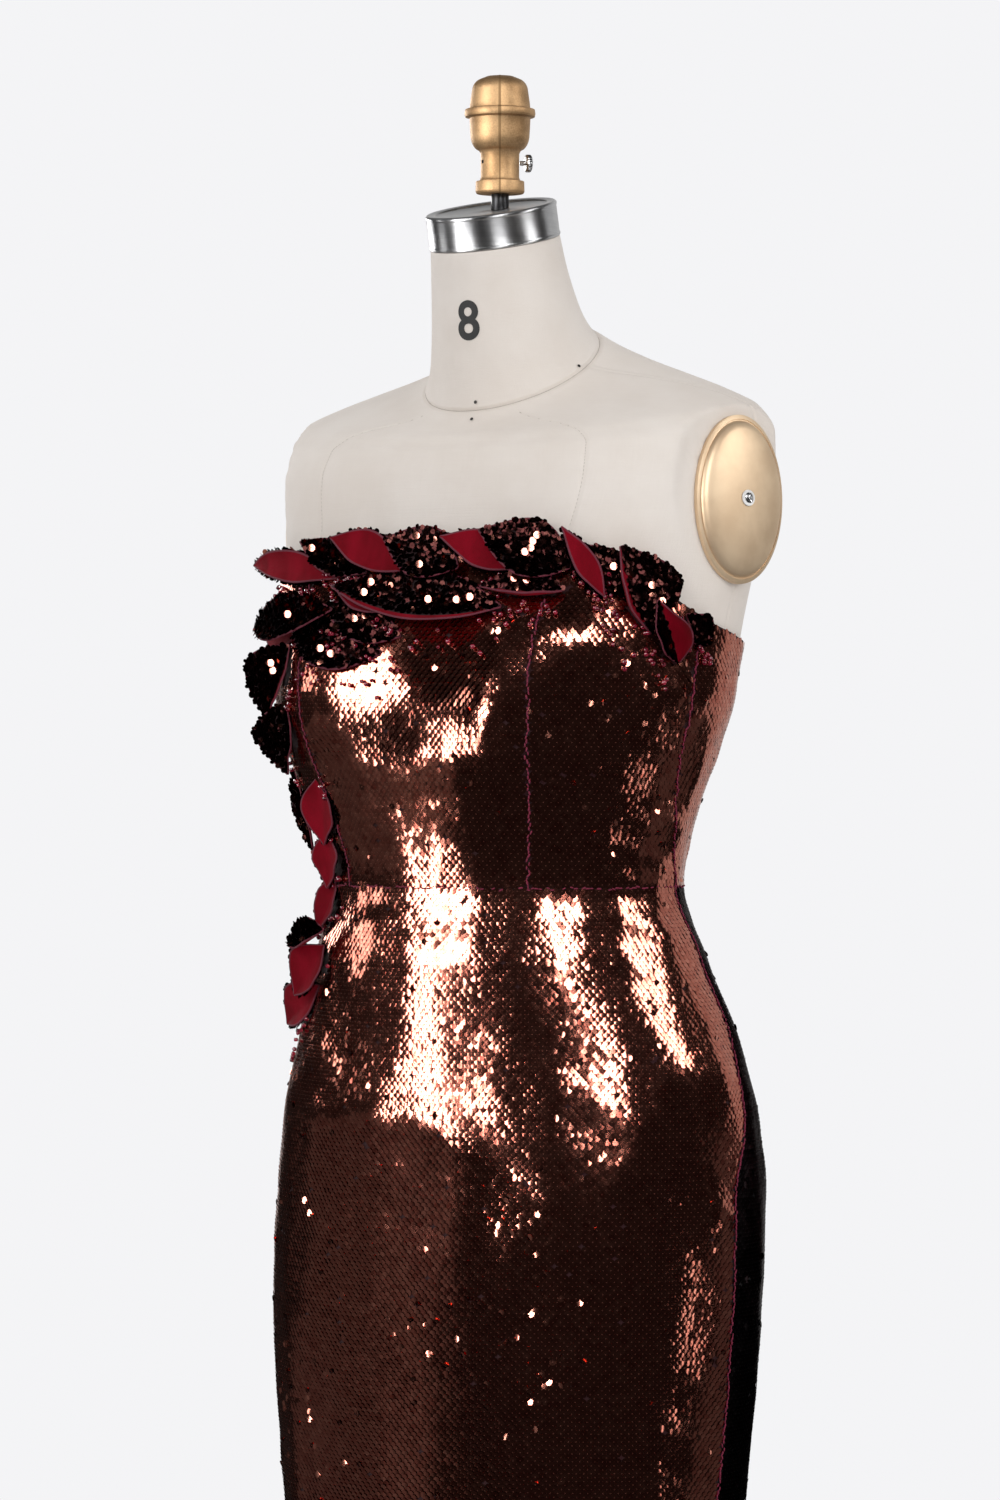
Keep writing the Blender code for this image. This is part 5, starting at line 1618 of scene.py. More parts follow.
@dataclass
class LeafTrim:
    """The leaves along the top edge and down the right side, with their sequins and beads."""

    wardrobe: Wardrobe
    thickness: float = 0.001
    length_cells: int = 26
    width_cells: int = 12
    rim: float = 0.0011               # breadth of the thread along the cut edge
    end_share: float = 0.05
    tip_rise_power: float = 1.6
    curl_steps: int = 12
    disc_radius: float = 0.002
    disc_pitch: float = 0.0033
    disc_row: float = 0.0021
    bead_radius: float = 0.0016
    bead_flatness: float = 0.85
    bead_lift: float = 0.0014
    standing_out: float = 0.0036
    standing_size: float = 1.3
    standing_turn: float = 38.0       # degrees round from the front
    standing_rise: float = 14.0
    wild_share: float = 0.04          # share of the leaf sequins that stand at random
    wild_spread: float = 30.0
    flutter_rise: float = 0.0007
    beads_each: int = 24
    bead_clear: float = 0.012
    seed: int = 11
    trees: list[BVHTree] = field(default_factory=list)
    shifts: list[np.ndarray] = field(default_factory=list)

    def width_share(self, along: np.ndarray) -> np.ndarray:
        """Leaf outline: share of the full width from root to tip."""
        return self.end_share + (1.0 - self.end_share) * np.sin(math.pi * along ** 0.9) ** 1.1

    def sheet_at(self, leaf: Leaf, along: np.ndarray, share: np.ndarray) -> tuple[np.ndarray, np.ndarray]:
        """Middle surface of a leaf.

        Args:
            leaf: The leaf.
            along: Places from root, 0, to tip, 1.
            share: Places across, from the lower edge, 0, to the upper, 1.

        Returns:
            Points and normals.
        """
        def spine_at(place: np.ndarray) -> np.ndarray:
            """Sewn line of the leaf."""
            angle, height = leaf.at(place)
            out = leaf.tip_rise * np.clip(place, 0.0, 1.0) ** self.tip_rise_power
            normal = SURFACE.normal(angle, height)
            return SURFACE.point(angle, height) + normal * out[..., None]
        angle, height = leaf.at(along)
        spine = spine_at(along)
        tangent = spine_at(along + 0.01) - spine_at(along - 0.01)
        tangent /= np.linalg.norm(tangent, axis=-1, keepdims=True)
        normal = SURFACE.normal(angle, height)
        normal = normal - tangent * np.sum(normal * tangent, axis=-1, keepdims=True)
        normal /= np.linalg.norm(normal, axis=-1, keepdims=True)
        upward = np.cross(tangent, normal)
        upward = np.where(upward[..., 2:3] < 0.0, -upward, upward)
        reach = share - leaf.held
        width = leaf.width * self.width_share(along)
        high = reach >= 0.0
        lean = np.where(high, math.radians(leaf.lean), 0.0)
        curl = np.where(high, math.radians(leaf.curl_high) * reach / (1.0 - leaf.held),
                        math.radians(leaf.curl_low) * -reach / leaf.held)
        steps = (np.arange(self.curl_steps) + 0.5) / self.curl_steps
        bend = lean[..., None] + curl[..., None] * steps
        distance = np.abs(reach) * width
        sideways = np.cos(bend).mean(-1) * distance
        outwards = np.sin(bend).mean(-1) * distance
        sign = np.where(high, 1.0, -1.0)
        last = (lean + curl)[..., None]
        point = spine + upward * (sideways * sign)[..., None] + normal * outwards[..., None]
        return point, normal * np.cos(last) - upward * np.sin(last) * sign[..., None]

    def flutter(self, number: int, along: np.ndarray, share: np.ndarray) -> np.ndarray:
        """Small uneven wave of a leaf's edges, in metres, different on every leaf."""
        edge = np.abs(2.0 * share - 1.0) ** 2
        free = np.sin(math.pi * np.clip(along, 0.0, 1.0))
        return self.flutter_rise * edge * free * (np.sin(9.0 * along + 1.7 * number + 2.0 * share)
                                       + 0.6 * np.sin(17.0 * along + 0.9 * number))

    def build_leaf(self, number: int, leaf: Leaf) -> bpy.types.Object:
        """Make one leaf as a finer sheet in its solid's place.

        Args:
            number: Which leaf, from 1.
            leaf: Its sizes.

        Returns:
            The object.
        """
        along = np.linspace(0.0, 1.0, self.length_cells + 1)
        width = leaf.width * self.width_share(along)
        rim = np.clip(self.rim / width, 0.0, 0.35)
        inner = np.linspace(0.0, 1.0, self.width_cells - 1)
        share = np.concatenate([np.zeros((len(along), 1)),
                                rim[:, None] + (1.0 - 2.0 * rim[:, None]) * inner[None, :],
                                np.ones((len(along), 1))], axis=1)
        places = np.broadcast_to(along[:, None], share.shape)
        middle, normal = self.sheet_at(leaf, places, share)
        middle = middle + normal * self.flutter(number, places, share)[..., None]
        node = f"petal_{number:02d}"
        low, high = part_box(node)
        facing = SURFACE.normal(np.array((leaf.root_angle + leaf.tip_angle) / 2.0),
                                   np.array((leaf.root_height + leaf.tip_height) / 2.0))
        own = (middle.reshape(-1, 3).min(0) + middle.reshape(-1, 3).max(0)) / 2.0
        away = (np.array(low) + np.array(high)) / 2.0 - own
        shift = facing * float(away @ facing)
        outer = middle + shift + normal * self.thickness / 2.0
        reverse = middle + shift - normal * self.thickness / 2.0
        self.shifts.append(shift)
        flips = np.cross(outer[1:, :-1] - outer[:-1, :-1], outer[:-1, 1:] - outer[:-1, :-1])
        facing_in = float(np.sum(flips * normal[:-1, :-1])) > 0.0
        if facing_in:
            outer, reverse = outer[:, ::-1], reverse[:, ::-1]
        length = float(np.linalg.norm(np.diff(middle[:, share.shape[1] // 2], axis=0), axis=-1).sum())
        place = np.stack([places * length, share * width[:, None]], axis=-1)
        piece = wall(f"leaf_{number:02d}", outer, reverse, place)
        middles = (share[:-1, :-1] + share[1:, 1:]) / 2.0
        self.mark_faces(piece, middles[:, ::-1] if facing_in else middles, leaf.turned)
        out_side, in_side = self.wardrobe.leaf_ground, self.wardrobe.suede
        if leaf.face is Face.SUEDE:
            out_side, in_side = in_side, out_side
        finish_piece(piece, leaf.face.value, out_side, in_side, self.wardrobe.overlock, replaces=[node])
        self.trees.append(BVHTree.FromPolygons([v.co for v in piece.data.vertices],
                                               [f.vertices for f in piece.data.polygons]))
        return piece

    @staticmethod
    def mark_faces(piece: bpy.types.Object, share: np.ndarray, turned: float) -> None:
        """Give a leaf's edge cells to the edge thread, and its turned part to the other face.

        Args:
            piece: The leaf.
            share: Where each cell of its outer face lies across its width.
            turned: How much of the width is turned.
        """
        count = share.size
        slots = np.empty(len(piece.data.polygons), dtype=np.int32)
        piece.data.polygons.foreach_get("material_index", slots)
        front = np.where(share < turned, 1, 0)
        back = np.ones_like(front)
        for grid in (front, back):
            grid[:, 0] = 2
            grid[:, -1] = 2
        slots[:count] = front.ravel()
        slots[count:2 * count] = back.ravel()
        piece.data.polygons.foreach_set("material_index", slots)

    def leaf_discs(self, leaf: Leaf, chance: np.random.Generator) -> tuple[np.ndarray, ...]:
        """Places of the sequins on a leaf.

        Args:
            leaf: The leaf.
            chance: The random draws.

        Returns:
            Places along and across, and for each whether it lies on the outward face.
        """
        length = 0.001 + math.hypot(*leaf.run())
        rows = np.arange(0.03, 0.985, self.disc_row / length)
        along, share = [], []
        for index, row in enumerate(rows):
            width = leaf.width * float(self.width_share(np.array(row)))
            start = (0.5 if index % 2 else 0.0) * self.disc_pitch
            across = np.arange(start, width + 0.0004, self.disc_pitch)
            along.append(np.full(len(across), row))
            share.append(across / width)
        along, share = np.concatenate(along), np.concatenate(share)
        along = along + chance.normal(0.0, 0.0004, len(along)) / length
        share = np.clip(share + chance.normal(0.0, 0.0005, len(share)) / leaf.width, 0.0, 1.0)
        along = np.clip(along, 0.0, 1.0)
        if leaf.face is Face.SUEDE:
            edge = np.minimum(share, 1.0 - share) * leaf.width * self.width_share(along)
            outward = share < leaf.turned - 0.03
            keep = (edge < 0.003) | outward
            return along[keep], share[keep], outward[keep]
        keep = share > leaf.turned
        return along[keep], share[keep], np.ones(int(keep.sum()), dtype=bool)

    def build_discs(self, disc: Model) -> None:
        """Sew the clustered small sequins on every leaf, joined into one piece; those that stand up get the
        bright foil as painted glints.
        """
        chance = np.random.default_rng(self.seed)
        centres, normals, ups = [], [], []
        for number, leaf in enumerate(LEAVES, start=1):
            along, share, outward = self.leaf_discs(leaf, chance)
            point, normal = self.sheet_at(leaf, along, share)
            point = point + normal * self.flutter(number, along, share)[:, None] + self.shifts[number - 1]
            way = np.where(outward, 1.0, -1.0)[:, None]
            normal = normal * way
            lift = self.thickness / 2.0 + 0.0005 + np.abs(chance.normal(0.0, 0.0003, len(along)))
            centre = point + normal * lift[:, None]
            ahead, _ = self.sheet_at(leaf, along + 0.02, share)
            centres.append(centre)
            normals.append(normal)
            ups.append(ahead - point + self.shifts[number - 1])
        centre, normal, up = np.concatenate(centres), np.concatenate(normals), np.concatenate(ups)
        count = len(centre)
        wild = chance.random(count) < self.wild_share
        lean = np.radians(6.0 + chance.normal(0.0, 1.0, count) * np.where(wild, self.wild_spread, 9.0))
        roll = np.radians(chance.normal(0.0, 1.0, count) * np.where(wild, self.wild_spread, 10.0))
        axes = tilted_axes(normal, up, lean, roll, np.radians(chance.normal(0.0, 25.0, count)))
        # Painted glint: the leaf sequins that stand at random get the bright end of the foil, the others stay
        # near-black.
        tone = np.where(wild, chance.uniform(0.35, 1.0, count), 0.03 * chance.random(count) ** 2.0)
        size = chance.uniform(0.8, 1.08, count) * np.where(wild, 1.25, 1.0)
        lone, facing = self.standing_discs(chance)
        flat = np.zeros(len(lone))
        centre = np.concatenate([centre, lone])
        axes = np.concatenate([axes, tilted_axes(facing, UP)])
        # Painted highlight: the standing sequins take the full bright foil.
        tone = np.concatenate([tone, flat + 1.0])
        size = np.concatenate([size, flat + self.standing_size])
        points, faces = disc
        piece = spread_copies("leaf_sequins", (points * self.disc_radius, faces), centre, axes, tone, size)
        finish_piece(piece, "petal_sequin", self.wardrobe.leaf_foil)

    def standing_discs(self, chance: np.random.Generator) -> tuple[np.ndarray, np.ndarray]:
        """Places of the single sequins that stand up on the leaves.

        Args:
            chance: The random draws.

        Returns:
            Centres and the directions that they face.
        """
        centres = []
        for row in STANDING_DISCS:
            place = np.array((row.along,)), np.array((row.share,))
            point, normal = self.sheet_at(LEAVES[row.leaf - 1], *place)
            centres.append((point + normal * self.standing_out + self.shifts[row.leaf - 1])[0])
        turn = np.radians(self.standing_turn + chance.normal(0.0, 2.5, len(centres)))
        rise = np.radians(self.standing_rise + chance.normal(0.0, 2.0, len(centres)))
        facing = np.stack([np.sin(turn) * np.cos(rise), -np.cos(turn) * np.cos(rise), np.sin(rise)], axis=-1)
        return np.array(centres), facing

    def build_beads(self) -> None:
        """Scatter seed beads and loose sequins on the gown round the leaves' edges."""
        chance = np.random.default_rng(self.seed + 1)
        angles, heights = [], []
        for leaf in LEAVES:
            count = self.beads_each
            along = chance.uniform(-0.02, 1.05, count)
            below = leaf.width * (0.45 + chance.uniform(0.0, 0.4, count))
            side = np.where(chance.random(count) < 0.72, -1.0, 1.0)
            angle, height = leaf.at(along)
            slope = abs(leaf.run()[0]) / math.hypot(*leaf.run())
            height = height + side * below * slope
            angle = angle + below * (1.0 - slope) / SURFACE.metres_per_degree * side
            angles.append(angle)
            heights.append(height)
        angle, height = np.concatenate(angles), np.concatenate(heights)
        fits = height < SURFACE.top_edge(angle) - 0.004
        angle, height = angle[fits], height[fits]
        centre, normal = SURFACE.laid(angle, height, self.bead_lift + self.bead_radius)
        clear = np.array([not hidden(place, way, self.trees, self.bead_clear)
                          for place, way in zip(centre, normal)])
        centre, normal = centre[clear], normal[clear]
        count = len(centre)
        axes = tilted_axes(normal, UP, chance.normal(0.0, 0.5, count), chance.normal(0.0, 0.5, count),
                           chance.uniform(0.0, math.pi, count))
        piece = spread_copies("seed_beads", self.model_bead(), centre, axes,
                              chance.uniform(0.0, 1.0, count), chance.uniform(0.8, 1.15, count), smooth=True)
        finish_piece(piece, "petal_sequin", self.wardrobe.bead)

    def model_bead(self) -> Model:
        """Model one drilled seed bead.

        Returns:
            Its points and four-cornered faces.
        """
        Bench.clear()
        bpy.ops.mesh.primitive_cylinder_add(vertices=8, radius=0.55, depth=1.5, end_fill_type="NOTHING")
        Bench.edit("EDGE", "DESELECT")
        for way in (-1.0, 1.0):
            Bench.pick("edges", lambda c, w=way: c.z * w > 0.7)
            Bench.scale(1.6, 1.6, 0.55)
            Bench.pick("edges", lambda c, w=way: c.z * w > 0.7)
            Bench.extrude(0.0, 0.0, way * 0.3)
            Bench.scale(0.36, 0.36, 1.0)
        Bench.weld()
        points, faces = Bench.release()
        points[:, 2] *= self.bead_flatness
        return points * self.bead_radius, faces

    def build(self, disc: Model) -> None:
        """Make every leaf, its sequins and the beads.

        Args:
            disc: The modelled sequin.
        """
        for number, leaf in enumerate(LEAVES, start=1):
            self.build_leaf(number, leaf)
        self.build_discs(disc)
        self.build_beads()


# ---- seams
@dataclass
class SeamThreads:
    """Thread stitches that show between the sequins along the gown's seams."""

    wardrobe: Wardrobe
    panels: GownPanels
    pitch: float = 0.0026
    length: float = 0.003
    radius: float = 0.00055
    out: float = 0.0014
    ring_out: float = 0.0009
    ring_share: float = 0.6
    scatter: float = 0.0006
    seed: int = 21

    def model_stitch(self) -> Model:
        """Model one stitch: a short four-sided thread with drawn-in ends.

        Returns:
            Its points and four-cornered faces.
        """
        Bench.clear()
        bpy.ops.mesh.primitive_cylinder_add(vertices=4, radius=self.radius, depth=self.length * 0.6,
                                            rotation=(math.pi / 2.0, 0.0, 0.0))
        bpy.ops.object.transform_apply(location=False, rotation=True, scale=False)
        Bench.edit("FACE")
        for way in (-1.0, 1.0):
            Bench.pick("faces", lambda c, w=way: c.y * w > self.length * 0.29)
            Bench.extrude(0.0, way * self.length * 0.2, -self.radius * 0.6)
            Bench.scale(0.45, 1.0, 0.45)
        Bench.weld()
        return Bench.release()

    def upright_runs(self) -> list[tuple[np.ndarray, np.ndarray]]:
        """Angles and heights along every upright seam."""
        tiers = {
            Seam.PRINCESS: ((0.014, 0.449), (1.061, 1.29)),
            Seam.SIDE: ((0.014, 1.229),),
            Seam.BACK_GORE: ((0.014, 0.449),),
            Seam.CENTRE_BACK: ((0.014, 0.885),),
        }
        runs = []
        for seam, spans in tiers.items():
            for low, high in spans:
                height = np.arange(low, high, self.pitch)
                angle = SURFACE.seam_angle(seam, height)
                sides = (1.0,) if seam is Seam.CENTRE_BACK else (1.0, -1.0)
                runs += [(angle * side, height) for side in sides]
        return runs

    def ring_runs(self) -> list[tuple[np.ndarray, np.ndarray]]:
        """Angles and heights along the waist and knee seams."""
        runs = []
        for height in (self.panels.waist_height, self.panels.knee_height):
            turns = np.linspace(-179.0, 179.0, 1441)
            ring = SURFACE.point(turns, np.full_like(turns, height))
            length = np.concatenate([[0.0], np.cumsum(np.linalg.norm(np.diff(ring, axis=0), axis=-1))])
            angle = np.interp(np.arange(0.0, length[-1], self.pitch), length, turns)
            runs.append((angle, np.full_like(angle, height)))
        return runs

    def build(self, covers: Sequence[BVHTree]) -> None:
        """Sew the stitches, but for those under a leaf.

        Args:
            covers: Surface trees of the leaves.
        """
        chance = np.random.default_rng(self.seed)
        centres, normals, ways = [], [], []
        runs = [(*run, self.out, 1.0) for run in self.upright_runs()]
        runs += [(*run, self.ring_out, self.ring_share) for run in self.ring_runs()]
        for angle, height, out, kept in runs:
            drawn = chance.random(len(angle)) < kept
            angle, height = angle[drawn], height[drawn]
            centre, normal = SURFACE.laid(angle, height, out)
            ways.append(np.gradient(centre, axis=0))
            centres.append(centre)
            normals.append(normal)
        centre, normal, way = np.concatenate(centres), np.concatenate(normals), np.concatenate(ways)
        count = len(centre)
        way /= np.linalg.norm(way, axis=-1, keepdims=True)
        centre = centre + np.cross(normal, way) * chance.normal(0.0, self.scatter, count)[:, None]
        clear = np.array([not hidden(place, out, covers, 0.006) for place, out in zip(centre, normal)])
        centre, normal, way = centre[clear], normal[clear], way[clear]
        count = len(centre)
        axes = tilted_axes(normal, way, chance.normal(0.0, 0.1, count), chance.normal(0.0, 0.2, count),
                           chance.normal(0.0, 0.24, count))
        piece = spread_copies("seam_stitches", self.model_stitch(), centre, axes, chance.random(count),
                              chance.uniform(0.85, 1.2, count), smooth=True)
        finish_piece(piece, "crimson_suede", self.wardrobe.thread)


# ---- the dress form
@dataclass
class DressForm:
    """Covered torso with its seams, size number and pin holes."""

    wardrobe: Wardrobe
    cloth: float = 0.0018
    ease: float = 0.0008
    bottom: float = 0.72
    hidden_top: float = 1.2
    free_height: float = 1.31
    free_rise: float = 0.03
    columns: int = 150
    princess_turn: float = 31.5       # degrees round, where the cover's front seams run
    side_turn: float = 90.0
    neck_seam: float = 1.402
    groove_half: float = 0.0011       # half breadth of a pulled-in seam
    cloth_scale: float = 0.0024       # metres of cover for a degree
    number_turn: float = 4.6
    number_height: float = 1.4546
    number_size: float = 0.0365
    number_out: float = 0.00025
    pin_radius: float = 0.0012
    pins: tuple[tuple[float, float], ...] = ((8.0, 1.4068), (5.5, 1.3962), (84.0, 1.4045))
    plate_centre: Vector = field(default_factory=lambda: Vector((0.172, 0.023, 1.317)))
    plate_half_width: float = 0.0375
    plate_half_height: float = 0.0565
    plate_yaw: float = 18.0
    plate_lean: float = 4.0
    plate_roll: float = 6.0
    cut_margin: float = 1.3
    cut_blend: float = 0.35

    def arm_plane(self, side: float) -> tuple[Vector, Vector, Vector, Vector]:
        """Centre, outward normal, width and height directions of one arm's cut."""
        centre = Vector((self.plate_centre.x * side, self.plate_centre.y, self.plate_centre.z))
        yaw = math.radians(self.plate_yaw)
        normal = Vector((math.cos(yaw) * side, -math.sin(yaw),
                         math.sin(math.radians(self.plate_lean)))).normalized()
        tall = Vector((0.0, math.sin(math.radians(self.plate_roll)), 1.0))
        tall = (tall - normal * tall.dot(normal)).normalized()
        return centre, normal, tall.cross(normal).normalized(), tall

    def cut_arms(self, points: np.ndarray) -> np.ndarray:
        """Flatten the surface under each arm plate onto the plate's plane."""
        for side in (-1.0, 1.0):
            centre, normal, wide, tall = self.arm_plane(side)
            away = points - np.array(centre)
            past = np.clip(away @ np.array(normal), 0.0, None)
            across = away @ np.array(wide) / self.plate_half_width
            along = away @ np.array(tall) / self.plate_half_height
            beyond = np.clip((np.hypot(across, along) - self.cut_margin) / self.cut_blend, 0.0, 1.0)
            flat = 1.0 - beyond * beyond * (3.0 - 2.0 * beyond)
            points = points - (past * flat)[..., None] * np.array(normal)
        return points

    def seam_groove(self, angle: np.ndarray, height: np.ndarray) -> np.ndarray:
        """Depth of the cover's pulled-in seams: the princess seams and the ring at the neck's base."""
        princess = (np.abs(angle) - self.princess_turn) * 0.0022
        side = (np.abs(angle) - self.side_turn) * 0.0025
        neck = height - self.neck_seam
        fade = np.clip((1.398 - height) / 0.01, 0.0, 1.0)
        return (0.0007 * np.exp(-((princess / self.groove_half) ** 2)) * fade
                + 0.0006 * np.exp(-((side / self.groove_half) ** 2)) * fade
                + 0.0016 * np.exp(-((neck / self.groove_half) ** 2)))

    def wrinkle(self, angle: np.ndarray, height: np.ndarray) -> np.ndarray:
        """Faint pulls of the cover at the shoulders, and its slight unevenness."""
        shoulder = np.exp(-(((np.abs(angle) - 66.0) / 20.0) ** 2) - ((height - 1.352) / 0.02) ** 2)
        ripple = np.sin(np.abs(angle) * 0.55 + height * 420.0)
        slow = np.sin(angle * 0.13 + 1.0) * np.sin(height * 95.0 + angle * 0.05)
        return 0.00045 * shoulder * ripple + 0.00018 * slow

    def cover(self, angle: np.ndarray, height: np.ndarray) -> np.ndarray:
        """Point of the form's cover, without its fine relief."""
        free = np.clip((height - self.free_height) / self.free_rise, 0.0, 1.0)
        under = -(self.cloth + self.ease) * (1.0 - free)
        normal = SURFACE.normal(angle, height)
        return self.cut_arms(SURFACE.point(angle, height) + normal * under[..., None])

    def dressed(self, angle: np.ndarray, height: np.ndarray, out: float = 0.0) -> np.ndarray:
        """Point of the cover with its seams and wrinkles, moved out."""
        normal = SURFACE.normal_of(self.cover, angle, height)
        fine = self.wrinkle(angle, height) * (height > self.free_height - 0.02)
        fine = fine - self.seam_groove(angle, height)
        return self.cover(angle, height) + normal * (fine + out)[..., None]

    def build_cover(self) -> bpy.types.Object:
        """Make the covered torso, closed at the bottom and the neck."""
        low = np.linspace(self.bottom, self.hidden_top, 49)
        chest = np.linspace(self.hidden_top, 1.345, 54)
        shoulder = np.linspace(1.345, 1.3975, 40)
        fold = np.linspace(1.3975, 1.4065, 19)
        neck = np.linspace(1.4065, 1.495, 36)
        heights = np.concatenate([low[:-1], chest[:-1], shoulder[:-1], fold[:-1], neck])
        near = np.array((-1.2, -0.6, -0.25, 0.25, 0.6, 1.2))
        seams = np.concatenate([near + line for line in (-self.side_turn, -self.princess_turn,
                                                           self.princess_turn, self.side_turn)])
        turns = np.unique(np.concatenate([np.linspace(-180.0, 180.0, self.columns + 1)[:-1], seams]))
        angle, height = np.meshgrid(turns, heights)
        rings = self.dressed(angle, height)
        rows, columns = angle.shape
        number = np.arange(rows * columns).reshape(rows, columns)
        right = np.roll(number, -1, axis=1)
        faces = np.stack([number[:-1], right[:-1], right[1:], number[1:]], axis=-1).reshape(-1, 4)
        points = rings.reshape(-1, 3)
        piece = mesh_object("form_cover", points, faces)
        layer = piece.data.uv_layers.new(name=CLOTH_MAP)
        flat = np.stack([(angle * self.cloth_scale).ravel(), points[:, 2]], axis=-1)
        first = faces[:, 0]
        corner = flat[faces.ravel()].reshape(-1, 4, 2)
        wraps = corner[:, :, 0] - flat[first][:, None, 0] < -0.1
        corner[:, :, 0] += wraps * 360.0 * self.cloth_scale
        layer.data.foreach_set("uv", corner.astype(np.float32).ravel())
        Bench.take(piece)
        Bench.edit("EDGE", "DESELECT")
        bpy.ops.mesh.select_non_manifold()
        bpy.ops.mesh.fill_holes(sides=0)
        bpy.ops.mesh.select_all(action="SELECT")
        bpy.ops.mesh.normals_make_consistent(inside=False)
        Bench.done()
        Bench.shade(50.0)
        return finish_piece(piece, "linen", self.wardrobe.linen, replaces=["form_body"])

    def build_number(self) -> None:
        """Print the dress size on the front of the neck."""
        Bench.clear()
        bpy.ops.object.text_add(rotation=(math.pi / 2.0, 0.0, 0.0))
        words = bpy.context.object
        words.data.body = "8"
        words.data.size = self.number_size
        words.data.align_x = "CENTER"
        words.data.align_y = "CENTER"
        words.data.extrude = 0.0001
        words.data.offset = 0.0007
        words.data.resolution_u = 8
        bpy.ops.object.convert(target="MESH")
        piece = bpy.context.object
        Bench.edit("FACE", "SELECT")
        bpy.ops.mesh.quads_convert_to_tris()
        bpy.ops.mesh.subdivide(number_cuts=2)
        Bench.done()
        mesh = piece.data
        local = np.array([vertex.co for vertex in mesh.vertices])
        angle = self.number_turn + local[:, 0] * 0.93 / 0.00083
        height = self.number_height + local[:, 1] * 0.865
        out = (self.number_out + local[:, 2])[:, None]
        placed = self.dressed(angle, height) + SURFACE.normal_of(self.cover, angle, height) * out
        piece.matrix_world = Matrix.Identity(4)
        for vertex, point in zip(mesh.vertices, placed):
            vertex.co = point
        mesh.update()
        piece.name = "size_number"
        Bench.clear()
        finish_piece(piece, "black_steel", self.wardrobe.ink)

    def build_seam_threads(self) -> None:
        """Lay the fine stitches in the cover's seams."""
        runs = []
        turns = np.arange(-180.0, 180.0, 1.7)
        runs.append((turns, np.full_like(turns, self.neck_seam)))
        heights = np.arange(1.3, 1.398, 0.0028)
        for angle in (self.princess_turn, -self.princess_turn):
            runs.append((np.full_like(heights, angle), heights))
        centres, normals, ways = [], [], []
        for angle, height in runs:
            centre = self.dressed(angle, height, 0.0001)
            centres.append(centre)
            normals.append(SURFACE.normal_of(self.cover, angle, height))
            ways.append(np.gradient(centre, axis=0))
        centre, normal, way = np.concatenate(centres), np.concatenate(normals), np.concatenate(ways)
        stitch = SeamThreads(self.wardrobe, GownPanels(self.wardrobe), length=0.0021, radius=0.00022)
        piece = spread_copies("cover_stitches", stitch.model_stitch(), centre, tilted_axes(normal, way),
                              np.full(len(centre), 0.5), smooth=True)
        finish_piece(piece, "linen", self.wardrobe.linen_seam)

    def build_pins(self) -> None:
        """Press the small pin holes into the cover by the neck's seam, each a near-black disc of painted
        shade.
        """
        centres, normals = [], []
        for angle, height in self.pins:
            place = np.array((angle,)), np.array((height,))
            centres.append(self.dressed(*place, 0.0007)[0])
            normals.append(SURFACE.normal_of(self.cover, *place)[0])
        Bench.clear()
        bpy.ops.mesh.primitive_circle_add(vertices=10, radius=self.pin_radius, fill_type="NGON")
        Bench.edit("FACE", "SELECT")
        bpy.ops.mesh.inset(thickness=0.0003, depth=-0.0002)
        points, faces = Bench.release()
        sides = [face for face in faces if len(face) == 4]
        middle = next(face for face in faces if len(face) > 4)
        sides += [[middle[0], *middle[i:i + 3]] for i in range(1, len(middle) - 2, 2)]
        centre, normal = np.array(centres), np.array(normals)
        piece = spread_copies("pin_holes", (points, sides), centre, tilted_axes(normal, UP),
                              np.zeros(len(centre)))
        # The holes take painted shade: a near-black disc stands in for the shade inside each hole.
        finish_piece(piece, "black_steel", self.wardrobe.hole_painted_shade)

    def build(self) -> None:
        """Make the whole torso."""
        self.build_cover()
        self.build_number()
        self.build_seam_threads()
        self.build_pins()


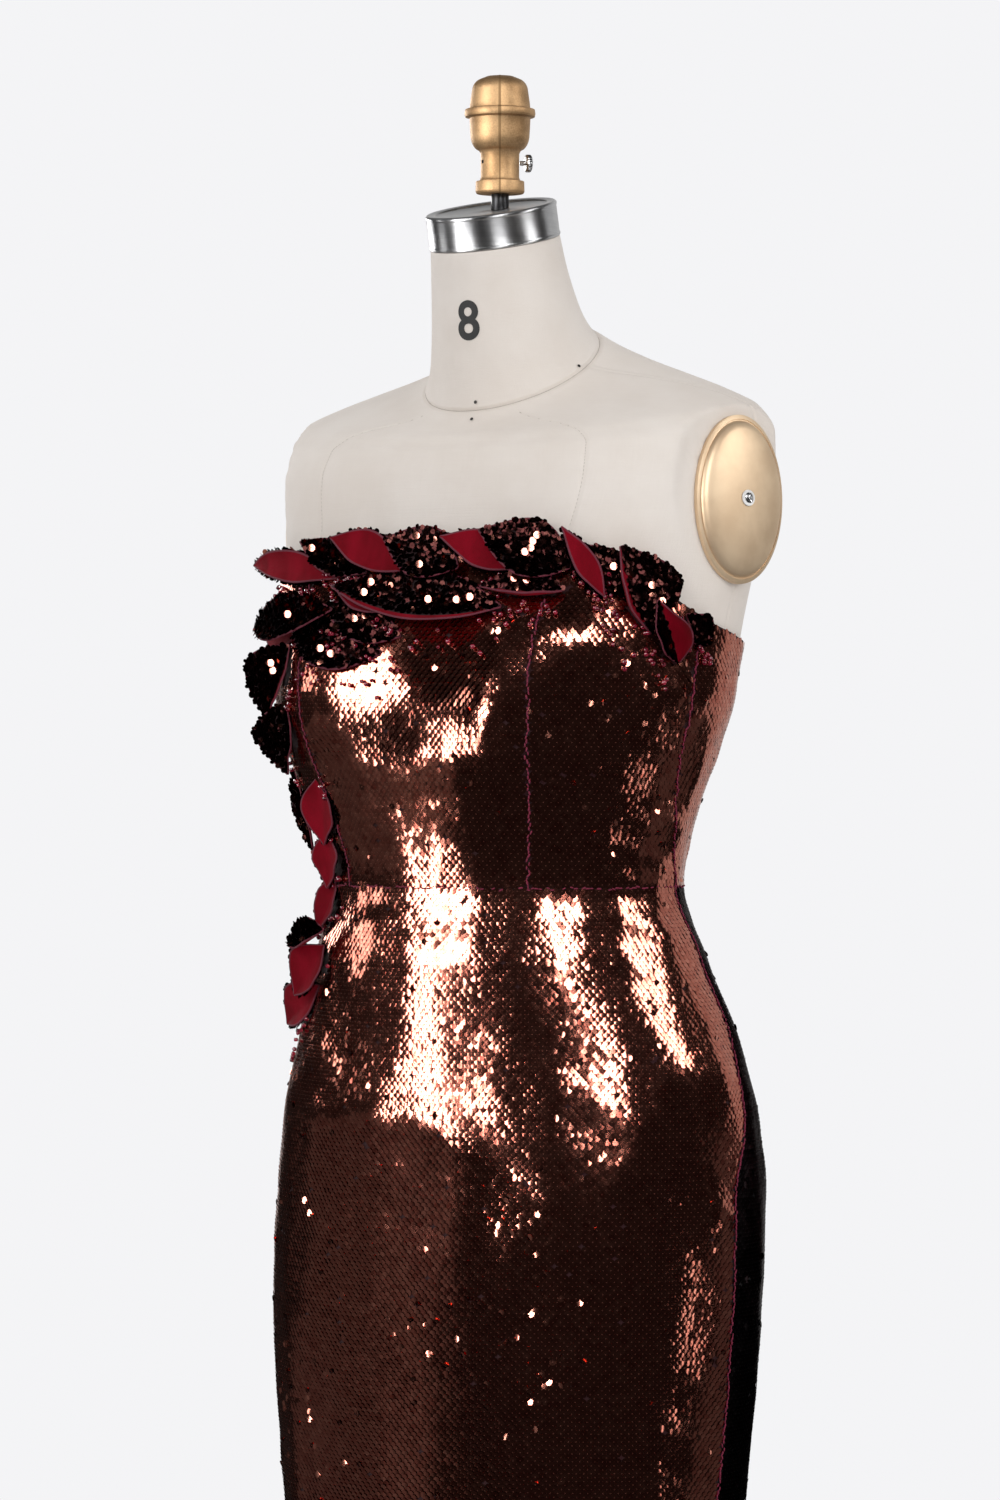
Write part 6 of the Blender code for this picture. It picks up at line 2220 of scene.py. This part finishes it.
@dataclass
class FormFittings:
    """Hardware of the form: neck band, rod, finial, thumb screw, arm plates, pole and foot."""

    wardrobe: Wardrobe
    form: DressForm
    seat_gap: float = 0.0003
    neck_height: float = 1.495
    neck_front: float = 0.0495
    neck_back: float = 0.0375
    neck_tilt: float = 13.5
    band_height: float = 0.0235
    band_radius: float = 0.0446
    band_dish: float = 0.003
    rod_radius: float = 0.006
    finial_bottom: float = 1.527
    thumb_screw_height: float = 1.548
    thumb_screw_angle: float = 48.0
    hole_angle: float = -122.5
    screw_seat: float = 0.0131        # radius of the finial's stem at the screw
    plate_rim: float = 0.003
    plate_crown: float = 0.008
    pole_radius: float = 0.0175
    foot_radius: float = 0.215
    foot_thickness: float = 0.014
    foot_top: float = 0.045

    def neck_frame(self) -> tuple[Vector, Matrix]:
        """Where the neck's cut lies: a point on its axis, and its tilt."""
        slope = math.tan(math.radians(self.neck_tilt))
        middle = (self.neck_back - self.neck_front) / 2.0
        centre = Vector((0.0, middle, self.neck_height + slope * middle))
        return centre, Matrix.Rotation(math.radians(self.neck_tilt), 4, "X")

    def build_band(self) -> None:
        """Turn the brushed band with its dished plate, whose upward faces take a lighter steel as painted
        light.
        """
        centre, tilt = self.neck_frame()
        top = self.band_height
        radius = self.band_radius
        profile = [
            (0.0, 0.0), (radius - 0.0006, 0.0), (radius, 0.0006), (radius, 0.0019), (radius - 0.0004, 0.0023),
            (radius - 0.0004, top - 0.003), (radius, top - 0.0026), (radius, top - 0.0012),
            (radius - 0.0012, top),
            (radius - 0.0058, top - 0.0006), (radius - 0.0066, top - 0.0014), (0.02, top - 0.0027),
            (0.0105, top - 0.0027), (0.0095, top - 0.003), (0.0, top - 0.003),
        ]
        piece = Bench.turn(profile, 96)
        Bench.soften(piece, 0.0002, 2, 25.0)
        # Painted light: faces that look upwards take the lighter steel, so the top of the dish reads
        # brighter.
        for face in piece.data.polygons:
            face.material_index = int(face.normal.z > 0.6)
        place = Matrix.Translation(centre + tilt @ Vector((0.0, 0.0, self.seat_gap))) @ tilt
        Bench.settle(piece, "neck_band", place)
        finish_piece(piece, "steel", self.wardrobe.steel, self.wardrobe.plate_steel_painted_light,
                     replaces=["form_neck_band"])

    def build_rod(self) -> None:
        """Make the black rod, its foot cut to the plate's slope."""
        centre, tilt = self.neck_frame()
        seat = centre + tilt @ Vector((0.0, 0.0, self.band_height - self.band_dish + 2.0 * self.seat_gap))
        top = self.finial_bottom - self.seat_gap
        Bench.clear()
        bpy.ops.mesh.primitive_cylinder_add(vertices=40, radius=self.rod_radius, depth=0.06,
                                            location=(0.0, 0.0, top - 0.03))
        Bench.edit("FACE", "SELECT")
        normal = tilt.to_3x3() @ Vector((0.0, 0.0, 1.0))
        bpy.ops.mesh.bisect(plane_co=seat, plane_no=normal, use_fill=True, clear_inner=True)
        Bench.pick("faces", lambda c: c.z > 0.0299)
        bpy.ops.mesh.inset(thickness=0.001, depth=0.0)
        Bench.weld()
        piece = Bench.done()
        Bench.soften(piece, 0.0003, 2, 35.0)
        Bench.settle(piece, "rod")
        finish_piece(piece, "black_steel", self.wardrobe.black_steel, replaces=["form_rod"])

    def build_finial(self) -> None:
        """Turn the cast finial, with its parting lines and the set screw's hole, whose inside is painted
        shade.
        """
        foot = self.finial_bottom
        profile = [
            (0.0, foot), (0.0158, foot), (0.0166, foot + 0.0014), (0.0164, foot + 0.0082),
            (0.0138, foot + 0.0088),
            (0.013, foot + 0.011), (0.013, foot + 0.02), (0.013, foot + 0.0226), (0.0131, foot + 0.027),
        ]
        profile += arc((0.013, foot + 0.04), (0.007, 0.011), -80.0, -10.0, 8)
        profile += [
            (0.0203, foot + 0.044), (0.0206, foot + 0.051), (0.0236, foot + 0.0518), (0.024, foot + 0.054),
            (0.0236, foot + 0.0568), (0.0205, foot + 0.0575), (0.0203, foot + 0.0605),
        ]
        profile += arc((0.011, foot + 0.069), (0.008, 0.0088), 8.0, 70.0, 8)
        profile += [(0.009, foot + 0.0792), (0.0, foot + 0.08)]
        piece = Bench.take(Bench.turn(profile, 72))
        Bench.edit("VERT")
        line = math.radians(-57.5)
        ahead = Vector((math.cos(line), math.sin(line)))

        def on_parting_line(place: Vector) -> bool:
            """Whether a vertex lies on one of the two parting lines."""
            flat = Vector((place.x, place.y))
            return flat.length > 0.009 and abs(flat.normalized().dot(ahead)) > math.cos(math.radians(2.7))
        Bench.pick("verts", on_parting_line)
        bpy.ops.transform.shrink_fatten(value=0.00016)
        hole_turn = math.radians(self.hole_angle)
        hole = Vector((math.cos(hole_turn) * self.screw_seat, math.sin(hole_turn) * self.screw_seat,
                       foot + 0.0213))
        Bench.pick("faces", lambda c: (c - hole).length < 0.0022)
        bpy.ops.mesh.inset(thickness=0.0002, depth=0.0)
        bpy.ops.mesh.extrude_region_move(
            TRANSFORM_OT_translate={"value": tuple(-0.003 * value for value in hole.xy.normalized().to_3d())})
        Bench.weld()
        Bench.done()
        for face in piece.data.polygons:
            if on_parting_line(face.center):
                face.material_index = 1
            # Painted shade: the faces inside the screw hole take the near-black hole colour.
            inside = math.hypot(face.center.x, face.center.y) < 0.0124
            if inside and (face.center - hole).length < 0.0045 and abs(face.center.z - hole.z) < 0.0026:
                face.material_index = 2
        Bench.soften(piece, 0.00025, 2, 28.0)
        Bench.settle(piece, "finial")
        finish_piece(piece, "gold", self.wardrobe.cast_gold, self.wardrobe.cast_line,
                     self.wardrobe.hole_painted_shade, replaces=["form_finial"])

    def build_thumb_screw(self) -> None:
        """Turn the thumb screw with its thread and notched head."""
        turn = math.radians(self.thumb_screw_angle)
        direction = Vector((math.cos(turn), math.sin(turn), 0.0))
        profile = [(0.0, 0.0)]
        for step in range(4):
            low = 0.0002 + step * 0.0008
            profile += [(0.00145, low), (0.0017, low + 0.0004)]
        profile += [(0.0017, 0.0036), (0.0052, 0.004), (0.006, 0.0047), (0.006, 0.0073), (0.0052, 0.008),
                    (0.0034, 0.008), (0.003, 0.0077), (0.0, 0.0077)]
        piece = Bench.take(Bench.turn(profile, 48))
        Bench.edit("VERT")

        def in_notch(place: Vector) -> bool:
            """Whether a rim vertex belongs to a notch of the head."""
            if math.hypot(place.x, place.y) < 0.0059:
                return False
            return round(math.atan2(place.y, place.x) / math.radians(7.5)) % 3 == 0
        Bench.pick("verts", in_notch)
        bpy.ops.transform.resize(value=(0.945, 0.945, 1.0), center_override=(0.0, 0.0, 0.0))
        Bench.done()
        Bench.soften(piece, 0.00012, 1, 30.0)
        aim = Vector((0.0, 0.0, 1.0)).rotation_difference(direction).to_matrix().to_4x4()
        reach = self.screw_seat + 2.0 * self.seat_gap
        start = Vector((0.0, 0.0, self.thumb_screw_height)) + direction * reach
        Bench.settle(piece, "thumb_screw_piece", Matrix.Translation(start) @ aim)
        finish_piece(piece, "steel", self.wardrobe.screw_steel, replaces=["finial_thumb_screw"],
                     body=THUMB_SCREW_BODY)

    def build_arm_plate(self, side: float, word: str) -> None:
        """Make one convex oval plate and its centre screw on a washer.

        Args:
            side: +1 for the form's left, -1 for its right.
            word: The side's name.
        """
        centre, normal, wide, tall = self.form.arm_plane(side)
        half_wide, half_tall = self.form.plate_half_width, self.form.plate_half_height
        Bench.clear()
        bpy.ops.mesh.primitive_circle_add(vertices=96, radius=1.0, fill_type="NGON")
        Bench.edit("FACE", "SELECT")
        Bench.scale(half_wide, half_tall, 1.0)
        Bench.extrude(0.0, 0.0, self.plate_rim)
        before = (1.0, self.plate_rim)
        steps = [(0.965, 0.0007), (0.95, 0.0009), (0.942, 0.0002), (0.93, 0.0003), (0.915, 0.0017)]
        steps += [(0.915 * math.cos(math.radians(a)),
                   0.0017 + (self.plate_crown - 0.0017) * math.sin(math.radians(a)))
                  for a in (14, 26, 38, 50, 62, 72, 80)]
        for scale, rise in steps:
            out = self.plate_rim + rise
            Bench.extrude(0.0, 0.0, out - before[1])
            ratio = scale / before[0]
            bpy.ops.transform.resize(value=(ratio, ratio, 1.0), center_override=(0.0, 0.0, 0.0))
            before = (scale, out)
        Bench.weld()
        piece = Bench.done()
        Bench.take(piece)
        Bench.shade(40.0)
        turn = Matrix((wide, tall, normal)).transposed().to_4x4()
        place = Matrix.Translation(centre + normal * self.seat_gap) @ turn
        Bench.settle(piece, "arm_plate_cover_" + word, place)
        finish_piece(piece, "gold", self.wardrobe.gold, replaces=["arm_plate_" + word])
        washer = Bench.turn([(0.0, 0.0), (0.0054, 0.0), (0.0054, 0.0006), (0.005, 0.0009), (0.0036, 0.0009),
                             (0.0, 0.0009)], 48)
        screw = Bench.turn([(0.0, 0.0009), (0.0035, 0.0009), (0.0035, 0.0013), (0.0028, 0.002),
                            (0.0012, 0.0023),
                            (0.0, 0.0023)], 40)
        Bench.take(screw)
        Bench.edit("FACE")
        Bench.pick("faces", lambda c: abs(c.x) < 0.00045 and c.z > 0.0014)
        bpy.ops.transform.translate(value=(0.0, 0.0, -0.0006))
        Bench.done()
        seat = self.plate_rim + self.plate_crown * 0.985 + 2.0 * self.seat_gap
        place = Matrix.Translation(centre + normal * seat) @ turn
        for thing, name, finish in ((washer, "arm_washer_", self.wardrobe.washer),
                                    (screw, "arm_screw_", self.wardrobe.screw_steel)):
            Bench.take(thing)
            Bench.shade(35.0)
            Bench.settle(thing, name + word, place)
            nodes = ["arm_plate_screw_" + word] if thing is screw else []
            finish_piece(thing, "steel", finish, replaces=nodes)

    def build_stand(self) -> None:
        """Turn the pole with its flange and the round cast foot."""
        top = self.form.bottom - self.seat_gap
        bottom = self.foot_top + self.seat_gap
        radius = self.pole_radius
        pole = [(0.0, bottom), (radius, bottom), (radius, 0.33), (radius + 0.003, 0.331),
                (radius + 0.003, 0.352),
                (radius, 0.353), (radius, top - 0.05), (0.024, top - 0.045), (0.024, top - 0.01),
                (0.048, top - 0.006), (0.048, top), (0.0, top)]
        piece = Bench.turn(pole, 64)
        Bench.soften(piece, 0.0006, 2, 25.0)
        Bench.settle(piece, "pole")
        finish_piece(piece, "grey_enamel", self.wardrobe.enamel, replaces=["stand_pole"])
        edge = self.foot_thickness
        foot = [(0.0, 0.0), (self.foot_radius - 0.004, 0.0), (self.foot_radius, 0.003),
                (self.foot_radius, edge - 0.006)]
        foot += arc((self.foot_radius - 0.008, edge - 0.006), (0.008, 0.006), 15.0, 90.0, 5)
        foot += [(0.15, edge + 0.0018), (0.06, edge + 0.004)]
        foot += arc((0.06, edge + 0.026), (0.024, 0.022), 262.0, 186.0, 6)
        foot += [(0.034, self.foot_top - 0.004), (0.03, self.foot_top), (0.0, self.foot_top)]
        piece = Bench.turn(foot, 96)
        Bench.soften(piece, 0.0008, 2, 25.0)
        Bench.settle(piece, "foot")
        finish_piece(piece, "grey_enamel", self.wardrobe.enamel, replaces=["stand_foot"])

    def build(self) -> None:
        """Make all the fittings."""
        self.build_band()
        self.build_rod()
        self.build_finial()
        self.build_thumb_screw()
        self.build_arm_plate(1.0, "left")
        self.build_arm_plate(-1.0, "right")
        self.build_stand()


# ---- the zip
@dataclass
class ZipFastener:
    """Tape and teeth of the centre back zip, and the finish of its slider and pull."""

    wardrobe: Wardrobe
    bottom: float = 0.9005
    top: float = 1.2165
    tape_half: float = 0.0019
    tape_thickness: float = 0.0006
    tape_depth: float = 0.0012
    tooth_pitch: float = 0.0015
    tooth_offset: float = 0.0006

    def offset_angle(self, height: np.ndarray, distance: float) -> np.ndarray:
        """Degrees that move a point a distance round the centre back."""
        span = np.linalg.norm(SURFACE.point(180.5, height) - SURFACE.point(179.5, height), axis=-1)
        return distance / span

    def build_tape(self) -> None:
        """Make the narrow tape behind the teeth."""
        height = np.linspace(self.bottom, self.top, 80)[:, None]
        share = np.array((-1.0, 0.0, 1.0))[None, :]
        angle = 180.0 + share * self.offset_angle(height, self.tape_half)
        height = np.broadcast_to(height, angle.shape)
        normal = SURFACE.normal(angle, height)
        outer = SURFACE.point(angle, height) - normal * self.tape_depth
        inner = outer - normal * self.tape_thickness
        place = np.stack([share * self.tape_half + 0.0 * height, height], axis=-1)
        piece = wall("zip_tape_strip", outer, inner, place)
        tape = self.wardrobe.zip_tape
        finish_piece(piece, "black_steel", tape, tape, tape, replaces=["zip_chain"])

    def model_tooth(self) -> Model:
        """Model one tooth: a small block with a drawn-in nose.

        Returns:
            Its points and four-cornered faces.
        """
        Bench.clear()
        bpy.ops.mesh.primitive_cube_add(size=1.0)
        Bench.edit("FACE", "SELECT")
        Bench.scale(0.0011, 0.001, 0.0009)
        Bench.pick("faces", lambda c: c.x > 0.0005)
        Bench.extrude(0.0005, 0.0, 0.0)
        Bench.scale(1.0, 0.55, 0.6)
        Bench.weld()
        return Bench.release()

    def build_teeth(self) -> None:
        """Set the closed teeth, by turns from the left and the right."""
        height = np.arange(self.bottom + 0.001, self.top - 0.001, self.tooth_pitch)
        side = np.where(np.arange(len(height)) % 2 == 0, 1.0, -1.0)
        angle = 180.0 + side * self.offset_angle(height, self.tooth_offset)
        normal = SURFACE.normal(angle, height)
        centre = SURFACE.point(angle, height) - normal * 0.0006
        axes = tilted_axes(normal, UP)
        axes[:, :2] *= -side[:, None, None]
        piece = spread_copies("zip_teeth", self.model_tooth(), centre, axes, np.full(len(height), 0.5))
        finish_piece(piece, "black_steel", self.wardrobe.black_steel)

    def build(self) -> None:
        """Make the zip and dress its slider and pull."""
        self.build_tape()
        self.build_teeth()
        for node in ("zip_slider", "zip_pull"):
            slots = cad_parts[node].material_slots
            for slot in slots:
                slot.material = self.wardrobe.black_steel
            if not slots:
                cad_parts[node].data.materials.append(self.wardrobe.black_steel)


# ---- the studio
class LightRole(Enum):
    """What a light panel acts on: the shine of foil and metal, or matt cloth."""

    SHINE = "shine"
    FILL = "fill"


class Softbox(NamedTuple):
    """An upright light panel that faces the gown."""

    name: str
    role: LightRole
    azimuth: float            # degrees from the front, positive towards the form's left
    low: float                # height of its lower edge
    high: float
    width: float
    radiance: float


SOFTBOXES = tuple(Softbox(*row) for row in (
    ("front_right_high", LightRole.SHINE, -21.5, 1.53, 2.7, 1.72, 13),
    ("front_right_low", LightRole.SHINE, -28, 0.4, 1.53, 0.78, 11),
    ("front_left_high", LightRole.SHINE, 44, 2.05, 3.55, 1.05, 13),
    ("side_left_high", LightRole.SHINE, 103, 2.03, 3.4, 0.95, 9),
    ("side_left_low", LightRole.SHINE, 95, -0.55, -0.1, 0.34, 2.2),
    ("side_right_high", LightRole.SHINE, -114, 1.45, 2.15, 1.4, 8),
    ("front_right_side", LightRole.SHINE, -70, 1.42, 2.1, 0.8, 4),
    ("floor_glow_right", LightRole.SHINE, -62, -1.6, 0.8, 3.6, 0.062),
    ("floor_glow_front", LightRole.SHINE, -34, -1.6, 0.6, 1.3, 0.055),
    ("floor_glow_left", LightRole.SHINE, 125, -1.2, 0.7, 1.6, 0.07),
    ("backdrop", LightRole.SHINE, 185, 0.3, 3.8, 6.2, 0.55),
    ("front_fill", LightRole.FILL, 5, 1.6, 3.2, 2, 3), ("left_fill", LightRole.FILL, 80, 1.2, 3, 2, 2.5),
    ("right_fill", LightRole.FILL, -95, 1.2, 3, 1.6, 1.6),
))


@dataclass
class Studio:
    """Pale floor and surround, softboxes and the camera."""

    camera_azimuth: float = 33.0
    camera_distance: float = 3.75
    camera_height: float = 1.1512
    lens: float = 133.2
    light_distance: float = 3.0
    floor_radius: float = 3.4
    surround: Colour = (0.905, 0.905, 0.92)
    fill_strength: float = 0.72
    gloss_strength: float = 0.02

    @staticmethod
    def stand(thing: bpy.types.Object, azimuth: float, distance: float, height: float) -> None:
        """Stand a camera or light round the gown, facing its axis.

        Args:
            thing: The camera or light.
            azimuth: Degrees from the front.
            distance: How far away it stands.
            height: Height of its middle.
        """
        turn = math.radians(azimuth)
        thing.location = (distance * math.sin(turn), -distance * math.cos(turn), height)
        thing.rotation_euler = (math.pi / 2.0, 0.0, turn)
        bpy.context.scene.collection.objects.link(thing)

    def build_camera(self) -> None:
        """Put the camera where the photograph was taken from."""
        lens = bpy.data.cameras.new("camera")
        lens.sensor_fit = "VERTICAL"
        lens.sensor_height = 36.0
        lens.lens = self.lens
        lens.clip_end = 60.0
        camera = bpy.data.objects.new("camera", lens)
        self.stand(camera, self.camera_azimuth, self.camera_distance, self.camera_height)
        bpy.context.scene.camera = camera

    def build_surround(self) -> None:
        """Make the pale surround, dim to everything but the camera and the diffuse light."""
        world = bpy.data.worlds.new("surround")
        bpy.context.scene.world = world
        world.use_nodes = True
        tree = world.node_tree
        tree.nodes.clear()
        rays = tree.nodes.new("ShaderNodeLightPath")
        shades = []
        for strength in (1.0, self.fill_strength, self.gloss_strength):
            shade = tree.nodes.new("ShaderNodeBackground")
            shade.inputs["Color"].default_value = (*self.surround, 1.0)
            shade.inputs["Strength"].default_value = strength
            shades.append(shade)
        gloss = tree.nodes.new("ShaderNodeMixShader")
        seen = tree.nodes.new("ShaderNodeMixShader")
        output = tree.nodes.new("ShaderNodeOutputWorld")
        for source, target in ((rays.outputs["Is Glossy Ray"], gloss.inputs[0]),
                               (shades[1].outputs[0], gloss.inputs[1]),
                               (shades[2].outputs[0], gloss.inputs[2]),
                               (rays.outputs["Is Camera Ray"], seen.inputs[0]),
                               (gloss.outputs[0], seen.inputs[1]), (shades[0].outputs[0], seen.inputs[2]),
                               (seen.outputs[0], output.inputs["Surface"])):
            tree.links.new(source, target)

    def build_lights(self) -> None:
        """Stand the softboxes round the gown."""
        for box in SOFTBOXES:
            light = bpy.data.lights.new(box.name, "AREA")
            light.shape = "RECTANGLE"
            light.size = box.width
            light.size_y = box.high - box.low
            light.energy = box.radiance * math.pi * box.width * (box.high - box.low)
            lamp = bpy.data.objects.new(box.name, light)
            self.stand(lamp, box.azimuth, self.light_distance, (box.low + box.high) / 2.0)
            lamp.visible_camera = False
            lamp.visible_diffuse = box.role is LightRole.FILL
            lamp.visible_glossy = box.role is LightRole.SHINE

    def build_floor(self) -> None:
        """Lay the round floor."""
        Bench.clear()
        bpy.ops.mesh.primitive_circle_add(vertices=128, radius=self.floor_radius - 0.2, fill_type="NGON")
        Bench.edit("FACE", "SELECT")
        bpy.ops.mesh.inset(thickness=0.1, depth=0.0)
        Bench.done()
        floor = Bench.settle(bpy.context.object, "floor", Matrix.Translation((0.0, 0.0, -0.0005)))
        floor.data.materials.append(FloorFinish("studio_floor", (0.8, 0.8, 0.81), (0.84, 0.84, 0.85)).build())
        floor.visible_glossy = False

    def build(self) -> None:
        """Set up the whole studio."""
        self.build_camera()
        self.build_surround()
        self.build_lights()
        self.build_floor()
        scene = bpy.context.scene
        scene.view_settings.view_transform = "Standard"
        scene.view_settings.look = "None"


def main() -> None:
    """Build the studio and the object, piece by piece."""
    logging.basicConfig(level=logging.INFO, format="%(name)s: %(message)s")
    Studio().build()
    wardrobe = Wardrobe()
    form = DressForm(wardrobe)
    form.build()
    FormFittings(wardrobe, form).build()
    panels = GownPanels(wardrobe)
    grounds = panels.build()
    trim = LeafTrim(wardrobe)
    trim.build(SequinDisc(DiscShape.EIGHT_SIDED).build())
    SequinRows(wardrobe, panels).build(trim.trees)
    SeamThreads(wardrobe, panels).build(trim.trees)
    ZipFastener(wardrobe).build()


if __name__ == "__main__":
    main()
